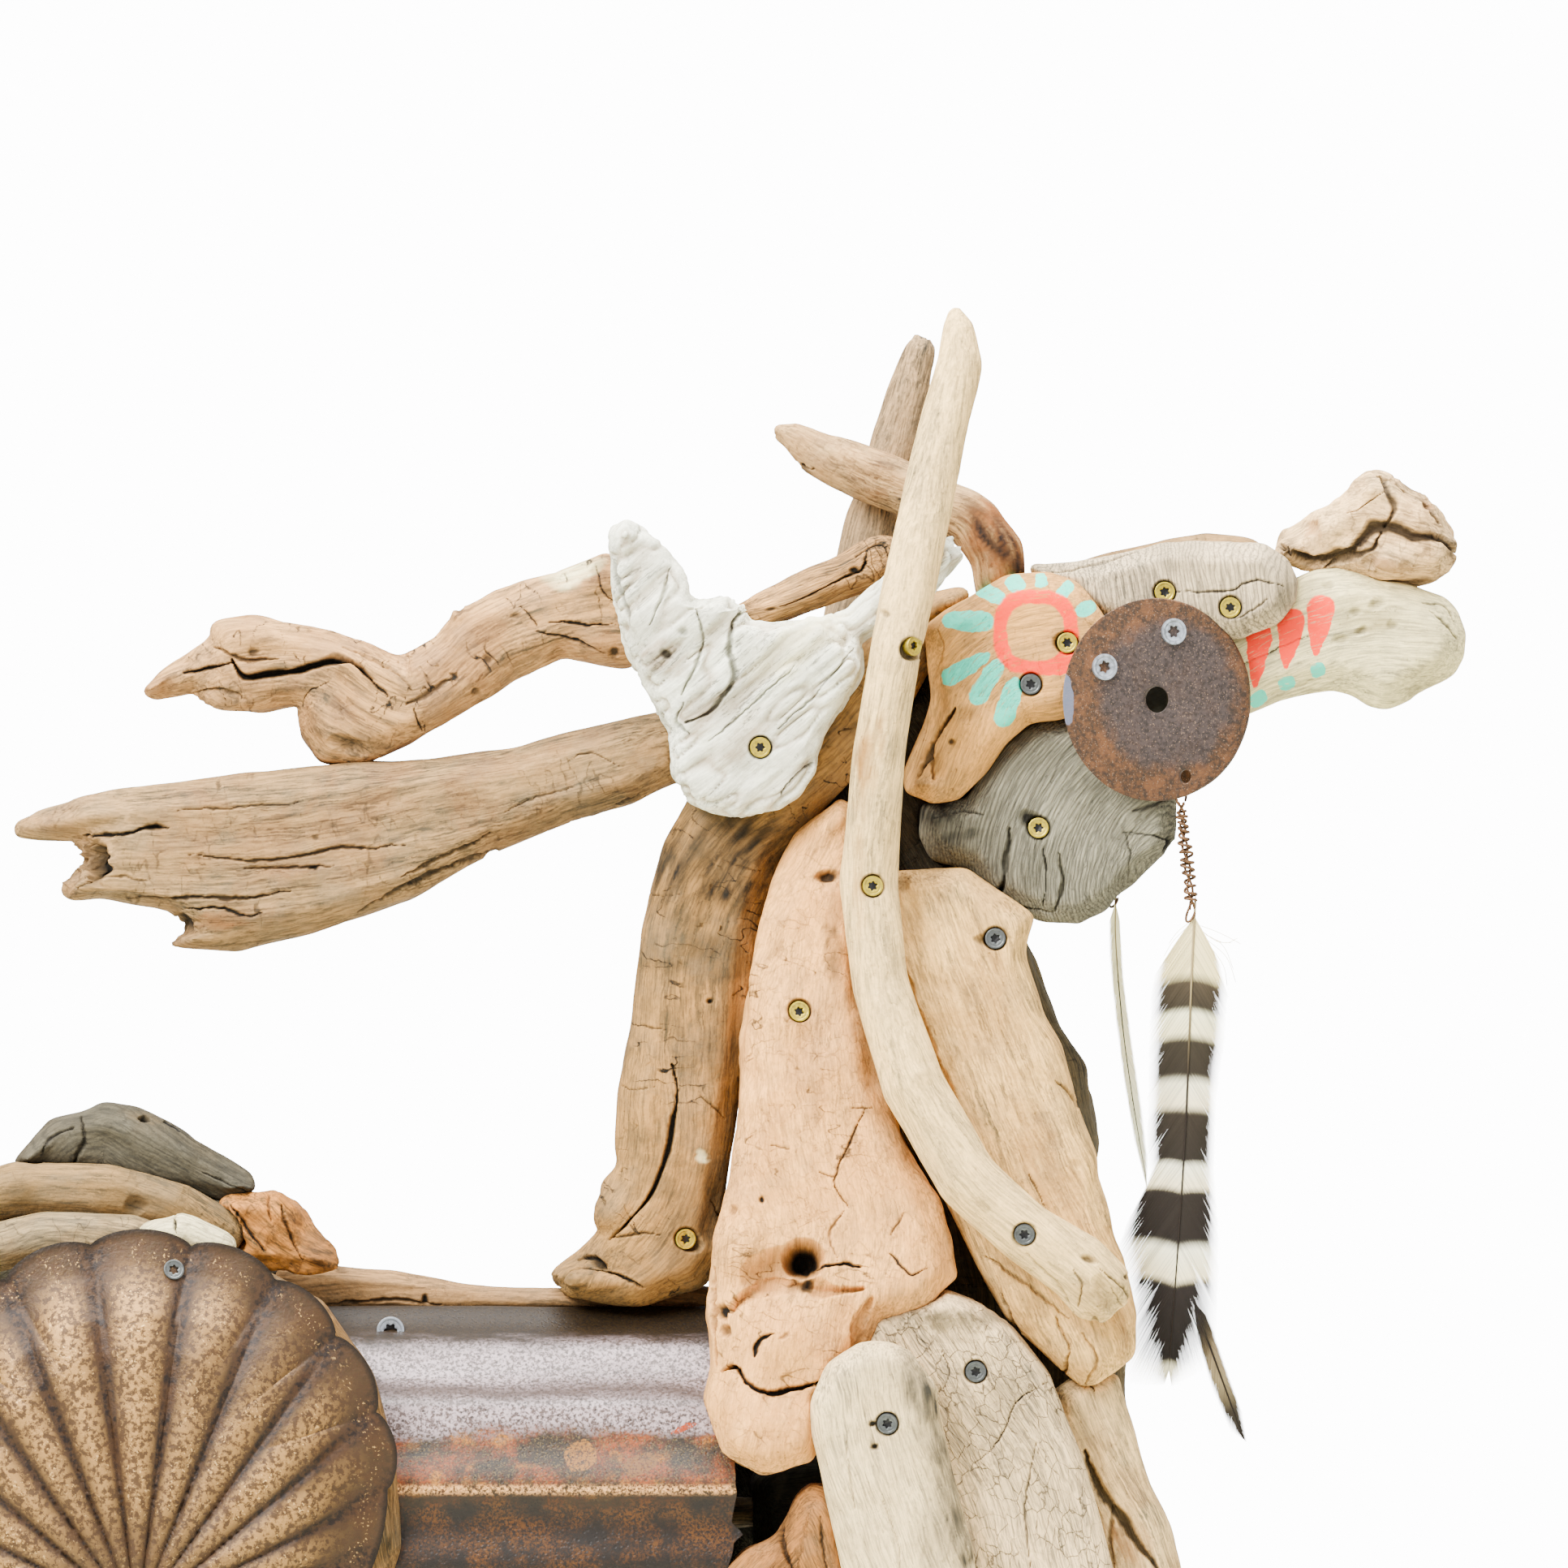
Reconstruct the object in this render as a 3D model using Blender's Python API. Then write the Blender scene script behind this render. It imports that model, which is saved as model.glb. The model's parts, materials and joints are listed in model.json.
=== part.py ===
"""A horse put together from driftwood, bone, old sheet iron and feathers, standing on a low board.

The figure looks towards +X and its near side, the side of the photograph, is -Y.
Outlines are drawn on a side view: columns run towards the nose and rows run down,
in squares of SQUARE metres. Widths and depths beside them are in millimetres.
"""

import math

import bmesh
import bpy
from mathutils import Vector
from mathutils.geometry import intersect_line_line_2d

SQUARE = 0.00032
MIDDLE_COLUMN = 693
BOARD_TOP_ROW = 3068.75
MM = 0.001

FIT_GAP = 0.42 * MM
TOUCH_GAP = 0.30 * MM
LIMB_SIDES = 8
FLAT_ANGLE = math.radians(1.5)

BASE_LENGTH = 0.560
BASE_WIDTH = 0.236
BASE_HEIGHT = 0.030
BASE_ROUNDING = 0.006

BARREL_RADIUS = 0.0855
BARREL_FLUTE = 0.0035
BARREL_FLUTES = 16
BARREL_WALL = 0.0016
BARREL_REAR = -0.150
BARREL_FRONT = 0.069
BARREL_AXIS_ROW = 1876

PAN_RADIUS = 0.1000
PAN_LOBE = 0.0058
PAN_LOBES = 16
PAN_WALL = 0.0014
PAN_DEPTH = 0.020
PAN_RIM_Y = -0.09095
PAN_COLUMN = 178
PAN_ROW = 1828

EYE_RADIUS = 0.0400
EYE_THICKNESS = 0.0030
EYE_HOLE_RADIUS = 0.0052
EYE_TURN = math.radians(22)
EYE_COLUMN = 1426
EYE_ROW = 862
EYE_Y = 0.0460
EYE_SEGMENTS = 28

WIRE_WRAP = 3.1
WIRE_COLUMN = 1462
FEATHER_THICKNESS = 0.0016

FINISHES = {
    "bleached": ((0.80, 0.76, 0.70), 0.85, 0.0),
    "pale": ((0.66, 0.58, 0.47), 0.80, 0.0),
    "peach": ((0.68, 0.50, 0.33), 0.75, 0.0),
    "tan": ((0.50, 0.36, 0.23), 0.80, 0.0),
    "brown": ((0.33, 0.22, 0.13), 0.80, 0.0),
    "grey": ((0.36, 0.32, 0.28), 0.85, 0.0),
    "orange": ((0.45, 0.25, 0.10), 0.80, 0.0),
    "bone": ((0.72, 0.68, 0.55), 0.60, 0.0),
    "rust": ((0.16, 0.07, 0.045), 0.60, 0.6),
    "rusty sheet": ((0.14, 0.07, 0.05), 0.35, 0.7),
    "copper": ((0.50, 0.22, 0.12), 0.40, 1.0),
    "feather": ((0.45, 0.40, 0.35), 0.90, 0.0),
    "board": ((0.30, 0.22, 0.15), 0.75, 0.0),
}

PIECES = []
FILLED = {}


def clear_scene():
    for thing in list(bpy.data.objects):
        bpy.data.objects.remove(thing, do_unlink=True)


def place(column, row, y=0.0):
    """The point of the side view's grid at this column and row, y metres from the middle plane."""
    height = BASE_HEIGHT + (BOARD_TOP_ROW - row) * SQUARE
    return Vector(((column - MIDDLE_COLUMN) * SQUARE, y, height))


def finish_of(name):
    material = bpy.data.materials.get(name)
    if material:
        return material
    colour, roughness, metallic = FINISHES[name]
    material = bpy.data.materials.new(name)
    material.use_nodes = True
    shader = material.node_tree.nodes["Principled BSDF"]
    shader.inputs["Base Color"].default_value = (*colour, 1.0)
    shader.inputs["Roughness"].default_value = roughness
    shader.inputs["Metallic"].default_value = metallic
    material.diffuse_color = (*colour, 1.0)
    return material


def add_piece(name, finish, shape):
    """Makes the shape an object whose origin is the middle of its box, and puts it on the list."""
    bmesh.ops.recalc_face_normals(shape, faces=shape.faces)
    bmesh.ops.triangulate(shape, faces=shape.faces)
    low = Vector([min(vert.co[axis] for vert in shape.verts) for axis in range(3)])
    high = Vector([max(vert.co[axis] for vert in shape.verts) for axis in range(3)])
    middle = (low + high) / 2
    bmesh.ops.translate(shape, verts=shape.verts, vec=-middle)
    mesh = bpy.data.meshes.new(name)
    shape.to_mesh(mesh)
    shape.free()
    mesh.materials.append(finish_of(finish))
    mesh.shade_smooth()
    mesh.set_sharp_from_angle(angle=math.radians(40))
    piece = bpy.data.objects.new(name, mesh)
    piece.location = middle
    bpy.context.scene.collection.objects.link(piece)
    PIECES.append(piece)
    return piece


def bridge(shape, first, second):
    """Quads between two rings of as many vertices."""
    count = len(first)
    for i in range(count):
        j = (i + 1) % count
        shape.faces.new((first[i], first[j], second[j], second[i]))


def through(points, share, start):
    """A point on the smooth curve through four neighbouring points, between the middle two."""
    a, b, c, d = points[start:start + 4]
    return [
        0.5 * (2 * q + (r - p) * share
               + (2 * p - 5 * q + 4 * r - s) * share ** 2
               + (3 * q - p - 3 * r + s) * share ** 3)
        for p, q, r, s in zip(a, b, c, d)
    ]


def smooth_route(route, steps):
    """The route with steps - 1 points more between each two, on a smooth curve."""
    padded = [route[0], *route, route[-1]]
    found = []
    for start in range(len(route) - 1):
        found += [through(padded, step / steps, start) for step in range(steps)]
    return found + [list(map(float, route[-1]))]


def limb(name, finish, route, steps=1, rounding=(0.6, 0.6)):
    """A branch along the route, whose rows hold column, row, y, half width and half depth in mm."""
    rows = smooth_route(route, steps)
    centres = [place(row[0], row[1], row[2] * MM) for row in rows]
    sizes = [(row[3] * MM, row[4] * MM) for row in rows]
    shape = bmesh.new()
    rings = []
    last = len(rows) - 1

    def ring(centre, along, width, depth):
        side = Vector((0, 1, 0)).cross(along).normalized()
        front = along.cross(side).normalized()
        turns = [2 * math.pi * (i + 0.5) / LIMB_SIDES for i in range(LIMB_SIDES)]
        return [
            shape.verts.new(centre + side * width * math.cos(turn) + front * depth * math.sin(turn))
            for turn in turns
        ]

    for i, (centre, (width, depth)) in enumerate(zip(centres, sizes)):
        along = (centres[min(i + 1, last)] - centres[max(i - 1, 0)]).normalized()
        if i == 0 and rounding[0]:
            rings.append(ring(centre - along * width * rounding[0], along, width * 0.55, depth * 0.55))
        rings.append(ring(centre, along, width, depth))
        if i == last and rounding[1]:
            rings.append(ring(centre + along * width * rounding[1], along, width * 0.55, depth * 0.55))
    for first, second in zip(rings, rings[1:]):
        bridge(shape, first, second)
    shape.faces.new(rings[0])
    shape.faces.new(rings[-1])
    return add_piece(name, finish, shape)


def corner_limits(points, inwards):
    """How far in each point may move before the short edges beside it turn over."""
    count = len(points)
    limits = [1.0] * count
    for i in range(count):
        j = (i + 1) % count
        edge = points[j] - points[i]
        along = edge.normalized()
        closing = along.dot(inwards[i]) - along.dot(inwards[j])
        if closing > 0:
            limit = 0.8 * edge.length / closing
            limits[i] = min(limits[i], limit)
            limits[j] = min(limits[j], limit)
    return limits


def span_inside(points, i, inward):
    """How far the outline's inside reaches from point i, along its inward direction."""
    start = points[i]
    end = start + inward
    best = 0.3
    count = len(points)
    for j in range(count):
        if i in (j, (j + 1) % count):
            continue
        hit = intersect_line_line_2d(start + inward * 1e-6, end, points[j], points[(j + 1) % count])
        if hit:
            best = min(best, (hit - start).length)
    return best


def slab(name, finish, outline, middle, half_depth, edge=6.0):
    """A flat piece with worn edges: its outline in the side view, thinner where the outline is narrow.

    The middle plane's y is given at the outline's top and at its bottom, in mm.
    """
    points = [place(column, row).xz for column, row in outline]
    area = sum(a.cross(b) for a, b in zip(points, points[1:] + points[:1]))
    if area < 0:
        points.reverse()
    count = len(points)
    inwards = []
    for i in range(count):
        before = (points[i] - points[i - 1]).normalized()
        after = (points[(i + 1) % count] - points[i]).normalized()
        inwards.append(Vector((-(before.y + after.y), before.x + after.x)).normalized())
    limits = corner_limits(points, inwards)
    spans = [span_inside(points, i, inwards[i]) for i in range(count)]
    spans = [min(spans[i], (spans[i - 1] + spans[i] + spans[(i + 1) % count]) / 3) for i in range(count)]
    low = min(point.y for point in points)
    tall = max(point.y for point in points) - low
    shape = bmesh.new()
    rings = [[], [], [], []]
    for point, inward, span, limit in zip(points, inwards, spans, limits):
        lean = (point.y - low) / tall
        centre = (middle[0] * lean + middle[1] * (1 - lean)) * MM
        depth = min(half_depth * MM, 0.55 * span)
        inset = min(edge * MM, 0.27 * span, limit)
        shoulder = depth - min(edge * MM, 0.6 * depth)
        inner = point + inward * inset
        for ring, spot, y in (
            (rings[0], inner, centre - depth),
            (rings[1], point, centre - shoulder),
            (rings[2], point, centre + shoulder),
            (rings[3], inner, centre + depth),
        ):
            ring.append(shape.verts.new((spot.x, y, spot.y)))
    for first, second in zip(rings, rings[1:]):
        bridge(shape, first, second)
    shape.faces.new(rings[0])
    shape.faces.new(rings[3])
    return add_piece(name, finish, shape)


def sheet(name, finish, outline, y, thickness):
    """A thin flat piece of one thickness, such as a feather's vane."""
    shape = bmesh.new()
    faces = []
    for side in (-0.5, 0.5):
        ring = [shape.verts.new(place(column, row, y + side * thickness)) for column, row in outline]
        faces.append(ring)
    bridge(shape, *faces)
    shape.faces.new(faces[0])
    shape.faces.new(faces[1])
    return add_piece(name, finish, shape)


def cutter_of(piece):
    """A hidden copy of the piece as first shaped, or filled if it is hollow, FIT_GAP larger all round."""
    cutter = bpy.data.objects.new("fit_" + piece.name, FILLED.get(piece.name, piece.data).copy())
    cutter.location = piece.location
    cutter.hide_render = True
    cutter.display_type = "WIRE"
    bpy.context.scene.collection.objects.link(cutter)
    grow = cutter.modifiers.new("gap", "DISPLACE")
    grow.direction = "NORMAL"
    grow.mid_level = 0.0
    grow.strength = FIT_GAP
    return cutter


def box_of(piece):
    corners = [vert.co + piece.location for vert in piece.data.vertices]
    return [(min(c[axis] for c in corners), max(c[axis] for c in corners)) for axis in range(3)]


def boxes_meet(first, second):
    return all(a[0] - FIT_GAP < b[1] and b[0] - FIT_GAP < a[1] for a, b in zip(first, second))


def fit_together(pieces):
    """Each piece is carved back to sit against all those before it, which keep their full shape."""
    earlier = []
    for piece in pieces:
        box = box_of(piece)
        cutter = cutter_of(piece)
        for other, other_box in earlier:
            if boxes_meet(box, other_box):
                carve = piece.modifiers.new(other.name, "BOOLEAN")
                carve.operation = "DIFFERENCE"
                carve.solver = "EXACT"
                carve.object = other
        earlier.append((cutter, box))


def islands_of(shape):
    """The separate bodies of a shape, each as a set of faces."""
    left = set(shape.faces)
    found = []
    while left:
        island = set()
        edge_of_search = [left.pop()]
        while edge_of_search:
            face = edge_of_search.pop()
            island.add(face)
            for edge in face.edges:
                for other in edge.link_faces:
                    if other in left:
                        left.remove(other)
                        edge_of_search.append(other)
        found.append(island)
    return found


def drop_offcuts(pieces):
    """Applies the carving and keeps only the largest body of each piece."""
    bpy.context.view_layer.update()
    graph = bpy.context.evaluated_depsgraph_get()
    carved = [bpy.data.meshes.new_from_object(piece.evaluated_get(graph)) for piece in pieces]
    for piece, mesh in zip(pieces, carved):
        shape = bmesh.new()
        shape.from_mesh(mesh)
        islands = islands_of(shape)
        islands.sort(key=lambda faces: sum(face.calc_area() for face in faces))
        offcuts = [face for island in islands[:-1] for face in island]
        bmesh.ops.delete(shape, geom=offcuts, context="FACES")
        bmesh.ops.dissolve_limit(shape, angle_limit=FLAT_ANGLE, verts=shape.verts, edges=shape.edges)
        bmesh.ops.triangulate(shape, faces=shape.faces)
        shape.to_mesh(mesh)
        shape.free()
        piece.modifiers.clear()
        mesh.name = piece.name
        piece.data = mesh


def eye_y_at(column):
    """Where the middle of the near disc's thickness lies at this column of the side view."""
    return -EYE_Y + (column - EYE_COLUMN) * SQUARE * math.tan(EYE_TURN)


def eye_disc(name, side):
    """A rusted iron washer, turned a little towards the nose. side is -1 for the near one."""
    shape = bmesh.new()
    rings = []
    for radius, depth in (
        (EYE_RADIUS, -0.5), (EYE_RADIUS, 0.5), (EYE_HOLE_RADIUS, 0.5), (EYE_HOLE_RADIUS, -0.5),
    ):
        turns = [2 * math.pi * i / EYE_SEGMENTS for i in range(EYE_SEGMENTS)]
        ring = []
        for turn in turns:
            across = radius * math.cos(turn)
            off = depth * EYE_THICKNESS
            ring.append(shape.verts.new((
                across * math.cos(EYE_TURN) + off * math.sin(EYE_TURN),
                side * (EYE_Y - across * math.sin(EYE_TURN) + off * math.cos(EYE_TURN)),
                radius * math.sin(turn),
            )))
        rings.append(ring)
    for first, second in zip(rings, rings[1:] + rings[:1]):
        bridge(shape, first, second)
    bmesh.ops.translate(shape, verts=shape.verts, vec=place(EYE_COLUMN, EYE_ROW))
    return add_piece(name, "rust", shape)


def barrel_radius(turn, wall):
    """The fluted sheet's outer radius, less the wall: a ridge between every two flutes."""
    return BARREL_RADIUS - BARREL_FLUTE * (0.5 + 0.5 * math.cos(BARREL_FLUTES * turn)) - wall


def drum_shape(walls):
    """Rings at the drum's ends, bridged: each a pair of an end's x and how far inside the outer skin it is."""
    shape = bmesh.new()
    axis_height = place(0, BARREL_AXIS_ROW).z
    turns = [2 * math.pi * i / (2 * BARREL_FLUTES) for i in range(2 * BARREL_FLUTES)]
    rings = [
        [
            shape.verts.new((
                x,
                barrel_radius(turn, wall) * math.cos(turn),
                axis_height + barrel_radius(turn, wall) * math.sin(turn),
            ))
            for turn in turns
        ]
        for x, wall in walls
    ]
    for first, second in zip(rings, rings[1:]):
        bridge(shape, first, second)
    return shape, rings


def barrel():
    """The fluted sheet iron drum of the body, open at both ends. Pieces outside it are cut to its full round."""
    skin = [(BARREL_REAR, 0), (BARREL_FRONT, 0)]
    shape, rings = drum_shape([*skin, (BARREL_FRONT, BARREL_WALL), (BARREL_REAR, BARREL_WALL)])
    bridge(shape, rings[-1], rings[0])
    drum = add_piece("barrel", "rusty sheet", shape)
    shape, rings = drum_shape(skin)
    shape.faces.new(rings[0])
    shape.faces.new(rings[1])
    bmesh.ops.recalc_face_normals(shape, faces=shape.faces)
    bmesh.ops.triangulate(shape, faces=shape.faces)
    bmesh.ops.translate(shape, verts=shape.verts, vec=-drum.location)
    FILLED["barrel"] = bpy.data.meshes.new("barrel_filled")
    shape.to_mesh(FILLED["barrel"])
    shape.free()
    return drum


def pan_edge(turn):
    """The scalloped pan's radius at a turn from +X: round lobes that narrow to the hinge at the bottom."""
    lobe = PAN_LOBE * (abs(math.cos(PAN_LOBES * turn / 2)) - 1)
    down = max(0.0, -math.sin(turn))
    return (PAN_RADIUS + lobe) * (1 - 0.10 * down ** 2)


def shell_pan():
    """A scalloped iron baking pan, bulging towards the viewer, its rim screwed to the haunch."""
    shape = bmesh.new()
    count = 3 * PAN_LOBES
    turns = [2 * math.pi * (i + 0.5) / count for i in range(count)]
    rings = []
    for share, rise, wall in (
        (0.40, 1.0, 1), (0.80, 0.28, 1), (1.0, 0.0, 1), (1.0, 0.0, 0), (0.80, 0.28, 0), (0.40, 1.0, 0),
    ):
        ring = []
        for turn in turns:
            reach = pan_edge(turn) * share
            y = PAN_RIM_Y - PAN_DEPTH * rise - wall * PAN_WALL
            spot = place(PAN_COLUMN, PAN_ROW, y)
            ring.append(shape.verts.new(spot + Vector((reach * math.cos(turn), 0, reach * math.sin(turn)))))
        rings.append(ring)
    for first, second in zip(rings, rings[1:]):
        bridge(shape, first, second)
    shape.faces.new(rings[0])
    shape.faces.new(rings[-1])
    return add_piece("shell_pan", "rust", shape)


def base_board():
    """The weathered board that the figure stands on."""
    shape = bmesh.new()
    rings = []
    for inset, height in (
        (0, 0), (0, BASE_HEIGHT - BASE_ROUNDING), (BASE_ROUNDING * 0.3, BASE_HEIGHT - BASE_ROUNDING * 0.3),
        (BASE_ROUNDING, BASE_HEIGHT),
    ):
        half_x = BASE_LENGTH / 2 - inset
        half_y = BASE_WIDTH / 2 - inset
        corners = ((-half_x, -half_y), (half_x, -half_y), (half_x, half_y), (-half_x, half_y))
        rings.append([shape.verts.new((x, y, height)) for x, y in corners])
    for first, second in zip(rings, rings[1:]):
        bridge(shape, first, second)
    shape.faces.new(rings[0])
    shape.faces.new(rings[-1])
    return add_piece("base_board", "board", shape)


def head_near():
    """What the viewer sees first on the head: the burl, the painted cheek, the disc and its feather."""
    eye_disc("eye_disc", -1)
    slab("nose_burl", "bleached", [
        (1584, 648), (1606, 638), (1643, 619), (1663, 603), (1673, 587), (1686, 578), (1704, 580),
        (1724, 589), (1755, 603), (1771, 615), (1782, 640), (1796, 668), (1786, 701), (1771, 711),
        (1741, 714), (1704, 715), (1684, 703), (1659, 693), (1614, 691), (1578, 673),
    ], (0, 0), 23, 7)
    slab("cheek", "tan", [
        (1140, 770), (1165, 752), (1190, 740), (1240, 710), (1290, 705), (1330, 720), (1355, 750),
        (1385, 800), (1365, 850), (1310, 885), (1270, 890), (1240, 915), (1215, 950), (1180, 985),
        (1150, 990), (1115, 975), (1115, 950), (1140, 895), (1150, 860), (1145, 820),
    ], (-31, -31), 20, 7)
    wire_y = eye_y_at(WIRE_COLUMN) / MM
    limb("copper_wire", "copper", [
        (1461, 962, wire_y, 2.6, 2.6), (1464, 1010, wire_y, WIRE_WRAP, WIRE_WRAP),
        (1468, 1060, wire_y, WIRE_WRAP, WIRE_WRAP), (1470, 1125, wire_y, 2.6, 2.6),
    ], rounding=(0, 0))
    sheet("feather", "feather", [
        (1464, 1110), (1464, 1136), (1448, 1153), (1430, 1196), (1425, 1250), (1418, 1325), (1417, 1405),
        (1422, 1432), (1413, 1461), (1392, 1496), (1380, 1528), (1392, 1571), (1392, 1673),
        (1438, 1705), (1451, 1686), (1475, 1678), (1497, 1633), (1499, 1566), (1498, 1502),
        (1491, 1432), (1494, 1352), (1506, 1282), (1509, 1218), (1497, 1180), (1483, 1148), (1476, 1110),
    ], wire_y * MM, FEATHER_THICKNESS)
    sheet("feather_small", "feather", [
        (1474, 1588), (1484, 1600), (1500, 1640), (1520, 1690), (1534, 1740), (1535, 1776),
        (1518, 1755), (1495, 1700), (1480, 1640),
    ], wire_y * MM + FEATHER_THICKNESS + TOUCH_GAP, FEATHER_THICKNESS)


def mane_near():
    """The long pale stick down the neck and the bleached root that spreads back like a wing."""
    limb("mane_stick", "pale", [
        (1174, 388, -52, 3.4, 3.4), (1178, 406, -53, 6.5, 6), (1180, 450, -55, 9.2, 8.5),
        (1152, 573, -61, 10.6, 10), (1127, 690, -68, 10.6, 10.5), (1103, 801, -75, 10.6, 10.5),
        (1082, 930, -73, 11, 10.5), (1070, 1090, -68, 11.8, 11), (1084, 1212, -73, 11.6, 11),
        (1124, 1336, -80, 13, 12), (1190, 1450, -84, 12.8, 12), (1262, 1515, -84, 12.2, 12),
        (1325, 1556, -82, 14, 13), (1356, 1590, -80, 14.5, 13),
    ])
    slab("mane_wing", "bleached", [
        (754, 652), (771, 644), (794, 651), (822, 678), (842, 710), (853, 734), (896, 727), (909, 742),
        (921, 767), (944, 770), (1004, 761), (1042, 751), (1084, 713), (1130, 690), (1167, 663),
        (1186, 687), (1148, 738), (1110, 765), (1066, 790), (1062, 825), (1036, 869), (1017, 898),
        (1006, 927), (1004, 949), (982, 981), (960, 995), (909, 1005), (873, 997), (848, 984),
        (829, 952), (826, 900), (806, 866), (787, 834), (775, 802), (765, 767), (755, 726),
    ], (-56, -46), 19, 5)
    limb("mane_horn", "grey", [
        (974, 533, -8, 4, 5), (1002, 554, -8, 7.4, 7), (1065, 580, -8, 9.6, 9), (1110, 598, -8, 9.6, 9.5),
        (1152, 618, -9, 9.8, 9.5), (1195, 649, -10, 9.8, 9.5), (1222, 685, -12, 9.4, 9),
        (1234, 725, -14, 9, 9), (1238, 760, -14, 8, 8),
    ])
    slab("mane_branch_upper", "tan", [
        (180, 850), (215, 815), (257, 790), (262, 768), (310, 763), (380, 775), (430, 790), (490, 810),
        (535, 785), (562, 753), (610, 729), (680, 709), (745, 684), (790, 692), (818, 730), (824, 800), (770, 820),
        (690, 807), (630, 833), (556, 881), (486, 922), (445, 940), (400, 940), (375, 900), (372, 865),
        (320, 875), (265, 870), (240, 850), (195, 858),
    ], (-24, -24), 17, 8)
    slab("mane_branch_lower", "tan", [
        (22, 1015), (97, 983), (160, 970), (400, 945), (540, 930), (640, 916), (700, 901), (822, 876),
        (900, 855), (905, 938), (825, 965), (780, 990), (700, 1011), (600, 1052), (500, 1108),
        (400, 1143), (290, 1172), (215, 1165), (235, 1150), (215, 1135), (95, 1110), (78, 1095),
        (105, 1065), (95, 1038), (22, 1032),
    ], (-24, -24), 21, 9)


def head_core():
    """The brow, the long bone of the muzzle and the grey jaw."""
    slab("brow", "grey", [
        (1270, 690), (1300, 688), (1360, 680), (1430, 665), (1500, 668), (1560, 670), (1590, 690),
        (1602, 715), (1598, 740), (1580, 765), (1530, 785), (1440, 790), (1340, 760), (1285, 725),
    ], (-22, -22), 17, 7)
    slab("jaw", "grey", [
        (1133, 1030), (1135, 990), (1190, 985), (1225, 930), (1265, 890), (1330, 880), (1400, 920),
        (1445, 985), (1440, 1060), (1405, 1097), (1370, 1120), (1330, 1138), (1290, 1135), (1245, 1120),
        (1215, 1105), (1195, 1070), (1150, 1060),
    ], (-22, -22), 19, 8)
    slab("muzzle", "bone", [
        (1602, 711), (1627, 701), (1653, 699), (1684, 705), (1741, 719), (1782, 735), (1794, 750),
        (1806, 780), (1802, 809), (1792, 829), (1765, 846), (1735, 862), (1714, 870), (1695, 866),
        (1675, 856), (1647, 849), (1614, 854), (1582, 862), (1542, 878), (1470, 900), (1330, 905),
        (1250, 860), (1250, 770), (1330, 740), (1450, 745), (1540, 740),
    ], (0, 0), 23, 10)
    slab("brow_far", "tan", [
        (1290, 705), (1360, 682), (1440, 665), (1490, 657), (1550, 662), (1585, 690), (1592, 730),
        (1545, 775), (1440, 790), (1330, 760),
    ], (15, 15), 15, 6)


def neck_near():
    """The pieces of the neck and chest that face the viewer, from the front layer to the back."""
    slab("shoulder_light", "pale", [
        (1060, 1650), (1020, 1675), (1000, 1720), (1000, 1760), (1040, 1932), (1062, 2015), (1110, 2050),
        (1170, 2035), (1205, 1975), (1195, 1900), (1170, 1800), (1150, 1700), (1122, 1662), (1090, 1648),
    ], (-96, -90), 11, 6)
    slab("elbow", "tan", [
        (880, 1985), (898, 1925), (918, 1905), (955, 1888), (970, 1865), (982, 1840), (1000, 1824),
        (1035, 1830), (1060, 1900), (1075, 1990), (1060, 2080), (1000, 2130), (930, 2110), (890, 2050),
    ], (-78, -74), 17, 8)
    slab("neck_main", "peach", [
        (1035, 985), (980, 1030), (950, 1090), (930, 1180), (915, 1290), (910, 1380), (900, 1450),
        (885, 1530), (872, 1620), (880, 1680), (870, 1725), (890, 1785), (940, 1810), (1000, 1795),
        (1030, 1730), (1062, 1668), (1084, 1622), (1150, 1602), (1178, 1570), (1160, 1490), (1110, 1400),
        (1078, 1300), (1065, 1180), (1065, 1080), (1060, 1000),
    ], (-32, -76), 24, 9)
    slab("shoulder_slab", "grey", [
        (1050, 1700), (1070, 1620), (1110, 1608), (1163, 1588), (1200, 1602), (1245, 1632), (1292, 1692),
        (1330, 1790), (1370, 1932),
        (1385, 2010), (1370, 2090), (1290, 2140), (1180, 2150), (1090, 2110), (1055, 2000), (1045, 1850),
    ], (-70, -64), 15, 5)
    slab("neck_front", "pale", [
        (1105, 1075), (1190, 1070), (1275, 1130), (1275, 1180), (1300, 1260), (1330, 1370), (1370, 1480),
        (1385, 1560), (1400, 1620), (1395, 1670), (1350, 1705), (1330, 1705), (1240, 1620), (1205, 1560),
        (1150, 1450), (1100, 1350), (1080, 1200), (1088, 1100),
    ], (-38, -52), 20, 7)
    slab("chest_edge", "pale", [
        (1300, 1715), (1335, 1690), (1385, 1695), (1405, 1760), (1430, 1840), (1455, 1932), (1472, 2020),
        (1455, 2110), (1400, 2170), (1340, 2150), (1320, 2050), (1315, 1900), (1290, 1790),
    ], (-38, -38), 20, 7)
    slab("crest_log", "brown", [
        (682, 1575), (705, 1550), (740, 1520), (728, 1498), (735, 1460), (765, 1430), (770, 1350),
        (790, 1250), (800, 1150), (825, 1040), (850, 990), (900, 900), (960, 830), (1040, 770),
        (1120, 735), (1195, 725), (1165, 790), (1120, 870), (1070, 935), (1010, 1000), (960, 1060),
        (935, 1130), (915, 1300), (900, 1400), (885, 1500), (880, 1550), (850, 1590), (790, 1610),
        (700, 1600),
    ], (-14, -14), 23, 9)


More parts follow.
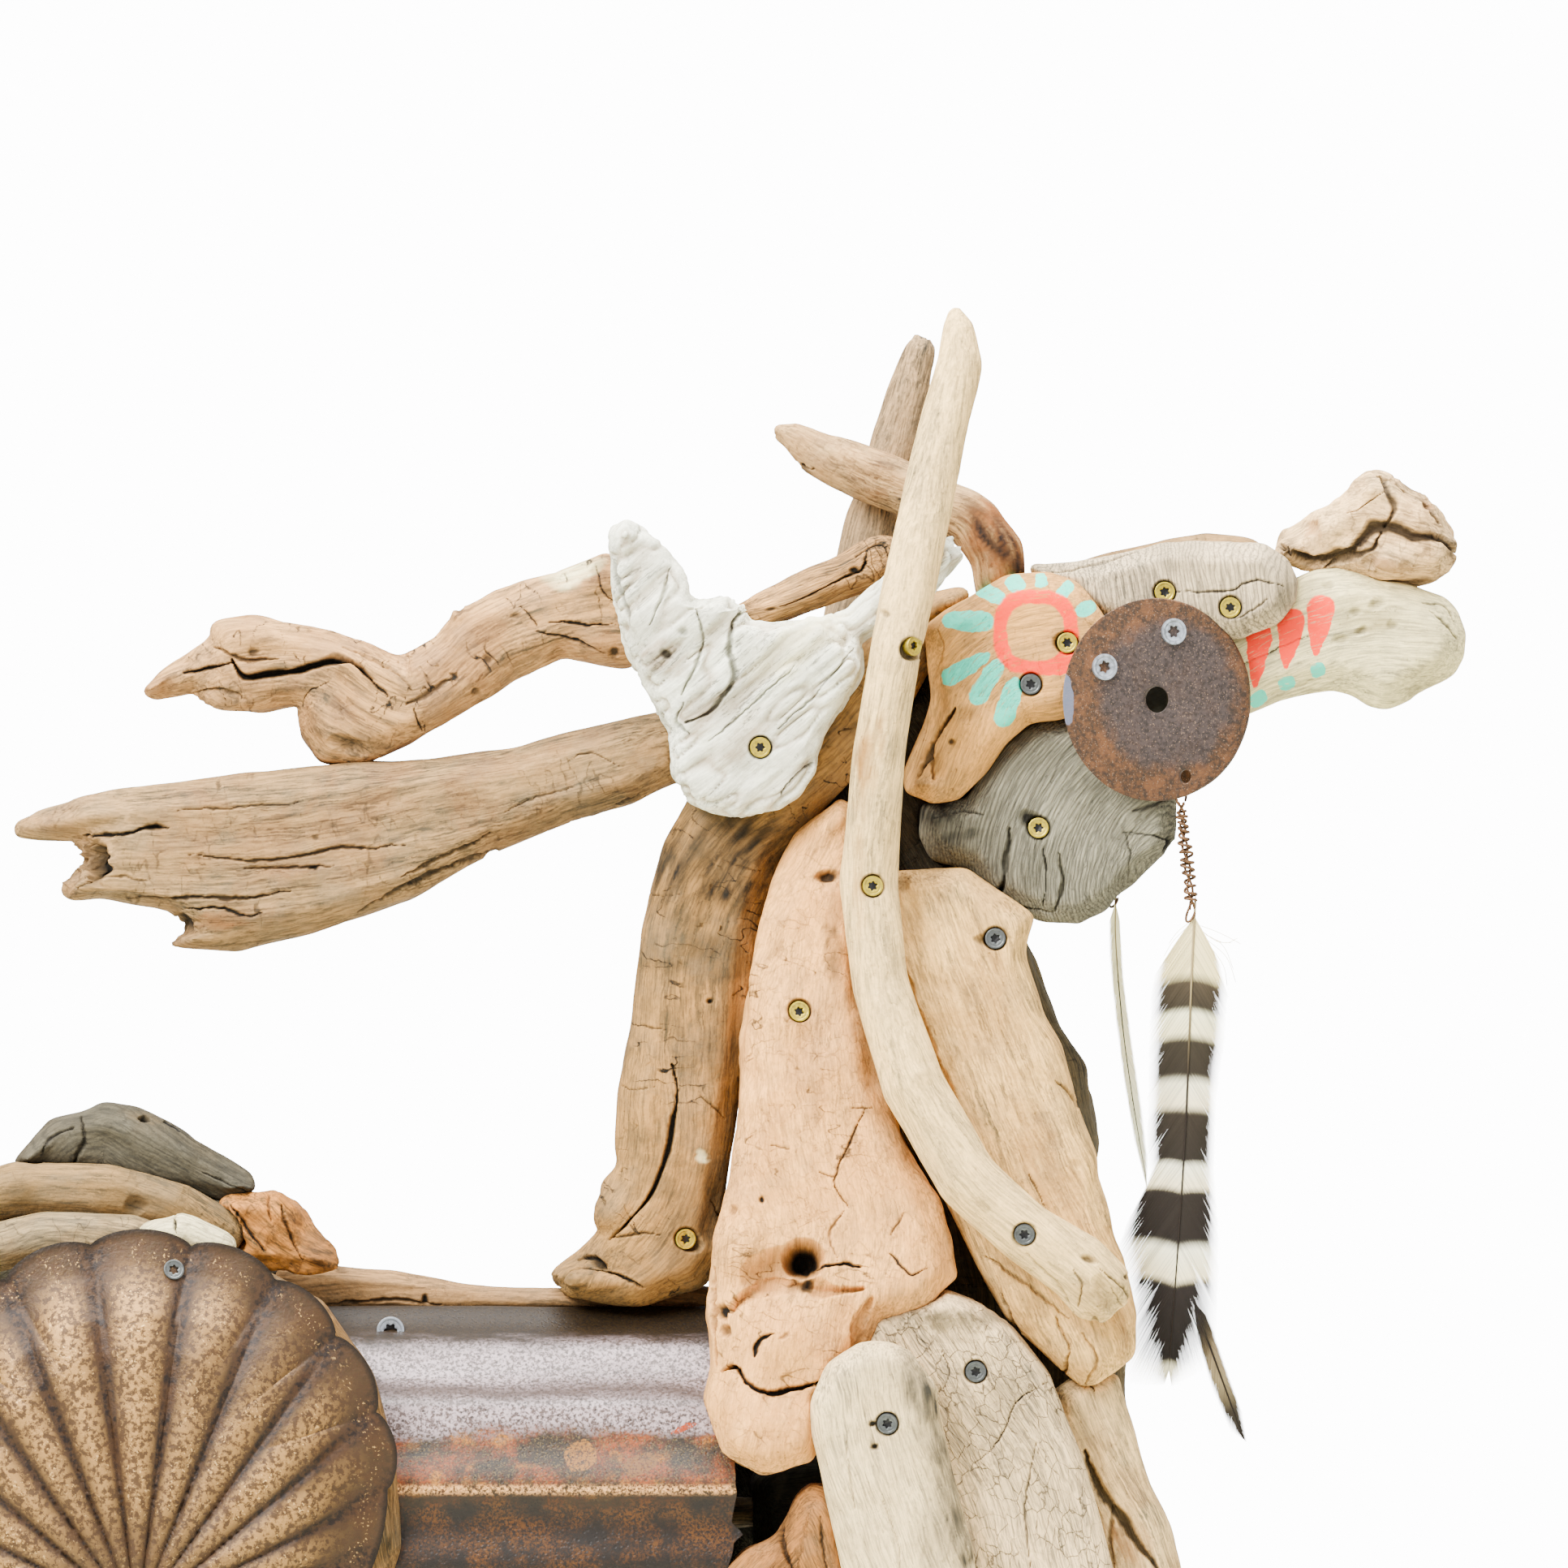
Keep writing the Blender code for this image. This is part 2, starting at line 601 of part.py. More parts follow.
def far_side():
    """The side that the viewer doesn't see, plainer: fewer and broader pieces of the same wood."""
    slab("cheek_far", "tan", [
        (1150, 790), (1230, 730), (1320, 735), (1400, 800), (1360, 880), (1270, 900), (1190, 985),
        (1130, 975), (1150, 880),
    ], (36, 36), 18, 7)
    slab("jaw_far", "grey", [
        (1150, 1000), (1230, 930), (1330, 890), (1420, 960), (1430, 1060), (1350, 1118), (1260, 1110),
        (1190, 1060),
    ], (18, 18), 18, 8)
    eye_disc("eye_disc_far", 1)
    wire_y = -eye_y_at(1384) / MM
    limb("copper_wire_far", "copper", [
        (1384, 958, wire_y, 2.4, 2.6), (1382, 1010, wire_y, WIRE_WRAP, WIRE_WRAP),
        (1380, 1112, wire_y, 2.6, 2.6),
    ], rounding=(0, 0))
    limb("feather_far", "feather", [
        (1380, 1100, wire_y, 1.8, 4), (1381, 1160, wire_y, 2.2, 9), (1390, 1270, wire_y, 2.4, 11),
        (1404, 1370, wire_y, 2.4, 11), (1421, 1470, wire_y, 1.6, 5),
    ])
    slab("neck_far_front", "brown", [
        (1140, 1040), (1230, 1080), (1275, 1180), (1305, 1262), (1335, 1310), (1352, 1380), (1357, 1450),
        (1385, 1560), (1392, 1740), (1385, 1900), (1300, 1960), (1215, 1880), (1190, 1650),
        (1130, 1400), (1090, 1200),
    ], (8, 8), 24, 8)
    slab("neck_far", "tan", [
        (1000, 960), (1090, 960), (1140, 1100), (1170, 1300), (1220, 1500), (1230, 1650), (1160, 1760),
        (1020, 1780), (950, 1600), (960, 1400), (950, 1150),
    ], (22, 40), 22, 8)
    slab("shoulder_far", "grey", [
        (960, 1700), (1180, 1600), (1330, 1700), (1400, 1900), (1420, 2060), (1340, 2150), (1120, 2150),
        (960, 2060), (930, 1860),
    ], (68, 62), 19, 7)
    slab("haunch_far", "tan", [
        (40, 1560), (200, 1500), (380, 1560), (460, 1720), (440, 1900), (330, 2060), (160, 2140),
        (0, 2060), (-80, 1860), (-50, 1680),
    ], (84, 84), 13, 7)


def withers():
    """The pieces behind the crest: the rear upright stick and the short log behind the wing."""
    limb("mane_branch_middle", "brown", [
        (872, 800, -28, 8, 10), (940, 746, -28, 9, 11), (1010, 715, -27, 10, 12), (1065, 695, -24, 11, 12),
        (1092, 680, -20, 9, 11),
    ])
    limb("mane_stick_rear", "grey", [
        (1142, 424, 14, 5.6, 6), (1127, 480, 14, 8.6, 8), (1108, 560, 13, 10.8, 9.5),
        (1078, 640, 12, 11.6, 10), (1060, 720, 10, 12, 10), (1040, 830, 8, 12, 10), (1020, 940, 8, 11, 10),
    ])
    slab("throat_piece", "brown", [
        (1060, 800), (1150, 760), (1290, 800), (1290, 900), (1200, 1020), (1180, 1100), (1080, 1120),
        (1020, 1050), (1030, 900),
    ], (0, 0), 16, 6)


def body():
    """The drum with the bar through it, the logs at its two ends and the board on the back."""
    limb("drum_bar", "brown", [
        (212, 1868, -8, 6, 9), (400, 1870, -8, 5.4, 9), (700, 1868, -10, 5.2, 9), (1030, 1870, -10, 5.4, 9),
    ], rounding=(0, 0))
    barrel()
    drum_top = BARREL_AXIS_ROW - BARREL_RADIUS / SQUARE
    slab("spine_board", "pale", [
        (250, drum_top - 19), (340, drum_top - 49), (480, drum_top - 44), (560, drum_top - 29),
        (690, drum_top - 19), (880, drum_top - 17), (880, drum_top + 9), (250, drum_top + 9),
    ], (0, 0), 40, 5)
    limb("chest_log", "brown", [
        (1015, 1890, 2, 50, 42), (1080, 1885, 2, 55, 45), (1170, 1880, 2, 58, 46), (1270, 1870, 2, 52, 44),
        (1350, 1870, 2, 40, 34),
    ], rounding=(0.15, 0.4))
    slab("haunch_block", "brown", [
        (-60, 1700), (20, 1590), (130, 1560), (220, 1560), (222, 2080), (120, 2120), (20, 2080),
        (-50, 1950),
    ], (0, 0), 70, 10)


def haunch():
    """The pan, the round board behind it and the heap of driftwood on top of the rump."""
    shell_pan()
    slab("haunch_board", "pale", [
        (60, 1560), (180, 1534), (300, 1548), (400, 1600), (462, 1690), (490, 1790), (496, 1900),
        (460, 2010), (370, 2080), (180, 2110), (0, 2080), (-90, 1960), (-120, 1820), (-80, 1680),
    ], (-82, -82), 8.5, 4)
    slab("rump_grey", "grey", [
        (18, 1442), (60, 1392), (125, 1360), (165, 1366), (225, 1390), (275, 1418), (312, 1442),
        (315, 1462), (278, 1482), (200, 1470), (100, 1450), (40, 1455),
    ], (-34, -34), 20, 8)
    limb("rump_tan", "tan", [
        (-150, 1530, -44, 8, 9), (-60, 1490, -46, 10, 11), (20, 1465, -48, 11.5, 12), (130, 1468, -48, 12, 12),
        (220, 1490, -46, 11, 12), (285, 1522, -44, 8, 9),
    ])
    slab("rump_orange", "orange", [
        (272, 1482), (310, 1470), (345, 1468), (370, 1480), (392, 1515), (408, 1525), (414, 1560),
        (380, 1568), (300, 1560), (280, 1520),
    ], (-34, -34), 18, 6)
    limb("rump_grey_low", "grey", [
        (-150, 1590, -56, 9, 11), (-50, 1548, -58, 10, 12), (60, 1522, -60, 10, 12),
        (160, 1525, -60, 10, 12), (250, 1556, -58, 8, 10),
    ])
    limb("rump_white", "bleached", [
        (185, 1520, -72, 5, 6), (225, 1512, -74, 7, 8), (280, 1536, -72, 6, 7),
    ])
    slab("rump_far", "grey", [
        (-110, 1560), (-40, 1480), (80, 1420), (230, 1430), (320, 1500), (360, 1575), (330, 1640),
        (-60, 1640),
    ], (20, 24), 30, 8)
    limb("tail_upper", "tan", [
        (-20, 1600, 0, 15, 15), (-130, 1590, 0, 16, 15), (-240, 1640, 0, 14, 14), (-310, 1740, 0, 12, 12),
        (-335, 1870, 0, 10, 10),
    ])
    limb("tail_lower", "pale", [
        (-300, 1790, -14, 9, 8), (-340, 1930, -12, 11, 9), (-352, 2100, -6, 10, 9),
        (-335, 2270, 0, 8, 8), (-300, 2400, 2, 5, 5),
    ])


def leg(name, finish, side, upper, lower):
    """A leg of two limbs: the upper one leans in to the body and the lower one stands on the board."""
    lower_rows = [(column, row, side * y, width, depth) for column, row, y, width, depth in lower]
    upper_rows = [(column, row, side * y, width, depth) for column, row, y, width, depth in upper]
    limb(name + "_lower", finish[1], lower_rows, rounding=(0.5, 0))
    limb(name + "_upper", finish[0], upper_rows)


def legs():
    """Four legs that the photograph doesn't show, plain limbs of the same driftwood."""
    leg("foreleg_near", ("tan", "grey"), -1, [
        (1160, 2030, 50, 26, 20), (1170, 2180, 52, 22, 18), (1180, 2330, 54, 17, 15), (1180, 2460, 56, 15, 14),
    ], [
        (1182, 2470, 56, 15, 14), (1176, 2620, 56, 11, 11), (1172, 2800, 57, 10.5, 11),
        (1176, 2920, 58, 13, 13), (1192, 3010, 58, 17, 16), (1200, 3090, 58, 20, 19),
    ])
    leg("foreleg_far", ("pale", "brown"), 1, [
        (1230, 2030, 50, 26, 20), (1262, 2180, 52, 22, 18), (1300, 2330, 54, 17, 15), (1318, 2450, 56, 15, 14),
    ], [
        (1320, 2462, 56, 15, 14), (1306, 2620, 56, 11, 11), (1290, 2800, 57, 10.5, 11),
        (1292, 2920, 58, 13, 13), (1306, 3010, 58, 17, 16), (1314, 3090, 58, 20, 19),
    ])
    leg("hindleg_near", ("brown", "pale"), -1, [
        (170, 1960, 56, 36, 20), (140, 2120, 56, 33, 20), (80, 2290, 57, 23, 17), (10, 2450, 58, 15, 14),
    ], [
        (4, 2440, 58, 15, 14), (22, 2600, 58, 12, 12), (46, 2780, 58, 11, 11),
        (60, 2910, 58, 13.5, 13), (84, 3005, 58, 17, 16), (94, 3090, 58, 20, 19),
    ])
    leg("hindleg_far", ("tan", "grey"), 1, [
        (200, 1960, 56, 36, 20), (190, 2120, 56, 33, 20), (150, 2290, 57, 23, 17), (96, 2450, 58, 15, 14),
    ], [
        (90, 2440, 58, 15, 14), (118, 2600, 58, 12, 12), (156, 2780, 58, 11, 11),
        (174, 2910, 58, 13.5, 13), (200, 3005, 58, 17, 16), (212, 3090, 58, 20, 19),
    ])


def main():
    clear_scene()
    base_board()
    head_near()
    mane_near()
    neck_near()
    head_core()
    haunch()
    body()
    withers()
    far_side()
    legs()
    fit_together(PIECES)
    drop_offcuts(PIECES)


main()
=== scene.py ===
import sys

import json
import math

import bmesh
import bpy
import numpy as np
from mathutils import Matrix, Vector
from mathutils.bvhtree import BVHTree


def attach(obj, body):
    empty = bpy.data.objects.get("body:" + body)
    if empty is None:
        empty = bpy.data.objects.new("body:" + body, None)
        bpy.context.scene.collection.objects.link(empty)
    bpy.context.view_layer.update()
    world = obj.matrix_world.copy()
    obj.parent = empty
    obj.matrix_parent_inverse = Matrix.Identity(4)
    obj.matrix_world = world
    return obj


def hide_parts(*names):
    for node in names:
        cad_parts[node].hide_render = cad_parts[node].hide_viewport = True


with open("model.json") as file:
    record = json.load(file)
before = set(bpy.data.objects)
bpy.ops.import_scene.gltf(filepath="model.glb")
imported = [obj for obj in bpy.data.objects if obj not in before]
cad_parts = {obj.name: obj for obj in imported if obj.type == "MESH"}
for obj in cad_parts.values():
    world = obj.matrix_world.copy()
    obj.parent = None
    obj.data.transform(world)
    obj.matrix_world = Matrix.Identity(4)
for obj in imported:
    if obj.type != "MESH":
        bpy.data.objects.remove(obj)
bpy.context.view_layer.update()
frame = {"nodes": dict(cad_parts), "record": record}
print("frame loaded:", len(frame["nodes"]), "nodes")

# The side view's grid: columns run towards the nose, rows run down, as in the part's source.
square = 0.00032
middleColumn = 693
groundRow = 3162.5
mm = 0.001
slotOf = {row["node"]: row["material_slot"] for row in frame["record"]["subparts"]}


def place(column, row, y=0.0):
    return Vector(((column - middleColumn) * square, y, (groundRow - row) * square))


# How the screen shows light: stops of light for a screen value, and how the channels lean on each other
screenCurve = (57.795, -155.122, 174.484, -99.233, 34.815, -8.751)
screenLean = ((0.941, 0.027, 0.04), (0.0, 1.08, -0.05), (-0.03, 0.02, 1.05))
lightOnPieces = 5.0
brightest = 0.92


def paint(red, green, blue, gain=1.0):  # a colour as it is to show on screen, 0 to 255, as the shader wants it
    shown = np.array([red, green, blue]) / 255 * gain
    shown *= min(1.0, brightest / shown.max())
    found = np.array(screenLean) @ 2.0 ** np.polyval(screenCurve, shown) / lightOnPieces
    found[1] *= 1 + 0.24 * max(0.0, 1 - found[2] / found[0])
    return (*[float(value) for value in np.clip(found, 0.002, 0.95)], 1.0)


# Camera, far off with a long lens, level with the horse's side

cameraSetup = {"column": 966, "row": 966, "frameSquares": 1932, "plane": -0.05, "distance": 6.0}


def setCamera(setup):
    data = bpy.data.cameras.new("camera")
    data.sensor_width = 36
    data.lens = 36 * setup["distance"] / (setup["frameSquares"] * square)
    data.clip_end = 40
    camera = bpy.data.objects.new("camera", data)
    camera.location = place(setup["column"], setup["row"], setup["plane"] - setup["distance"])
    camera.rotation_euler = (math.radians(90), 0, 0)
    bpy.context.scene.collection.objects.link(camera)
    bpy.context.scene.camera = camera


setCamera(cameraSetup)
print("camera set")

# Shader helpers


def feed(tree, socket, value):
    if isinstance(value, bpy.types.NodeSocket):
        tree.links.new(value, socket)
    else:
        socket.default_value = value


def calc(tree, operation, a, b=0.0, c=0.0, clamp=False):
    node = tree.nodes.new("ShaderNodeMath")
    node.operation = operation
    node.use_clamp = clamp
    for socket, value in zip(node.inputs, (a, b, c)):
        feed(tree, socket, value)
    return node.outputs[0]


def vectorCalc(tree, operation, a, b):
    node = tree.nodes.new("ShaderNodeVectorMath")
    node.operation = operation
    feed(tree, node.inputs[0], a)
    feed(tree, node.inputs[1], b)
    return node.outputs[0]


def cloud(tree, vector, scale, detail=2.0, roughness=0.5, distortion=0.0, output="Fac"):
    node = tree.nodes.new("ShaderNodeTexNoise")
    feed(tree, node.inputs["Vector"], vector)
    node.inputs["Scale"].default_value = scale
    node.inputs["Detail"].default_value = detail
    node.inputs["Roughness"].default_value = roughness
    node.inputs["Distortion"].default_value = distortion
    return node.outputs[output]


def cells(tree, vector, scale, feature="DISTANCE_TO_EDGE", output="Distance"):
    node = tree.nodes.new("ShaderNodeTexVoronoi")
    node.feature = feature
    feed(tree, node.inputs["Vector"], vector)
    node.inputs["Scale"].default_value = scale
    return node.outputs[output]


def ease(tree, value, low, high, start=0.0, end=1.0):
    node = tree.nodes.new("ShaderNodeMapRange")
    node.interpolation_type = "SMOOTHSTEP"
    for name, setting in (
        ("Value", value), ("From Min", low), ("From Max", high), ("To Min", start), ("To Max", end),
    ):
        feed(tree, node.inputs[name], setting)
    return node.outputs["Result"]


def mixColour(tree, share, first, second, kind="MIX"):
    node = tree.nodes.new("ShaderNodeMix")
    node.data_type = "RGBA"
    node.blend_type = kind
    feed(tree, node.inputs[0], share)
    feed(tree, node.inputs[6], first)
    feed(tree, node.inputs[7], second)
    return node.outputs[2]


def splitParts(tree, vector, kind="XYZ"):
    node = tree.nodes.new("ShaderNodeSeparateXYZ" if kind == "XYZ" else "ShaderNodeSeparateColor")
    feed(tree, node.inputs[0], vector)
    return node.outputs


def newGroup(name, inputs, outputs):
    group = bpy.data.node_groups.new(name, "ShaderNodeTree")
    for label, kind in inputs:
        group.interface.new_socket(label, in_out="INPUT", socket_type="NodeSocket" + kind)
    for label, kind in outputs:
        group.interface.new_socket(label, in_out="OUTPUT", socket_type="NodeSocket" + kind)
    return group, group.nodes.new("NodeGroupInput").outputs, group.nodes.new("NodeGroupOutput").inputs


def useGroup(tree, group, values):
    node = tree.nodes.new("ShaderNodeGroup")
    node.node_tree = group
    for name, value in values.items():
        feed(tree, node.inputs[name], value)
    return node.outputs


def attribute(tree, name, output):
    node = tree.nodes.new("ShaderNodeAttribute")
    node.attribute_name = name
    return node.outputs[output]


def objectPlace(tree):
    return tree.nodes.new("ShaderNodeTexCoord").outputs["Object"]


# Shared effects: lengths in metres, so scales are waves to the metre


def makeGrainGroup():
    group, ins, outs = newGroup(
        "woodGrain", [("Grain", "Vector"), ("Ring Spacing", "Float")],
        [("Fibre", "Float"), ("Streak", "Float"), ("Line", "Float"), ("Ring", "Float")],
    )
    shake = cloud(group, vectorCalc(group, "MULTIPLY", ins["Grain"], (45, 120, 120)), 1, 2, output="Color")
    shake = vectorCalc(group, "MULTIPLY", vectorCalc(group, "SUBTRACT", shake, (0.5, 0.5, 0.5)), (0, 0.004, 0.004))
    grain = vectorCalc(group, "ADD", ins["Grain"], shake)

    def fibres(scale, detail):
        return cloud(group, vectorCalc(group, "MULTIPLY", grain, scale), 1, detail, 0.6)

    feed(group, outs["Fibre"], ease(group, fibres((75, 1500, 1500), 3), 0.32, 0.68))
    middle = ease(group, fibres((24, 520, 520), 4), 0.38, 0.64)
    broad = ease(group, fibres((9, 110, 110), 4), 0.36, 0.66)
    feed(group, outs["Streak"], calc(group, "ADD", calc(group, "MULTIPLY", middle, 0.5),
                                     calc(group, "MULTIPLY", broad, 0.5)))
    near = calc(group, "ABSOLUTE", calc(group, "SUBTRACT", fibres((15, 400, 400), 3), 0.5))
    gate = ease(group, fibres((26, 80, 80), 2), 0.47, 0.58)
    feed(group, outs["Line"], calc(group, "MULTIPLY", ease(group, near, 0.0, 0.03, 1.0, 0.0), gate))
    parts = splitParts(group, ins["Grain"])
    wander = fibres((14, 40, 40), 3)
    turns = calc(group, "DIVIDE", calc(group, "ADD", parts[1], calc(group, "MULTIPLY", parts[2], 0.4)),
                 ins["Ring Spacing"])
    turns = calc(group, "ADD", turns, calc(group, "MULTIPLY", wander, 9.0))
    wave = calc(group, "SINE", calc(group, "MULTIPLY", turns, 6.283))
    feed(group, outs["Ring"], ease(group, wave, 0.1, 1.0))
    return group


def makeCrackGroup():
    group, ins, outs = newGroup(
        "woodCracks", [("Grain", "Vector"), ("Place", "Vector"), ("Net", "Float"), ("Checks", "Float")],
        [("Mask", "Float")],
    )
    shake = cloud(group, vectorCalc(group, "MULTIPLY", ins["Place"], (150, 150, 150)), 1, 4, output="Color")
    shake = vectorCalc(group, "MULTIPLY", vectorCalc(group, "SUBTRACT", shake, (0.5, 0.5, 0.5)),
                       (0.0045, 0.0045, 0.0045))
    grain = vectorCalc(group, "ADD", ins["Grain"], shake)
    patch = cloud(group, ins["Place"], 26, 3)
    other = cloud(group, vectorCalc(group, "ADD", ins["Place"], (3.0, 1.0, 2.0)), 62, 2)
    near = cells(group, vectorCalc(group, "MULTIPLY", grain, (120, 230, 230)), 1)
    net = calc(group, "MULTIPLY", ease(group, near, 0.005, 0.035, 1.0, 0.0), ease(group, other, 0.38, 0.52, 0.1, 0.8))
    net = calc(group, "MULTIPLY", net, ins["Net"])
    rows = cloud(group, vectorCalc(group, "MULTIPLY", grain, (150, 42, 42)), 1, 1, 0.5)
    near = calc(group, "ABSOLUTE", calc(group, "SUBTRACT", rows, 0.5))
    checks = calc(group, "MULTIPLY", ease(group, near, 0.0, 0.018, 1.0, 0.0), ease(group, other, 0.47, 0.56))
    checks = calc(group, "MULTIPLY", checks, calc(group, "MULTIPLY", ins["Checks"],
                                                  ease(group, patch, 0.4, 0.56)))
    feed(group, outs["Mask"], calc(group, "MAXIMUM", net, checks))
    return group


def makeWoodColourGroup():
    group, ins, outs = newGroup(
        "woodColour",
        [("Fibre", "Float"), ("Streak", "Float"), ("Line", "Float"), ("Ring", "Float"), ("Crack", "Float"),
         ("Place", "Vector"), ("Tone", "Color"), ("Light", "Color"), ("Dark", "Color"), ("Warm", "Color"),
         ("Deep", "Color"), ("Fibres", "Float"), ("Streaks", "Float"), ("Splits", "Float"), ("Rings", "Float"),
         ("Patches", "Float"), ("Silver", "Float")],
        [("Color", "Color"), ("Height", "Float"), ("Roughness", "Float")],
    )
    tone = splitParts(group, ins["Tone"], "RGB")
    share = calc(group, "MULTIPLY", ins["Streak"], ins["Streaks"])
    share = calc(group, "ADD", share, calc(
        group, "MULTIPLY", calc(group, "SUBTRACT", ins["Fibre"], 0.4), ins["Fibres"]), clamp=True)
    colour = mixColour(group, share, ins["Light"], ins["Dark"])
    patch = ease(group, cloud(group, ins["Place"], 34, 5, 0.62), 0.44, 0.62)
    warm = calc(group, "MULTIPLY", patch, ins["Patches"], clamp=True)
    warm = calc(group, "MAXIMUM", warm, tone[1], clamp=True)
    colour = mixColour(group, warm, colour, ins["Warm"])
    film = ease(group, cloud(group, vectorCalc(group, "ADD", ins["Place"], (5.0, 7.0, 9.0)), 48, 5, 0.65), 0.46, 0.62)
    colour = mixColour(group, calc(group, "MULTIPLY", film, ins["Silver"]), colour, paint(168, 158, 146))
    worn = ease(group, cloud(group, ins["Place"], 15, 3), 0.4, 0.75, 0.0, 0.25)
    colour = mixColour(group, worn, colour, ins["Light"])
    colour = mixColour(group, calc(group, "MULTIPLY", tone[2], 0.9), colour, paint(240, 234, 222))
    ring = calc(group, "MULTIPLY", ins["Ring"], ins["Rings"])
    colour = mixColour(group, calc(group, "MULTIPLY", ring, 0.6), colour, ins["Dark"])
    line = calc(group, "MULTIPLY", ins["Line"], ins["Splits"], clamp=True)
    colour = mixColour(group, calc(group, "MULTIPLY", line, 0.75), colour, ins["Deep"])
    grit = ease(group, cloud(group, ins["Place"], 620, 3), 0.62, 0.72, 0.0, 0.55)
    colour = mixColour(group, calc(group, "MULTIPLY", grit, ins["Streak"]), colour, ins["Deep"])
    # tone's first channel carries dark stains together with painted shade in cracks, pits, screw holes, frays and
    # under the eye washers
    dark = calc(group, "MAXIMUM", calc(group, "MULTIPLY", ins["Crack"], 0.9), tone[0], clamp=True)
    colour = mixColour(group, dark, colour, ins["Deep"])
    feed(group, outs["Color"], colour)
    height = calc(group, "MULTIPLY", ins["Fibre"], calc(group, "MULTIPLY", ins["Fibres"], -0.5))
    height = calc(group, "ADD", height, calc(group, "MULTIPLY", ins["Streak"], -0.9))
    height = calc(group, "ADD", height, calc(group, "MULTIPLY", ring, -0.4))
    height = calc(group, "ADD", height, calc(group, "MULTIPLY", line, -1.0))
    height = calc(group, "ADD", height, calc(group, "MULTIPLY", ins["Crack"], -1.6))
    height = calc(group, "ADD", height, calc(group, "MULTIPLY", cloud(group, ins["Place"], 420, 3), 0.4))
    feed(group, outs["Height"], height)
    feed(group, outs["Roughness"], calc(group, "ADD", 0.7, calc(group, "MULTIPLY", ins["Fibre"], 0.16)))
    return group


def makeStrokeGroup():  # one dab of a brush on the side view: rounded at one end, drawn out at the other
    group, ins, outs = newGroup(
        "brushStroke",
        [("Place", "Vector"), ("Column", "Float"), ("Row", "Float"), ("Turn", "Float"), ("Long", "Float"),
         ("Wide", "Float"), ("Taper", "Float")],
        [("Mask", "Float")],
    )
    wobble = cloud(group, ins["Place"], 260, 3, output="Color")
    wobble = vectorCalc(group, "MULTIPLY", vectorCalc(group, "SUBTRACT", wobble, (0.5, 0.5, 0.5)),
                        (0.0022, 0.0, 0.0022))
    parts = splitParts(group, vectorCalc(group, "ADD", ins["Place"], wobble))
    across = calc(group, "SUBTRACT", calc(group, "ADD", calc(group, "DIVIDE", parts[0], square), middleColumn),
                  ins["Column"])
    down = calc(group, "SUBTRACT", calc(group, "SUBTRACT", groundRow, calc(group, "DIVIDE", parts[2], square)),
                ins["Row"])
    cosine, sine = calc(group, "COSINE", ins["Turn"]), calc(group, "SINE", ins["Turn"])
    u = calc(group, "ADD", calc(group, "MULTIPLY", across, cosine), calc(group, "MULTIPLY", down, sine))
    v = calc(group, "SUBTRACT", calc(group, "MULTIPLY", down, cosine), calc(group, "MULTIPLY", across, sine))
    u = calc(group, "DIVIDE", u, ins["Long"])
    width = calc(group, "MULTIPLY", ins["Wide"],
                 calc(group, "SUBTRACT", 1.0, calc(group, "MULTIPLY", u, ins["Taper"])))
    v = calc(group, "DIVIDE", v, calc(group, "MAXIMUM", width, 0.5))
    u = calc(group, "POWER", calc(group, "ABSOLUTE", u), 3.0)
    reach = calc(group, "ADD", u, calc(group, "POWER", calc(group, "ABSOLUTE", v), 2.4))
    mask = ease(group, reach, 0.86, 1.06, 1.0, 0.0)
    near = calc(group, "LESS_THAN", parts[1], -0.002)
    feed(group, outs["Mask"], calc(group, "MULTIPLY", mask, near))
    return group


def makeRustGroup():
    group, ins, outs = newGroup(
        "rustBloom", [("Place", "Vector"), ("Size", "Float")],
        [("Bloom", "Float"), ("Speck", "Float"), ("Height", "Float")],
    )
    scaled = vectorCalc(group, "SCALE", ins["Place"], (0, 0, 0))
    group.links.new(ins["Size"], scaled.node.inputs["Scale"])
    bloom = cloud(group, scaled, 1.0, 8, 0.62)
    speck = cloud(group, scaled, 14.0, 3, 0.6)
    feed(group, outs["Bloom"], ease(group, bloom, 0.38, 0.64))
    feed(group, outs["Speck"], ease(group, speck, 0.56, 0.66))
    height = calc(group, "ADD", calc(group, "MULTIPLY", bloom, 0.6), calc(group, "MULTIPLY", speck, 0.5))
    feed(group, outs["Height"], height)
    return group


grainGroup = makeGrainGroup()
crackGroup = makeCrackGroup()
woodColourGroup = makeWoodColourGroup()
strokeGroup = makeStrokeGroup()
rustGroup = makeRustGroup()
print("shared effects made")


def newMaterial(name):
    material = bpy.data.materials.new(name)
    material.use_nodes = True
    return material, material.node_tree, material.node_tree.nodes["Principled BSDF"]


def addBump(tree, shader, height, strength, distance):
    bump = tree.nodes.new("ShaderNodeBump")
    bump.inputs["Strength"].default_value = strength
    bump.inputs["Distance"].default_value = distance
    feed(tree, bump.inputs["Height"], height)
    tree.links.new(bump.outputs["Normal"], shader.inputs["Normal"])


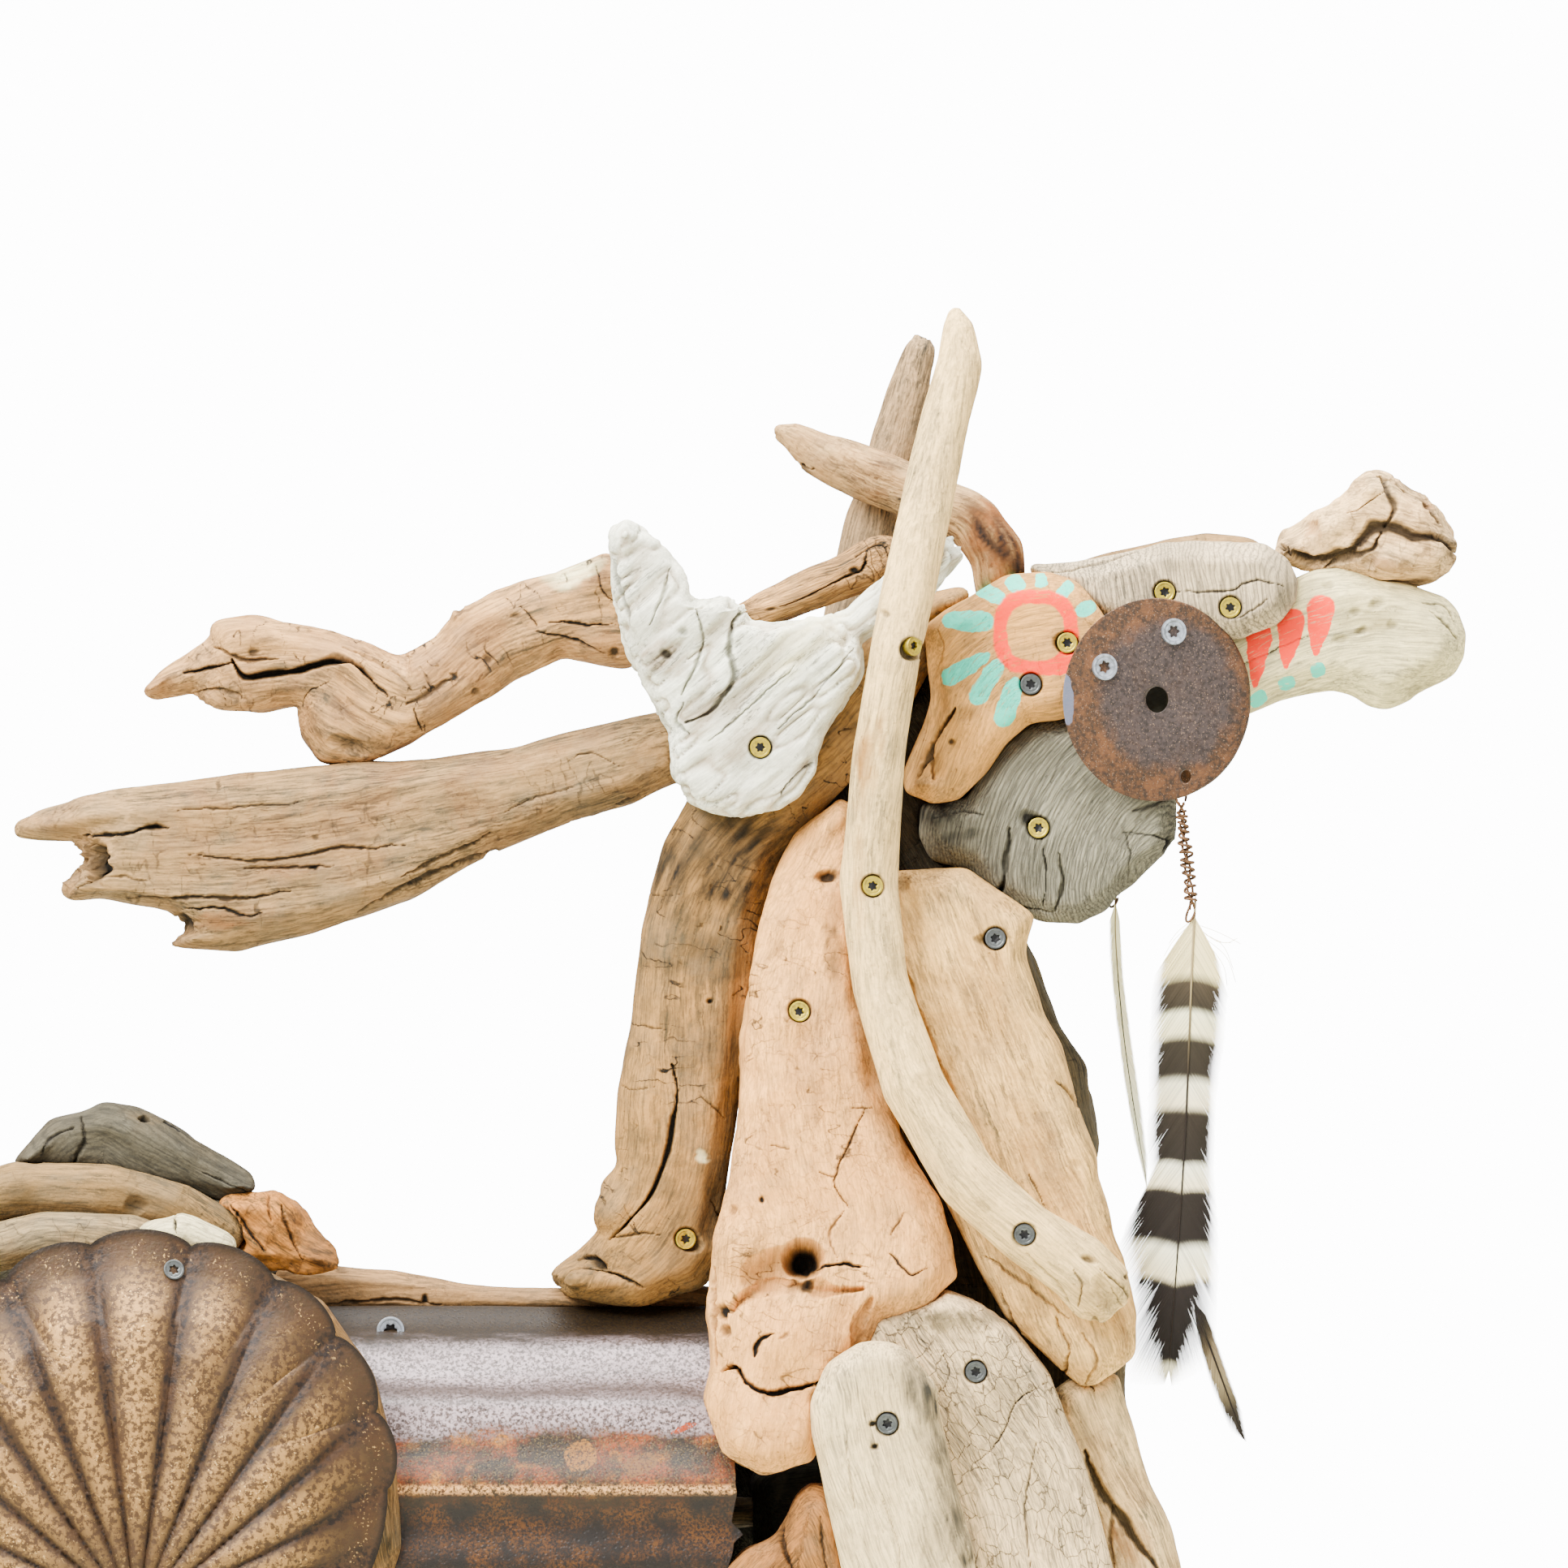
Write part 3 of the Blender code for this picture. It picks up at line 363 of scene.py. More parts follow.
def woodMaterial(name, look, carved=True):  # an uncarved board takes its grain from where it stands
    material, tree, shader = newMaterial(name)
    where = objectPlace(tree)
    grain = attribute(tree, "grain", "Vector") if carved else where
    tone = attribute(tree, "tone", "Color") if carved else (0, 0, 0, 1)
    lines = useGroup(tree, grainGroup, {"Grain": grain, "Ring Spacing": look["ringSpacing"] * mm})
    cracks = useGroup(tree, crackGroup, {
        "Grain": grain, "Place": where, "Net": look["net"], "Checks": look["checks"],
    })
    found = useGroup(tree, woodColourGroup, {
        "Fibre": lines["Fibre"], "Streak": lines["Streak"], "Line": lines["Line"], "Ring": lines["Ring"],
        "Crack": cracks["Mask"], "Splits": look["splits"], "Silver": look["silver"],
        "Place": where, "Tone": tone,
        "Light": paint(*look["light"], 1.04), "Dark": paint(*look["dark"], 0.88), "Warm": paint(*look["warm"]),
        "Deep": paint(*look["deep"]), "Fibres": look["fibres"], "Streaks": look["streaks"],
        "Rings": look["rings"], "Patches": look["patches"],
    })
    colour = found["Color"]
    for part in look["painted"]:
        mask = None
        for stroke in part["strokes"]:
            values = dict(zip(("Column", "Row", "Turn", "Long", "Wide", "Taper"), stroke))
            values["Turn"] = math.radians(values["Turn"])
            one = useGroup(tree, strokeGroup, {"Place": where, **values})["Mask"]
            mask = one if mask is None else calc(tree, "MAXIMUM", mask, one)
        for ring in part.get("rings", []):
            outer = useGroup(tree, strokeGroup, {
                "Place": where, "Column": ring[0], "Row": ring[1], "Long": ring[2], "Wide": ring[2]})["Mask"]
            inner = useGroup(tree, strokeGroup, {
                "Place": where, "Column": ring[0], "Row": ring[1], "Long": ring[3], "Wide": ring[3]})["Mask"]
            one = calc(tree, "SUBTRACT", outer, inner, clamp=True)
            mask = one if mask is None else calc(tree, "MAXIMUM", mask, one)
        thin = ease(tree, lines["Fibre"], 0.85, 1.0, 1.0, 0.35)
        thin = calc(tree, "MULTIPLY", thin, ease(tree, cloud(tree, where, 300, 4), 0.26, 0.34, 0.5, 1.0))
        mask = calc(tree, "MULTIPLY", mask, thin)
        colour = mixColour(tree, mask, colour, paint(*part["colour"]))
    feed(tree, shader.inputs["Base Color"], colour)
    feed(tree, shader.inputs["Roughness"], found["Roughness"])
    shader.inputs["Specular IOR Level"].default_value = look["shine"] * 0.5
    addBump(tree, shader, found["Height"], look["bump"], 0.0012)
    return material


# Carving: noise and distances worked out on all of a piece's points at once


def latticeValue(x, y, z, seed):
    n = (x * 73856093) ^ (y * 19349663) ^ (z * 83492791) ^ (seed * 50331653)
    n = ((n ^ (n >> 13)) * 1274126177) & 0x7FFFFFFF
    n = ((n ^ (n >> 15)) * 668265263) & 0x7FFFFFFF
    return (n ^ (n >> 16)) / 1073741823.5 - 1.0


def ripple(points, size, seed):  # smooth noise from -1 to 1, one wave to each size
    scaled = points / np.asarray(size, float)
    base = np.floor(scaled).astype(np.int64)
    part = scaled - base
    part = part * part * (3 - 2 * part)
    total = np.zeros(len(points))
    for corner in range(8):
        step = np.array([corner & 1, corner >> 1 & 1, corner >> 2 & 1])
        weight = np.prod(np.where(step, part, 1 - part), axis=1)
        total += weight * latticeValue(*(base + step).T, seed)
    return total


def smoothLine(line, steps=5):
    points = np.array(line, float)
    padded = np.vstack([2 * points[0] - points[1], points, 2 * points[-1] - points[-2]])
    found = []
    for start in range(len(points) - 1):
        a, b, c, d = padded[start:start + 4]
        for step in range(steps):
            u = step / steps
            found.append(0.5 * (2 * b + (c - a) * u + (2 * a - 5 * b + 4 * c - d) * u ** 2
                                + (3 * b - a - 3 * c + d) * u ** 3))
    return np.array(found + [points[-1]])


def followLine(spots, line, openEnds=True):  # how far along the line each spot is, and how far to its side
    points = smoothLine(line) if len(line) > 2 else np.array(line, float)
    best = np.full(len(spots), np.inf)
    far, side = np.zeros(len(spots)), np.zeros(len(spots))
    start = 0.0
    for i in range(len(points) - 1):
        step = points[i + 1] - points[i]
        length = np.hypot(*step)
        reach = spots - points[i]
        share = reach @ step / length ** 2
        low = -np.inf if openEnds and i == 0 else 0.0
        high = np.inf if openEnds and i == len(points) - 2 else 1.0
        share = np.clip(share, low, high)
        off = reach - share[:, None] * step
        distance = np.hypot(off[:, 0], off[:, 1])
        closer = distance < best
        best[closer] = distance[closer]
        far[closer] = (start + share * length)[closer]
        side[closer] = (distance * np.sign(step[0] * reach[:, 1] - step[1] * reach[:, 0]))[closer]
        start += length
    return far, side, best


def ovalShare(spots, oval):  # from 1 at the middle of an oval (column, row, half sizes, degrees) to 0 at its edge
    column, row, long, wide, turn = oval
    turn = math.radians(turn)
    reach = spots - np.array([column, row])
    u = (reach[:, 0] * math.cos(turn) + reach[:, 1] * math.sin(turn)) / long
    v = (reach[:, 1] * math.cos(turn) - reach[:, 0] * math.sin(turn)) / wide
    return np.clip(1 - np.hypot(u, v), 0, 1)


def chooseOnly(obj):
    bpy.ops.object.select_all(action="DESELECT")
    obj.hide_set(False)
    obj.select_set(True)
    bpy.context.view_layer.objects.active = obj


def applyModifier(obj, kind, **settings):
    chooseOnly(obj)
    modifier = obj.modifiers.new(kind.lower(), kind)
    for name, value in settings.items():
        setattr(modifier, name, value)
    bpy.ops.object.modifier_apply(modifier=modifier.name)


def readPoints(mesh):
    points = np.empty(len(mesh.vertices) * 3)
    mesh.vertices.foreach_get("co", points)
    return points.reshape(-1, 3)


def readNormals(mesh):
    normals = np.empty(len(mesh.vertices) * 3, np.float32)
    mesh.vertex_normals.foreach_get("vector", normals)
    return normals.reshape(-1, 3).astype(float)


def writePoints(mesh, points):
    mesh.vertices.foreach_set("co", points.ravel())
    mesh.update()


def gridSpots(points):
    return np.column_stack([points[:, 0] / square + middleColumn, groundRow - points[:, 2] / square])


def copyOfNode(node, name):
    mesh = frame["nodes"][node].data.copy()
    mesh.name = name
    mesh.materials.clear()
    for layer in list(mesh.uv_layers):
        mesh.uv_layers.remove(layer)
    shape = bmesh.new()
    shape.from_mesh(mesh)
    bmesh.ops.remove_doubles(shape, verts=shape.verts, dist=0.00002)
    shape.to_mesh(mesh)
    shape.free()
    obj = bpy.data.objects.new(name, mesh)
    bpy.context.scene.collection.objects.link(obj)
    return obj


# Deck screws: column, row and metal of every head that shows

screwPlaces = [
    (1122, 801, "brass"), (1075, 1091, "brass"), (937, 921, "brass"), (985, 1245, "brass"),
    (845, 1528, "brass"), (1280, 1020, "brass"), (1436, 729, "brass"), (1517, 748, "brass"),
    (1315, 792, "brass"), (1226, 1156, "steel"), (1270, 843, "steel"), (1260, 1517, "steel"),
    (1201, 1686, "steel"), (1092, 1747, "steel"),
]


def refineNear(obj, look):  # cuts the faces beside cracks, pits and knobs smaller, so that they hold a sharp edge
    shape = bmesh.new()
    shape.from_mesh(obj.data)
    shape.normal_update()
    faces = list(shape.faces)
    middles = np.array([face.calc_center_median() for face in faces])
    facing = np.array([face.normal.y for face in faces]) < 0.35
    spots = gridSpots(middles)
    close = np.zeros(len(faces), bool)
    for crack in look["cracks"]:
        close |= followLine(spots, crack["line"], False)[2] < crack["width"] + 6
    for pit in look["pits"]:
        column, row, long, wide, turn = pit["oval"]
        close |= ovalShare(spots, (column, row, long + 7, wide + 7, turn)) > 0
    for column, row, _ in screwPlaces:
        close |= np.hypot(spots[:, 0] - column, spots[:, 1] - row) < 19
    chosen = {edge for face, near in zip(faces, close & facing) if near for edge in face.edges}
    if chosen:
        bmesh.ops.subdivide_edges(shape, edges=list(chosen), cuts=look["cuts"], use_grid_fill=True)
        shape.to_mesh(obj.data)
    shape.free()


woodDefaults = {
    "voxel": 1.7, "smoothing": 10, "swell": 0.3, "cuts": 2,
    "light": (205, 180, 150), "dark": (150, 124, 98), "warm": (196, 150, 100), "deep": (52, 38, 28),
    "fibres": 0.8, "streaks": 0.75, "rings": 0.0, "ringSpacing": 1.8, "patches": 0.25,
    "net": 0.0, "checks": 0.5, "splits": 0.3, "silver": 0.2, "shine": 0.3, "bump": 0.9,
    "lumps": (1.0, 22), "ridges": (0.45, 4.2), "furrows": (0.0, 9), "painted": [],
    "cracks": [], "pits": [], "stains": [], "frays": [], "knobs": [], "rough": [], "shifts": [],
}


def shrinkOf(obj, node):  # how far the smoothing drew the surface in, on the whole
    first = frame["nodes"][node].data
    tree = BVHTree.FromPolygons([v.co.copy() for v in first.vertices], [p.vertices[:] for p in first.polygons])
    gaps = []
    for point, normal in zip(readPoints(obj.data)[::9], readNormals(obj.data)[::9]):
        spot, _, _, away = tree.find_nearest(Vector(point))
        gaps.append(math.copysign(away, (spot - Vector(point)).dot(Vector(normal))))
    return sum(gaps) / len(gaps) / mm


def carveWood(node, look):
    look = {**woodDefaults, **look}
    seed = sum(ord(letter) * (i + 3) for i, letter in enumerate(node)) % 9973
    obj = copyOfNode(node, "carved_" + node)
    applyModifier(obj, "REMESH", mode="VOXEL", voxel_size=look["voxel"] * mm)
    applyModifier(obj, "SMOOTH", factor=0.5, iterations=look["smoothing"])
    swell = look["swell"] + shrinkOf(obj, node)
    refineNear(obj, look)
    mesh = obj.data
    points, normals = readPoints(mesh), readNormals(mesh)
    spots = gridSpots(points)
    far, side, _ = followLine(spots, look["grain"])
    grain = np.column_stack([far * square, side * square, points[:, 1]]) + seed * 0.37
    facing = np.clip((0.25 - normals[:, 1]) / 0.4, 0, 1)
    # dark gathers dark stains and painted shade; warm and pale are stain tints
    dark, warm, pale = np.zeros(len(points)), np.zeros(len(points)), np.zeros(len(points))

    high, size = look["lumps"]
    push = high * 0.6 * ripple(points, size * mm, seed) + high * 0.3 * ripple(points, size * mm / 2.3, seed + 1)
    high, size = look["ridges"]
    push += high * ripple(grain, (size * mm * 8, size * mm, size * mm), seed + 2)
    high, size = look["furrows"]
    if high:
        lines = ripple(grain, (size * mm * 5, size * mm, size * mm), seed + 3)
        lines = -np.clip(1 - np.abs(lines) * 3.2, 0, 1) ** 1.3
        push += high * lines
        warm += 0.6 * np.clip(-lines, 0, 1)
        # the deepest furrow bottoms get a little painted shade
        dark += 0.22 * np.clip(-lines - 0.45, 0, 1)
    push += swell
    for patch in look["rough"]:
        share = np.clip(ovalShare(spots, patch["oval"]) * 2.5, 0, 1) * facing
        torn = ripple(points, patch["size"] * mm, seed + 10) + 0.6 * ripple(points, patch["size"] * mm / 2, seed + 11)
        push += patch["height"] * share * torn
        # the dips of a rough patch are painted darker: painted shade
        dark = np.maximum(dark, patch.get("dark", 0.4) * share * np.clip(-torn - 0.25, 0, 1))
    shake = ripple(points, 3.2 * mm, seed + 4) * 1.6 + ripple(points, 11 * mm, seed + 5) * 2.5
    shake += ripple(points, 1.5 * mm, seed + 12) * 1.2
    # Cracks and pits are painted dark as well as cut in: partly the wood's darker inside, partly painted shade in the
    # grooves and hollows
    for crack in look["cracks"]:
        along, aside, _ = followLine(spots, crack["line"], False)
        away = np.abs(aside + shake * crack["shake"])
        whole = np.hypot(*np.diff(np.array(crack["line"], float), axis=0).T).sum()
        ends = np.clip(np.minimum(along, whole - along) / (0.3 * whole), 0.0, 1.0)
        away += 30 * ((along <= 0) | (along >= whole * 1.02)) * (np.abs(aside) > 1)
        width = crack["width"] * (0.75 + 0.45 * ripple(points, 6 * mm, seed + 6)) * (0.35 + 0.65 * ends)
        share = np.clip(1 - away / np.maximum(width, 0.6), 0, 1) * facing
        push -= crack["depth"] * share ** 0.7
        dark = np.maximum(dark, crack["dark"] * np.clip(share * 2.2, 0, 1))
    for pit in look["pits"]:
        share = ovalShare(spots + shake[:, None] * 0.8, pit["oval"]) * facing
        push -= pit["depth"] * np.clip(share * 1.6, 0, 1) ** 0.8
        dark = np.maximum(dark, pit["dark"] * np.clip(share * 2.0, 0, 1))
    for knob in look["knobs"]:
        share = ovalShare(spots, knob["oval"]) * facing
        push += knob["height"] * share ** 2 * (3 - 2 * share)
    mottle = 0.65 + 0.5 * ripple(grain, (9 * mm, 1.6 * mm, 1.6 * mm), seed + 7)
    for stain in look["stains"]:
        share = np.clip(ovalShare(spots + shake[:, None] * 1.8, stain["oval"]) * 2.0, 0, 1)
        share = np.clip(share * stain["strength"] * (mottle if stain["mottled"] else 1.0), 0, 1)
        share = share * facing
        if stain["kind"] == "dark":
            dark = np.maximum(dark, share)
        elif stain["kind"] == "warm":
            warm = np.maximum(warm, share)
        else:
            pale = np.maximum(pale, share)
    # painted shade in the hole round each screw head: the wood is sunk and painted dark there
    for column, row, _ in screwPlaces:
        away = np.hypot(spots[:, 0] - column, spots[:, 1] - row)
        push -= 3.6 * np.clip((15.5 - away) / 3.0, 0, 1) * facing
        dark = np.maximum(dark, 0.85 * np.clip((17 - away) / 3.4, 0, 1) * facing)
    points += normals * push[:, None] * mm
    for shift in look["shifts"]:
        share = np.clip(ovalShare(spots, shift["oval"]) * 1.7, 0, 1)
        share = share * share * (3 - 2 * share)
        points[:, 0] += share * shift["move"][0] * square
        points[:, 2] -= share * shift["move"][1] * square
    for fray in look["frays"]:
        share = np.clip(ovalShare(spots, fray["oval"]) * 1.8, 0, 1)
        torn = ripple(grain, (90 * mm, 2.6 * mm, 2.6 * mm), seed + 8) + 0.5 * ripple(
            grain, (90 * mm, 1.3 * mm, 1.3 * mm), seed + 9)
        direction = np.array([fray["towards"][0], 0, -fray["towards"][1]], float)
        direction /= np.linalg.norm(direction)
        points += direction * (share * torn * fray["length"] * mm)[:, None]
        # fibres drawn back are painted darker: painted shade between the frays
        dark = np.maximum(dark, 0.5 * share * np.clip(-torn - 0.2, 0, 1))
    writePoints(mesh, points)
    store = mesh.attributes.new("grain", "FLOAT_VECTOR", "POINT")
    store.data.foreach_set("vector", grain.ravel())
    store = mesh.attributes.new("tone", "FLOAT_COLOR", "POINT")
    tones = np.column_stack([dark, warm, pale, np.ones(len(points))])
    store.data.foreach_set("color", np.clip(tones, 0, 1).ravel())
    mesh.polygons.foreach_set("use_smooth", np.ones(len(mesh.polygons), bool))
    mesh.materials.append(woodMaterial(node.replace("_", " ") + " wood", look))
    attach(obj, "root")
    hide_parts(node)
    return obj


# dark: how dark a crack or pit is painted, partly the wood's darker inside, partly painted shade
def crackAt(line, width, depth, dark=1.0, shake=0.8):
    return {"line": line, "width": width, "depth": depth, "dark": dark, "shake": shake}


def pitAt(oval, depth, dark=1.0):
    return {"oval": oval, "depth": depth, "dark": dark}


def stainAt(kind, oval, strength, mottled=True):
    return {"kind": kind, "oval": oval, "strength": strength, "mottled": mottled}


def knobAt(oval, height):
    return {"oval": oval, "height": height}


def shiftAt(oval, move):
    return {"oval": oval, "move": move}


# The carved pieces. Lines and ovals are in squares of the side view, depths and heights in millimetres.

maneStick = {
    "voxel": 1.5,
    "grain": [(1180, 380), (1165, 520), (1130, 700), (1085, 930), (1070, 1100), (1095, 1280), (1180, 1440),
        (1290, 1540), (1390, 1630)], "light": (228, 214, 194), "dark": (188, 170, 144), "warm": (205, 160, 92),
    "patches": 0.05, "checks": 0.08, "splits": 0.2, "lumps": (0.7, 26), "ridges": (0.25, 4), "smoothing": 16,
    "fibres": 0.7, "streaks": 0.6, "shine": 0.4,
    "stains": [
        stainAt("warm", (1066, 950, 16, 75, 4), 0.9), stainAt("warm", (1058, 1085, 10, 85, 0), 0.8),
        stainAt("warm", (1086, 905, 10, 40, 0), 0.6), stainAt("dark", (1204, 1476, 18, 6, 40), 0.55, mottled=False),
        stainAt("dark", (1132, 1325, 10, 8, 0), 0.4, mottled=False), stainAt("dark", (1149, 485, 8, 40, 4), 0.25),
        stainAt("warm", (1345, 1600, 40, 26, 45), 0.35),
    ],
    "pits": [
        pitAt((1362, 1592, 30, 15, 62), 2.2, 0.28), pitAt((1340, 1549, 12, 5, 20), 2.0, 0.7),
        pitAt((1092, 759, 7, 5, 30), 0.8, 0.6), pitAt((1386, 1570, 6, 4, 30), 1.5, 0.8),
        pitAt((1347, 1622, 7, 4, 60), 1.5, 0.7),
    ],
    "cracks": [
        crackAt([(1320, 1560), (1330, 1580), (1326, 1606)], 2.4, 1.2, 0.7),
        crackAt([(1352, 1560), (1382, 1584), (1388, 1610)], 2.2, 1.2, 0.7),
        crackAt([(1366, 1580), (1380, 1604)], 1.8, 1.0, 0.6),
        crackAt([(1262, 1540), (1300, 1576), (1320, 1612)], 2.0, 0.8, 0.35),
    ],
    "knobs": [knobAt((1340, 1575, 42, 30, 40), 1.6), knobAt((1132, 1325, 20, 18, 0), 0.9)],
    "shifts": [shiftAt((1190, 430, 60, 110, 8), (3, -4))],
}
maneStickRear = {
    "grain": [(1142, 410), (1110, 540), (1070, 650), (1000, 960)], "light": (206, 184, 162), "dark": (128, 104, 84),
    "warm": (170, 120, 78), "streaks": 0.95, "splits": 0.7, "checks": 0.2, "ridges": (0.7, 4.5),
    "frays": [{"oval": (1140, 420, 26, 18, 0), "towards": (0.1, -1), "length": 1.6}],
    "shifts": [shiftAt((1110, 500, 90, 160, 0), (-6, -5))],
}
maneHorn = {
    "voxel": 1.5, "grain": [(974, 533), (1065, 582), (1150, 616), (1200, 652), (1234, 720), (1238, 770)],
    "light": (216, 196, 172), "dark": (132, 104, 82), "warm": (196, 134, 78), "deep": (58, 38, 32), "streaks": 0.85,
    "splits": 0.6, "checks": 0.25, "ridges": (0.6, 4.2), "patches": 0.35,
    "stains": [
        stainAt("warm", (1222, 670, 80, 50, 50), 1.3), stainAt("dark", (1212, 668, 60, 9, 52), 1.2),
        stainAt("dark", (1240, 690, 60, 9, 64), 1.2), stainAt("dark", (1252, 672, 44, 6, 66), 1.0),
        stainAt("dark", (1190, 628, 34, 6, 40), 0.9), stainAt("dark", (1100, 578, 46, 7, 20), 0.55),
        stainAt("dark", (990, 572, 14, 6, 20), 0.7),
    ],
    "cracks": [crackAt([(964, 560), (985, 566), (1003, 571)], 3.4, 2.6)],
    "frays": [{"oval": (972, 532, 20, 18, 0), "towards": (-1, -0.4), "length": 2.0}], "swell": 1.8,
    "shifts": [shiftAt((1228, 640, 90, 110, 45), (8, -6)), shiftAt((975, 530, 50, 40, 0), (-3, -3))],
}
maneBranchUpper = {
    "voxel": 1.5,
    "grain": [(180, 855), (290, 812), (400, 810), (470, 852), (520, 860), (600, 800), (690, 760), (820, 745)],
    "light": (214, 188, 158), "dark": (134, 110, 86), "warm": (198, 142, 94), "checks": 1.3, "splits": 0.6,
    "lumps": (1.6, 18), "ridges": (0.8, 4.6), "patches": 0.35,
    "cracks": [
        crackAt([(284, 812), (300, 834), (330, 830), (372, 824), (410, 814), (438, 820),
            (458, 838)], 6.5, 6.5, shake=0.3), crackAt([(458, 838), (476, 858)], 3, 2.5),
        crackAt([(228, 828), (258, 822), (286, 816)], 4.5, 3.0),
        crackAt([(262, 796), (284, 806), (306, 814), (342, 812)], 4, 2.4, 0.7),
        crackAt([(240, 850), (276, 848), (300, 856)], 2.6, 1.4, 0.6),
        crackAt([(677, 766), (712, 768), (758, 769)], 3.2, 2.0),
        crackAt([(656, 776), (700, 785), (746, 800)], 2.6, 1.6),
        crackAt([(640, 745), (660, 765), (662, 780)], 1.8, 1.0),
        crackAt([(500, 868), (545, 842), (556, 838)], 4.5, 1.6, 0.55), crackAt([(510, 872), (517, 898)], 2, 1.2),
        crackAt([(376, 868), (379, 852), (404, 842)], 1.6, 0.8),
        crackAt([(420, 800), (470, 822), (505, 846)], 2.4, 1.0, 0.4),
        crackAt([(735, 700), (744, 730), (770, 745)], 2.4, 1.6),
    ],
    "pits": [
        pitAt((313, 805, 10, 6, 0), 1.2, 0.8), pitAt((599, 811, 8, 6, 30), 1.0, 0.75),
        pitAt((583, 848, 7, 6, 0), 1.0, 0.75), pitAt((634, 758, 9, 5, 0), 1.0, 0.6),
        pitAt((566, 752, 7, 8, 0), 1.6, 0.7), pitAt((430, 918, 26, 12, 20), 3.4, 0.7),
        pitAt((758, 802, 8, 7, 0), 1.4, 0.9),
    ],
    "stains": [
        stainAt("dark", (458, 912, 30, 16, 30), 0.7), stainAt("dark", (392, 905, 18, 34, 0), 0.45),
        stainAt("pale", (708, 706, 44, 18, -18), 0.9), stainAt("dark", (738, 712, 16, 26, 0), 0.55),
        stainAt("dark", (315, 785, 30, 14, 0), 0.3), stainAt("warm", (200, 845, 24, 12, 0), 0.6),
    ],
    "knobs": [
        knobAt((290, 862, 60, 12, 4), 2.2), knobAt((330, 785, 70, 18, 4), 2.0), knobAt((566, 756, 16, 14, 0), 1.6),
    ],
    "frays": [{"oval": (250, 850, 50, 30, 0), "towards": (-1, 0.1), "length": 1.8}], "swell": 0.8,
    "shifts": [
        shiftAt((195, 848, 60, 40, 0), (-9, 2)), shiftAt((385, 905, 40, 60, 0), (-6, 2)),
        shiftAt((640, 830, 90, 30, -20), (2, 4)),
    ],
}
maneBranchLower = {
    "voxel": 1.6, "grain": [(22, 1030), (240, 1035), (420, 1015), (560, 985), (700, 955), (905, 890)],
    "light": (204, 178, 148), "dark": (138, 112, 86), "warm": (194, 136, 84), "checks": 0.7, "splits": 1.0,
    "lumps": (1.2, 26), "ridges": (0.75, 4.6), "patches": 0.3,
    "cracks": [
        crackAt([(218, 998), (280, 995), (339, 992), (367, 987)], 2.4, 1.2, 0.8),
        crackAt([(104, 1030), (150, 1029), (176, 1022), (206, 1020)], 3.6, 2.4),
        crackAt([(230, 1053), (321, 1062), (402, 1047), (499, 1042)], 3.4, 2.0, 0.85),
        crackAt([(300, 1072), (352, 1070), (410, 1066)], 3.0, 1.8, 0.7),
        crackAt([(155, 1117), (235, 1105), (287, 1107), (356, 1099)], 3.6, 2.2, 0.8),
        crackAt([(494, 1082), (534, 1062), (570, 1046), (603, 1027)], 4.0, 2.2, 0.75),
        crackAt([(440, 1124), (500, 1092), (574, 1060), (640, 1040)], 4.0, 2.2, 0.8),
        crackAt([(672, 1025), (712, 1010), (746, 1000), (800, 972)], 3.0, 1.6, 0.7),
        crackAt([(700, 938), (728, 926), (762, 942)], 2.0, 1.0, 0.7),
        crackAt([(620, 1000), (650, 985), (706, 970)], 2.0, 1.0, 0.5),
        crackAt([(230, 1120), (276, 1118), (300, 1128), (322, 1124)], 3.0, 2.0),
        crackAt([(100, 1092), (140, 1080), (180, 1086)], 2.4, 1.2, 0.5),
    ],
    "pits": [
        pitAt((119, 1062, 17, 30, -8), 9.0, 1.0), pitAt((190, 1020, 16, 6, -4), 2.4),
        pitAt((386, 1070, 9, 4, -10), 1.6), pitAt((268, 967, 4, 8, 0), 0.9, 0.7),
        pitAt((226, 1140, 12, 12, 0), 3.0, 0.9), pitAt((388, 1032, 5, 4, 0), 0.8, 0.7),
    ],
    "stains": [
        stainAt("warm", (272, 1132, 44, 14, -6), 0.95), stainAt("warm", (360, 1070, 80, 16, -4), 0.5),
        stainAt("dark", (690, 1010, 120, 18, -24), 0.35), stainAt("dark", (185, 1005, 40, 14, 0), 0.35),
    ],
    "frays": [{"oval": (110, 1060, 60, 70, 0), "towards": (-1, 0), "length": 2.6}, {"oval": (240, 1150, 50, 34, 0),
        "towards": (-1, 0.2), "length": 2.4}, ],
    "shifts": [
        shiftAt((40, 1020, 60, 40, 0), (-9, 0)), shiftAt((88, 1098, 36, 30, 0), (-6, 2)),
        shiftAt((165, 1125, 90, 30, 5), (0, -9)), shiftAt((560, 930, 150, 40, -8), (0, 5)),
        shiftAt((228, 1166, 40, 24, 0), (-7, 0)),
    ],
}
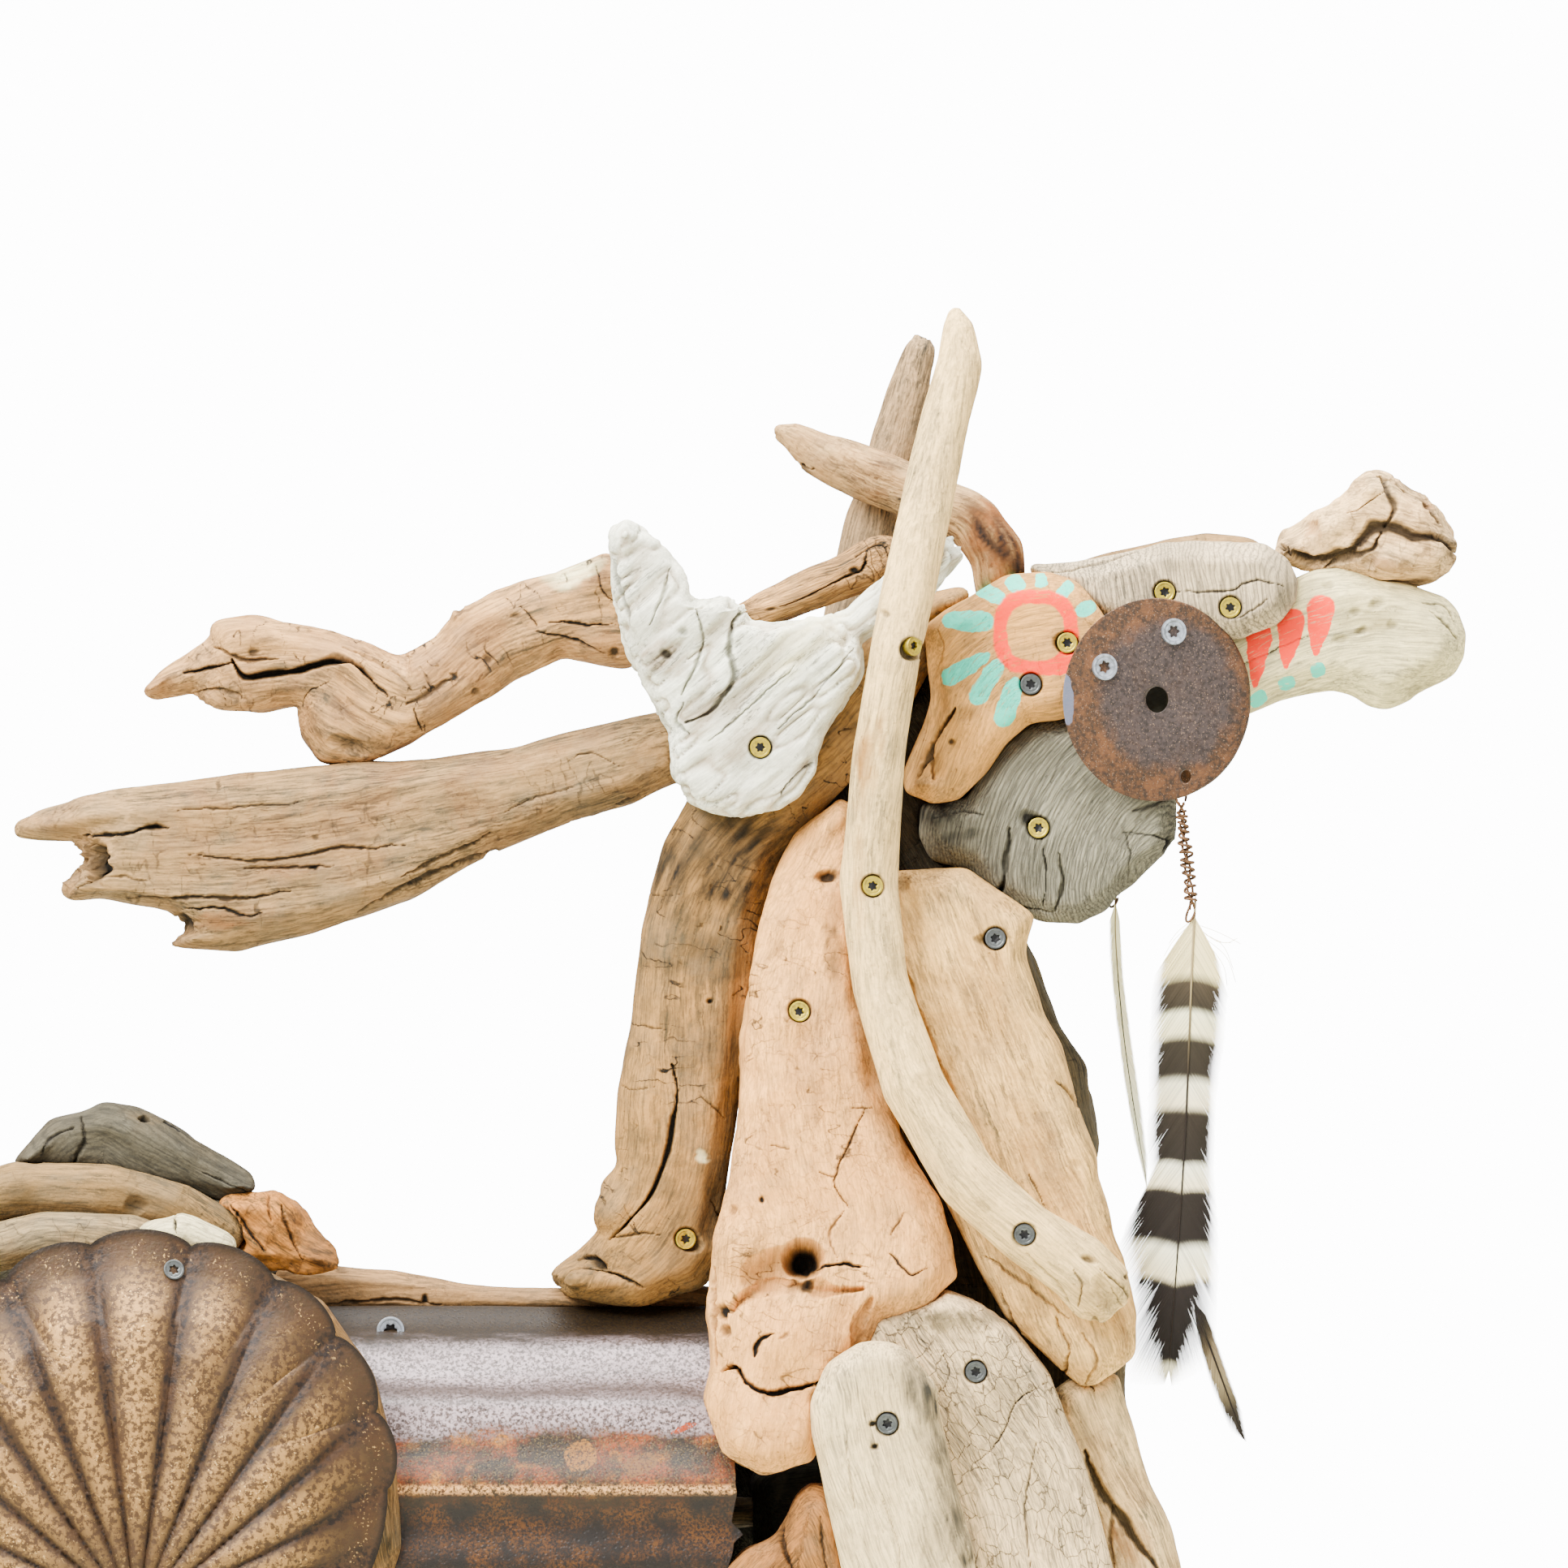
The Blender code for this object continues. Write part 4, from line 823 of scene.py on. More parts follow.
maneWing = {
    "voxel": 1.2, "grain": [(700, 1040), (860, 930), (1000, 810), (1190, 660)], "smoothing": 6,
    "light": (250, 248, 244), "dark": (214, 204, 190), "warm": (204, 166, 128), "deep": (84, 66, 52), "fibres": 0.35,
    "streaks": 0.5, "patches": 0.14, "checks": 0.2, "splits": 0.9, "lumps": (1.8, 14), "ridges": (0.8, 3.4),
    "furrows": (1.7, 4.6), "bump": 0.9,
    "cracks": [
        crackAt([(930, 742), (906, 766), (898, 800), (906, 838), (874, 876), (845, 890)], 5.5, 3.6, 0.55),
        crackAt([(756, 690), (766, 730), (776, 772)], 5, 2.2, 0.6),
        crackAt([(1004, 940), (976, 962), (962, 984)], 3, 1.8, 0.8),
        crackAt([(842, 866), (834, 890), (850, 905)], 3, 2.0, 0.5),
        crackAt([(824, 700), (816, 735), (800, 770)], 3.4, 2.0, 0.35),
        crackAt([(856, 740), (868, 790), (852, 830), (840, 856)], 4.0, 2.4, 0.35),
        crackAt([(874, 914), (920, 876), (980, 820)], 2.4, 1.4, 0.5),
        crackAt([(960, 900), (1010, 850), (1050, 800)], 2.4, 1.4, 0.5),
    ],
    "pits": [pitAt((821, 806, 9, 7, 30), 2.2, 0.8), pitAt((842, 778, 7, 6, 0), 1.2, 0.5)],
    "stains": [
        stainAt("warm", (822, 812, 40, 30, 20), 0.75), stainAt("warm", (925, 905, 80, 30, -35), 0.55),
        stainAt("warm", (930, 985, 60, 16, 0), 0.4), stainAt("dark", (758, 690, 10, 30, 0), 0.35),
        stainAt("pale", (985, 790, 90, 40, -40), 0.5),
    ],
    "frays": [{"oval": (1170, 680, 40, 30, 0), "towards": (1, -0.9), "length": 2.4}, {"oval": (900, 735, 100, 24,
        0), "towards": (0.6, -1), "length": 1.2}], "shifts": [shiftAt((880, 733, 56, 26, 0), (0, 10))],
}
maneBranchMiddle = {
    "grain": [(910, 745), (980, 718), (1060, 692), (1130, 660)], "light": (216, 190, 158), "dark": (148, 120, 94),
    "warm": (170, 118, 72), "checks": 0.7, "splits": 0.7, "lumps": (1.5, 16), "ridges": (0.8, 4.2), "streaks": 0.8,
    "cracks": [
        crackAt([(960, 742), (1010, 720), (1060, 702), (1068, 676)], 4, 2.4),
        crackAt([(1052, 680), (1085, 668), (1100, 690)], 2.4, 1.4),
    ],
    "pits": [pitAt((950, 746, 8, 6, 0), 1.2, 0.8), pitAt((1052, 700, 7, 6, 0), 1.4)],
    "shifts": [shiftAt((970, 705, 120, 44, -22), (3, 11))],
}
crestLog = {
    "voxel": 1.5,
    "grain": [(700, 1590), (790, 1520), (830, 1430), (838, 1300), (850, 1150), (900, 1040), (1010, 960),
        (1100, 860), (1190, 760)], "light": (208, 178, 136), "dark": (138, 112, 84), "warm": (132, 106, 78),
    "patches": 0.55, "checks": 1.6, "splits": 0.25, "lumps": (1.3, 24), "ridges": (0.4, 5), "streaks": 0.5,
    "cracks": [
        crackAt([(833, 1312), (838, 1346), (830, 1390), (821, 1430), (803, 1472), (775, 1505),
            (752, 1528)], 4.2, 4.5, shake=0.35),
        crackAt([(700, 1572), (740, 1571), (770, 1577), (790, 1586)], 3.6, 2.6),
        crackAt([(712, 1556), (730, 1552), (748, 1566)], 4.0, 2.6),
        crackAt([(756, 1528), (790, 1520), (812, 1522)], 2.4, 1.4, 0.7),
        crackAt([(862, 1350), (890, 1378)], 2.0, 1.0, 0.7), crackAt([(886, 1500), (905, 1470)], 2.0, 1.0, 0.6),
        crackAt([(808, 1104), (842, 1102)], 1.8, 0.9, 0.8),
        crackAt([(890, 1060), (912, 1068), (934, 1072)], 1.8, 0.9, 0.8),
        crackAt([(790, 1262), (826, 1270)], 1.6, 0.8, 0.7),
        crackAt([(775, 1340), (792, 1346), (812, 1340)], 1.6, 0.8, 0.7),
        crackAt([(873, 1480), (905, 1540)], 2.2, 1.2, 0.6),
    ],
    "pits": [
        pitAt((875, 1234, 5, 4, 0), 1.8), pitAt((864, 1426, 10, 10, 0), 0.8, 0.0),
        pitAt((738, 1560, 14, 7, 20), 2.6, 0.8),
    ],
    "stains": [
        # the dark patch at (860, 1500) makes the lower part darker
        stainAt("dark", (890, 1060, 130, 80, -20), 1.0), stainAt("dark", (860, 1500, 50, 90, 30), 0.6),
        stainAt("dark", (890, 1300, 26, 160, 0), 0.5), stainAt("dark", (823, 1190, 34, 12, 0), 0.4),
        stainAt("dark", (880, 1170, 34, 20, 0), 0.45), stainAt("dark", (895, 1390, 30, 40, 0), 0.4),
        stainAt("dark", (770, 1560, 70, 24, 20), 0.3), stainAt("pale", (864, 1426, 9, 9, 0), 0.6, mottled=False),
    ],
    "knobs": [knobAt((745, 1495, 34, 30, 0), 3.0), knobAt((720, 1575, 44, 16, 8), 2.0)],
    "frays": [{"oval": (700, 1576, 46, 30, 0), "towards": (-1, 0.3), "length": 2.0}], "swell": 1.0,
    "shifts": [
        shiftAt((795, 1240, 90, 300, 8), (-7, 0)), shiftAt((728, 1466, 70, 60, 0), (10, 2)),
        shiftAt((866, 1562, 44, 44, 0), (9, 3)),
    ],
}
neckMain = {
    "voxel": 1.5,
    "grain": [(1020, 985), (970, 1120), (950, 1280), (960, 1420), (980, 1520), (960, 1640), (930, 1800)],
    "light": (230, 206, 174), "dark": (188, 156, 120), "warm": (222, 184, 136), "patches": 0.35, "deep": (48, 34, 26),
    "checks": 1.0, "splits": 0.15, "net": 0.55, "lumps": (2.4, 18), "ridges": (0.3, 5), "fibres": 0.6, "streaks": 0.5,
    "cracks": [
        crackAt([(889, 1685), (907, 1680), (922, 1700), (945, 1712), (985, 1703), (1024, 1696)], 5.2, 4.6),
        crackAt([(930, 1668), (936, 1650), (953, 1642)], 4.4, 2.4),
        crackAt([(1067, 1363), (1046, 1405), (1028, 1452), (1046, 1484)], 2.6, 1.6, 0.9),
        crackAt([(1096, 1541), (1120, 1568), (1140, 1560)], 2.8, 1.6),
        crackAt([(1006, 1560), (1036, 1556), (1060, 1558)], 3.4, 2.2),
        crackAt([(1074, 1364), (1050, 1362)], 2.0, 1.0, 0.8), crackAt([(1030, 1450), (1008, 1440)], 2.0, 1.0, 0.8),
        crackAt([(1040, 1490), (1022, 1520), (1030, 1548)], 2.4, 1.2, 0.6),
        crackAt([(1096, 1520), (1112, 1492)], 2.0, 1.0, 0.7), crackAt([(950, 1408), (972, 1412)], 1.8, 0.8, 0.7),
        crackAt([(884, 1560), (880, 1620), (884, 1680)], 3.4, 2.6, 0.4),
        crackAt([(896, 1612), (926, 1588), (972, 1578), (1012, 1588), (1062, 1584)], 15, 5.0, 0.22),
        crackAt([(1066, 1690), (1054, 1640), (1072, 1596)], 12, 4.0, 0.15),
    ],
    "pits": [
        pitAt((990, 1548, 30, 26, 30), 17.0, 1.0), pitAt((952, 1558, 44, 24, -25), 6.5, 0.25),
        pitAt((889, 1612, 8, 11, 0), 3.5, 1.0), pitAt((894, 1636, 8, 9, 0), 3.0, 0.7),
        pitAt((938, 1475, 4, 6, 0), 1.4), pitAt((907, 1490, 7, 8, 0), 1.2, 0.5),
        pitAt((1020, 1079, 18, 9, 0), 3.4, 0.95), pitAt((968, 1645, 9, 5, -40), 1.0, 0.5),
    ],
    "stains": [
        stainAt("dark", (998, 1584, 18, 12, 10), 1.0), stainAt("dark", (959, 1165, 8, 24, 20), 0.75),
        stainAt("dark", (1026, 1170, 13, 52, -4), 0.95), stainAt("dark", (1030, 1120, 12, 24, 0), 0.4),
        stainAt("warm", (960, 1560, 80, 40, -10), 0.5), stainAt("warm", (950, 1740, 90, 60, 0), 0.55),
    ],
    "knobs": [
        knobAt((968, 1650, 84, 74, 0), 6.0), knobAt((945, 1755, 88, 70, 0), 5.0), knobAt((960, 1230, 60, 90, 0), 1.5),
        knobAt((1110, 1580, 70, 110, 0), 2.0), knobAt((915, 1530, 44, 80, 10), 4.0),
    ],
}
neckFront = {
    "voxel": 1.5, "grain": [(1130, 1070), (1185, 1220), (1255, 1400), (1330, 1560), (1400, 1720)],
    "light": (226, 208, 180), "dark": (186, 160, 126), "warm": (206, 166, 116), "patches": 0.4, "checks": 0.1,
    "splits": 0.6, "lumps": (1.2, 24), "ridges": (0.5, 4.6), "streaks": 0.6,
    "cracks": [
        crackAt([(1107, 1170), (1140, 1270), (1190, 1390), (1244, 1480)], 7, 2.6, 0.12),
        crackAt([(1267, 1446), (1278, 1466), (1288, 1486)], 2.4, 1.2, 0.8),
        crackAt([(1215, 1545), (1262, 1580), (1317, 1622)], 3.6, 2.0, 0.5),
        crackAt([(1228, 1570), (1258, 1640), (1290, 1680)], 3.0, 1.6, 0.45),
        crackAt([(1300, 1620), (1318, 1660), (1310, 1700)], 4, 2.2, 0.3),
        crackAt([(1332, 1640), (1350, 1670), (1336, 1700)], 3.4, 2.0, 0.3),
        crackAt([(1300, 1330), (1322, 1352), (1330, 1372)], 3, 1.8, 0.6),
    ],
    "pits": [
        pitAt((1113, 1090, 10, 12, 0), 0.8, 0.5), pitAt((1323, 1432, 8, 6, 40), 0.6, 0.25),
        pitAt((1213, 1157, 15, 8, 0), 2.0, 0.7),
    ],
    "stains": [
        stainAt("warm", (1225, 1210, 46, 110, -18), 0.6), stainAt("warm", (1290, 1440, 40, 130, -24), 0.65),
        stainAt("warm", (1374, 1600, 14, 90, -6), 0.9), stainAt("dark", (1274, 1612, 26, 12, 40), 0.3),
    ],
    "knobs": [knobAt((1330, 1660, 46, 40, 0), 2.0)],
    "shifts": [shiftAt((1292, 1205, 56, 90, -15), (-13, 0)), shiftAt((1374, 1480, 44, 80, 0), (-9, 0))],
}
neckFarFront = {
    "voxel": 2.0, "grain": [(1200, 1040), (1290, 1280), (1370, 1560), (1390, 1900)], "light": (168, 142, 112),
    "dark": (100, 80, 60), "warm": (140, 108, 76), "splits": 0.8, "ridges": (0.8, 4.6), "streaks": 0.8,
    "lumps": (1.8, 14), "shifts": [shiftAt((1374, 1480, 44, 80, 0), (-9, 0))],
}
jaw = {
    "voxel": 1.5, "grain": [(1440, 860), (1350, 925), (1292, 1000), (1272, 1080), (1276, 1150)],
    "light": (200, 193, 183), "dark": (140, 132, 122), "warm": (160, 146, 128), "deep": (46, 40, 36), "rings": 0.75,
    "ringSpacing": 1.7, "checks": 0.1, "splits": 0.3, "patches": 0.4, "lumps": (1.2, 26), "ridges": (0.35, 4),
    "streaks": 0.5,
    "cracks": [
        crackAt([(1244, 1020), (1240, 1060), (1236, 1090), (1226, 1112)], 5.5, 3.2, 0.6),
        crackAt([(1284, 1034), (1290, 1072), (1286, 1116)], 2.6, 2.2, 0.95),
        crackAt([(1305, 1050), (1311, 1088), (1300, 1120)], 5.0, 3.0, 0.5),
        crackAt([(1385, 1026), (1410, 1030), (1436, 1038)], 2.4, 1.2, 0.85),
        crackAt([(1387, 1028), (1394, 1056), (1398, 1080)], 2.0, 1.0, 0.7),
        crackAt([(1226, 1112), (1260, 1118), (1296, 1124)], 3.4, 2.2, 0.6),
        crackAt([(1395, 1000), (1430, 985)], 5, 1.8, 0.3),
        crackAt([(1150, 1008), (1186, 1000), (1214, 1004)], 3, 1.2, 0.5),
    ],
    "pits": [pitAt((1438, 1044, 6, 14, 0), 2.4, 1.0), pitAt((1270, 1010, 16, 13, 30), 2.6, 0.95)],
    "stains": [
        # the full dark disc at (1426, 862) is a painted shadow under the eye washer and in its hole
        stainAt("dark", (1426, 862, 40, 40, 0), 1.0, mottled=False), stainAt("dark", (1155, 1000, 34, 24, 0), 1.0),
        stainAt("dark", (1185, 1031, 40, 9, -8), 0.8), stainAt("dark", (1320, 1022, 12, 10, 0), 0.35),
    ],
    "knobs": [knobAt((1262, 1070, 26, 44, 0), 1.6), knobAt((1350, 1060, 50, 60, 0), 1.6)],
    "shifts": [shiftAt((1436, 1010, 50, 60, 0), (6, 0)), shiftAt((1418, 1092, 70, 50, -40), (-8, -8))],
}
cheekRays = {"colour": (66, 224, 214), "strokes": [
    (1193, 765, 2, 32, 13, -0.1), (1190, 823, -30, 34, 11, 0.25), (1216, 840, -58, 33, 12, 0.15),
    (1243, 865, -72, 32, 13, 0.2), (1222, 732, 28, 20, 10, 0.1), (1251, 719, 48, 12, 11, 0.0),
    (1283, 715, 82, 9, 8, 0.0), (1312, 727, -48, 13, 8, 0.0), (1338, 750, -26, 13, 9, 0.0),
]}
cheekRing = {"colour": (236, 76, 18), "strokes": [(1300, 825, 0, 18, 7, 0.0)], "rings": [(1276, 779, 53, 36)]}
cheek = {
    "voxel": 1.4, "grain": [(1128, 985), (1160, 900), (1190, 830), (1250, 790), (1385, 770)],
    "light": (222, 196, 156), "dark": (196, 164, 120), "warm": (206, 160, 108), "rings": 0.35, "ringSpacing": 2.2,
    "checks": 0.35, "splits": 0.15, "patches": 0.3, "lumps": (0.8, 24), "ridges": (0.25, 4), "fibres": 0.55,
    "streaks": 0.5, "smoothing": 16, "painted": [cheekRays, cheekRing],
    "cracks": [
        crackAt([(1176, 872), (1158, 900), (1142, 935), (1128, 965)], 6.5, 3.4, 0.85),
        crackAt([(1148, 930), (1150, 960)], 5, 2.4, 0.7),
        crackAt([(1150, 845), (1162, 800), (1156, 776)], 1.6, 0.6, 0.3),
    ],
    "pits": [
        pitAt((1172, 914, 6, 5, 0), 1.0, 0.9), pitAt((1190, 880, 14, 10, -40), 0.8, 0.35),
        pitAt((1308, 793, 12, 12, 0), 1.8, 0.9),
    ],
    "stains": [
        # the full dark disc at (1426, 862) is a painted shadow under the eye washer and in its hole
        stainAt("dark", (1426, 862, 40, 40, 0), 1.0, mottled=False), stainAt("dark", (1140, 945, 24, 40, 30), 0.45),
        stainAt("dark", (1190, 882, 20, 12, -40), 0.3),
    ],
}
brow = {
    "voxel": 1.5, "grain": [(1400, 560), (1440, 700), (1460, 860)], "light": (218, 207, 196), "dark": (150, 139, 128),
    "warm": (164, 148, 130), "deep": (48, 42, 38), "rings": 0.8, "ringSpacing": 2.0, "checks": 0.0, "splits": 0.25,
    "patches": 0.4, "lumps": (1.0, 26), "ridges": (0.3, 4), "streaks": 0.45,
    "cracks": [
        crackAt([(1449, 729), (1500, 728), (1520, 726), (1545, 716), (1583, 722)], 2.2, 1.2, 0.9),
        crackAt([(1526, 762), (1546, 752), (1562, 738)], 2.2, 1.0, 0.6),
        crackAt([(1290, 700), (1340, 690), (1400, 674)], 2.2, 1.0, 0.5),
    ],
    "stains": [
        # the full dark disc at (1426, 862) is a painted shadow under the eye washer and in its hole
        stainAt("dark", (1426, 862, 40, 40, 0), 1.0, mottled=False), stainAt("dark", (1580, 740, 18, 26, 0), 0.3),
    ],
    "shifts": [shiftAt((1350, 680, 130, 34, -8), (0, 7))],
}
muzzleStripes = {"colour": (238, 80, 26), "strokes": [
    (1552, 807, 95, 40, 13, 0.62), (1591, 786, 97, 38, 14, 0.6), (1628, 770, 97, 38, 14, 0.6),
]}
muzzleDots = {"colour": (66, 224, 214), "strokes": [
    (1554, 860, -25, 12, 9, 0.0), (1589, 841, -20, 11, 9, 0.0), (1627, 825, -15, 10, 9, 0.0),
]}
muzzle = {
    "voxel": 1.4, "grain": [(1500, 850), (1600, 805), (1700, 780), (1806, 790)], "light": (230, 222, 208),
    "dark": (204, 193, 174), "warm": (196, 174, 138), "deep": (74, 58, 44), "shine": 0.45, "checks": 0.0,
    "splits": 0.15, "net": 0.0, "patches": 0.22, "fibres": 0.6, "streaks": 0.6, "lumps": (0.8, 22),
    "ridges": (0.2, 5), "smoothing": 14, "painted": [muzzleStripes, muzzleDots],
    "cracks": [
        crackAt([(1535, 816), (1574, 799), (1616, 783)], 2.2, 1.2, 0.95),
        crackAt([(1762, 752), (1778, 768), (1792, 786)], 2.4, 1.2, 0.7),
        crackAt([(1756, 742), (1780, 746), (1790, 765)], 2.2, 1.2, 0.6),
        crackAt([(1570, 855), (1620, 838)], 5, 0.6, 0.15),
    ],
    "pits": [
        pitAt((1655, 788, 12, 7, 0), 1.2, 0.45), pitAt((1680, 776, 10, 6, -30), 1.4, 0.5),
        pitAt((1700, 742, 14, 8, -20), 1.6, 0.4), pitAt((1672, 752, 9, 6, 0), 1.0, 0.4),
        pitAt((1718, 770, 8, 6, 0), 1.0, 0.35), pitAt((1640, 720, 10, 6, 0), 1.0, 0.4),
        pitAt((1746, 848, 14, 9, -20), 1.0, 0.5),
    ],
    "stains": [
        # the full dark disc at (1426, 862) is a painted shadow under the eye washer and in its hole
        stainAt("dark", (1426, 862, 40, 40, 0), 1.0, mottled=False), stainAt("warm", (1690, 755, 64, 36, 0), 0.6),
        stainAt("dark", (1668, 785, 34, 12, -10), 0.3), stainAt("dark", (1750, 846, 26, 14, -20), 0.35),
        stainAt("dark", (1610, 722, 40, 12, -6), 0.25),
    ],
    "knobs": [knobAt((1750, 800, 56, 60, 0), 1.4)],
    "shifts": [shiftAt((1795, 790, 60, 80, 0), (6, 0)), shiftAt((1720, 866, 60, 30, 0), (0, 3))],
}
noseBurl = {
    "voxel": 1.3, "grain": [(1580, 660), (1680, 640), (1796, 670)], "smoothing": 7, "light": (242, 226, 208),
    "dark": (196, 172, 148), "warm": (206, 158, 104), "deep": (50, 38, 34), "patches": 0.3, "checks": 0.5,
    "splits": 0.4, "net": 0.2, "lumps": (3.2, 13), "ridges": (0.7, 4),
    "cracks": [
        crackAt([(1583, 662), (1604, 672), (1640, 679), (1668, 676), (1686, 656), (1700, 646), (1722, 648),
            (1745, 660), (1776, 662), (1792, 678)], 12, 4.0, 0.92),
        crackAt([(1640, 688), (1690, 678), (1704, 656)], 6, 2.4, 0.85),
        crackAt([(1704, 584), (1712, 606), (1722, 626), (1712, 646)], 8, 2.6, 0.85),
        crackAt([(1700, 586), (1735, 598), (1762, 612), (1776, 640)], 6, 2.0, 0.7),
        crackAt([(1664, 628), (1690, 616), (1708, 606)], 2.4, 1.2, 0.7),
    ],
    "pits": [
        pitAt((1624, 648, 10, 8, 0), 1.6, 0.1), pitAt((1765, 618, 10, 8, 0), 1.8, 0.3),
        pitAt((1695, 688, 11, 10, 0), 2.0, 0.3), pitAt((1736, 697, 9, 7, 0), 1.4, 0.2),
    ],
    "stains": [
        stainAt("warm", (1624, 648, 16, 12, 0), 0.9), stainAt("warm", (1766, 617, 18, 12, 0), 0.9),
        stainAt("warm", (1722, 694, 40, 16, 0), 0.6), stainAt("dark", (1788, 676, 14, 22, 0), 0.95),
        stainAt("dark", (1590, 662, 20, 16, 0), 0.7),
    ],
    "knobs": [
        knobAt((1740, 640, 44, 28, 20), 2.2), knobAt((1650, 640, 54, 28, -30), 1.6),
        knobAt((1730, 690, 56, 26, 0), 2.0),
    ],
    "shifts": [
        shiftAt((1785, 670, 50, 50, 0), (5, 0)), shiftAt((1610, 680, 60, 40, 0), (-3, 10)),
        shiftAt((1660, 600, 50, 40, -40), (4, 5)),
    ],
}
shoulderSlab = {
    "voxel": 1.7, "grain": [(1120, 1600), (1190, 1720), (1260, 1850), (1330, 2150)], "light": (228, 216, 204),
    "dark": (188, 175, 162), "warm": (196, 176, 152), "deep": (70, 54, 44), "net": 1.0, "checks": 0.15,
    "splits": 0.25, "patches": 0.25, "lumps": (0.8, 26), "ridges": (0.3, 4), "streaks": 0.5, "shine": 0.25,
    "cracks": [
        crackAt([(1290, 1700), (1250, 1722), (1236, 1760), (1200, 1800)], 2.0, 1.2),
        crackAt([(1150, 1720), (1170, 1690), (1160, 1660)], 1.8, 1.0),
        crackAt([(1276, 1770), (1262, 1850), (1268, 1932)], 2.0, 1.2, 0.8),
    ],
    "stains": [
        stainAt("warm", (1160, 1622, 110, 18, 0), 1.0), stainAt("dark", (1170, 1618, 90, 10, 0), 0.4),
        stainAt("dark", (1208, 1784, 16, 12, 0), 0.35),
    ],
    "frays": [{"oval": (1170, 1620, 110, 22, 0), "towards": (0.2, -1), "length": 1.4}],
}
shoulderLight = {
    "voxel": 1.6, "grain": [(1060, 1640), (1080, 1760), (1120, 1880), (1170, 2050)], "light": (234, 223, 210),
    "dark": (196, 182, 166), "warm": (206, 180, 148), "patches": 0.25, "checks": 0.1, "splits": 0.6,
    "lumps": (0.9, 26), "ridges": (0.35, 4), "streaks": 0.5, "smoothing": 14,
    "cracks": [
        crackAt([(1116, 1654), (1146, 1700), (1162, 1760), (1182, 1830), (1194, 1932)], 3, 1.2, 0.5),
        crackAt([(1040, 1760), (1044, 1800), (1052, 1850)], 2, 0.8, 0.4),
        crackAt([(1086, 1840), (1104, 1890), (1110, 1932)], 2, 0.8, 0.4),
    ],
    "pits": [pitAt((1073, 1746, 6, 5, 0), 2.6), pitAt((1077, 1775, 6, 5, 0), 2.6)],
    "stains": [
        stainAt("dark", (1134, 1720, 26, 90, -18), 1.0), stainAt("dark", (1166, 1830, 26, 110, -14), 1.0),
        stainAt("dark", (1150, 1890, 34, 60, 0), 0.6), stainAt("dark", (1190, 1900, 14, 40, 0), 1.0),
        stainAt("warm", (1078, 1760, 24, 30, 0), 0.4),
    ],
    "deep": (116, 102, 88),
}
elbow = {
    "voxel": 1.6, "grain": [(900, 1932), (960, 1860), (1010, 1840), (1050, 1932)], "light": (204, 162, 112),
    "dark": (142, 104, 68), "warm": (206, 154, 96), "checks": 0.3, "splits": 0.5, "patches": 0.4, "lumps": (1.2, 20),
    "ridges": (0.4, 4), "painted": [{"colour": (96, 206, 190), "strokes": [(944, 1932, 0, 14, 6, 0.0)]}],
    "cracks": [
        crackAt([(985, 1830), (968, 1860), (962, 1890), (978, 1932)], 6, 3.0, 0.85),
        crackAt([(1010, 1862), (1014, 1900), (1020, 1932)], 2.4, 1.4, 0.8),
    ],
    "stains": [stainAt("dark", (966, 1880, 14, 44, 8), 0.75)], "knobs": [knobAt((1006, 1890, 34, 60, 0), 2.0)],
}
chestEdge = {
    "voxel": 1.7, "grain": [(1310, 1680), (1370, 1800), (1430, 1950), (1465, 2170)], "light": (226, 212, 194),
    "dark": (188, 172, 152), "warm": (202, 150, 96), "checks": 0.25, "splits": 0.6, "patches": 0.25,
    "lumps": (0.9, 24), "ridges": (0.4, 4.2),
    "cracks": [
        crackAt([(1336, 1786), (1352, 1830), (1380, 1866), (1402, 1900), (1424, 1932)], 9, 4.2, 0.9),
        crackAt([(1372, 1850), (1366, 1900), (1372, 1932)], 4, 2.0, 0.6),
        crackAt([(1340, 1706), (1352, 1712)], 2, 1.0),
    ],
    "stains": [stainAt("warm", (1392, 1900, 30, 50, -30), 0.8)],
    "shifts": [shiftAt((1405, 1770, 60, 130, -25), (-9, 2))],
}
rumpGrey = {
    "voxel": 1.5, "grain": [(10, 1470), (60, 1400), (130, 1372), (200, 1410), (315, 1470)], "light": (146, 129, 110),
    "dark": (88, 75, 63), "warm": (170, 140, 108), "deep": (34, 27, 24), "rings": 0.8, "ringSpacing": 2.2,
    "streaks": 0.7, "splits": 0.4, "checks": 0.1, "patches": 0.15, "lumps": (1.4, 18), "ridges": (0.5, 4),
    "cracks": [
        crackAt([(100, 1380), (104, 1410), (90, 1440)], 4, 2.0, 0.5),
        crackAt([(50, 1430), (70, 1410), (92, 1398)], 3, 1.6, 0.8), crackAt([(200, 1384), (222, 1392)], 2.4, 1.2),
        crackAt([(250, 1440), (290, 1458), (310, 1470)], 2.6, 1.4, 0.7),
    ],
    "pits": [pitAt((176, 1378, 8, 5, 5), 4.0)], "stains": [stainAt("warm", (180, 1376, 36, 12, 10), 0.7)],
    "shifts": [shiftAt((45, 1420, 90, 60, -25), (-3, -9)), shiftAt((280, 1425, 90, 44, 30), (-3, 6))],
}
rumpTan = {
    "voxel": 1.6, "grain": [(-160, 1480), (0, 1455), (110, 1452), (210, 1475), (300, 1530)], "light": (196, 166, 128),
    "dark": (132, 104, 76), "warm": (176, 142, 104), "checks": 0.35, "splits": 0.4, "patches": 0.4,
    "lumps": (1.0, 22), "pits": [pitAt((168, 1487, 15, 14, 0), 1.8, 0.65)],
    "stains": [stainAt("dark", (168, 1487, 20, 18, 0), 0.6), stainAt("dark", (22, 1470, 30, 18, 0), 0.45)],
}
rumpGreyLow = {
    "voxel": 1.8, "grain": [(-160, 1560), (0, 1525), (60, 1508), (180, 1520), (270, 1560)], "light": (200, 180, 156),
    "dark": (136, 118, 100), "rings": 0.6, "ringSpacing": 2.4, "streaks": 0.7,
}
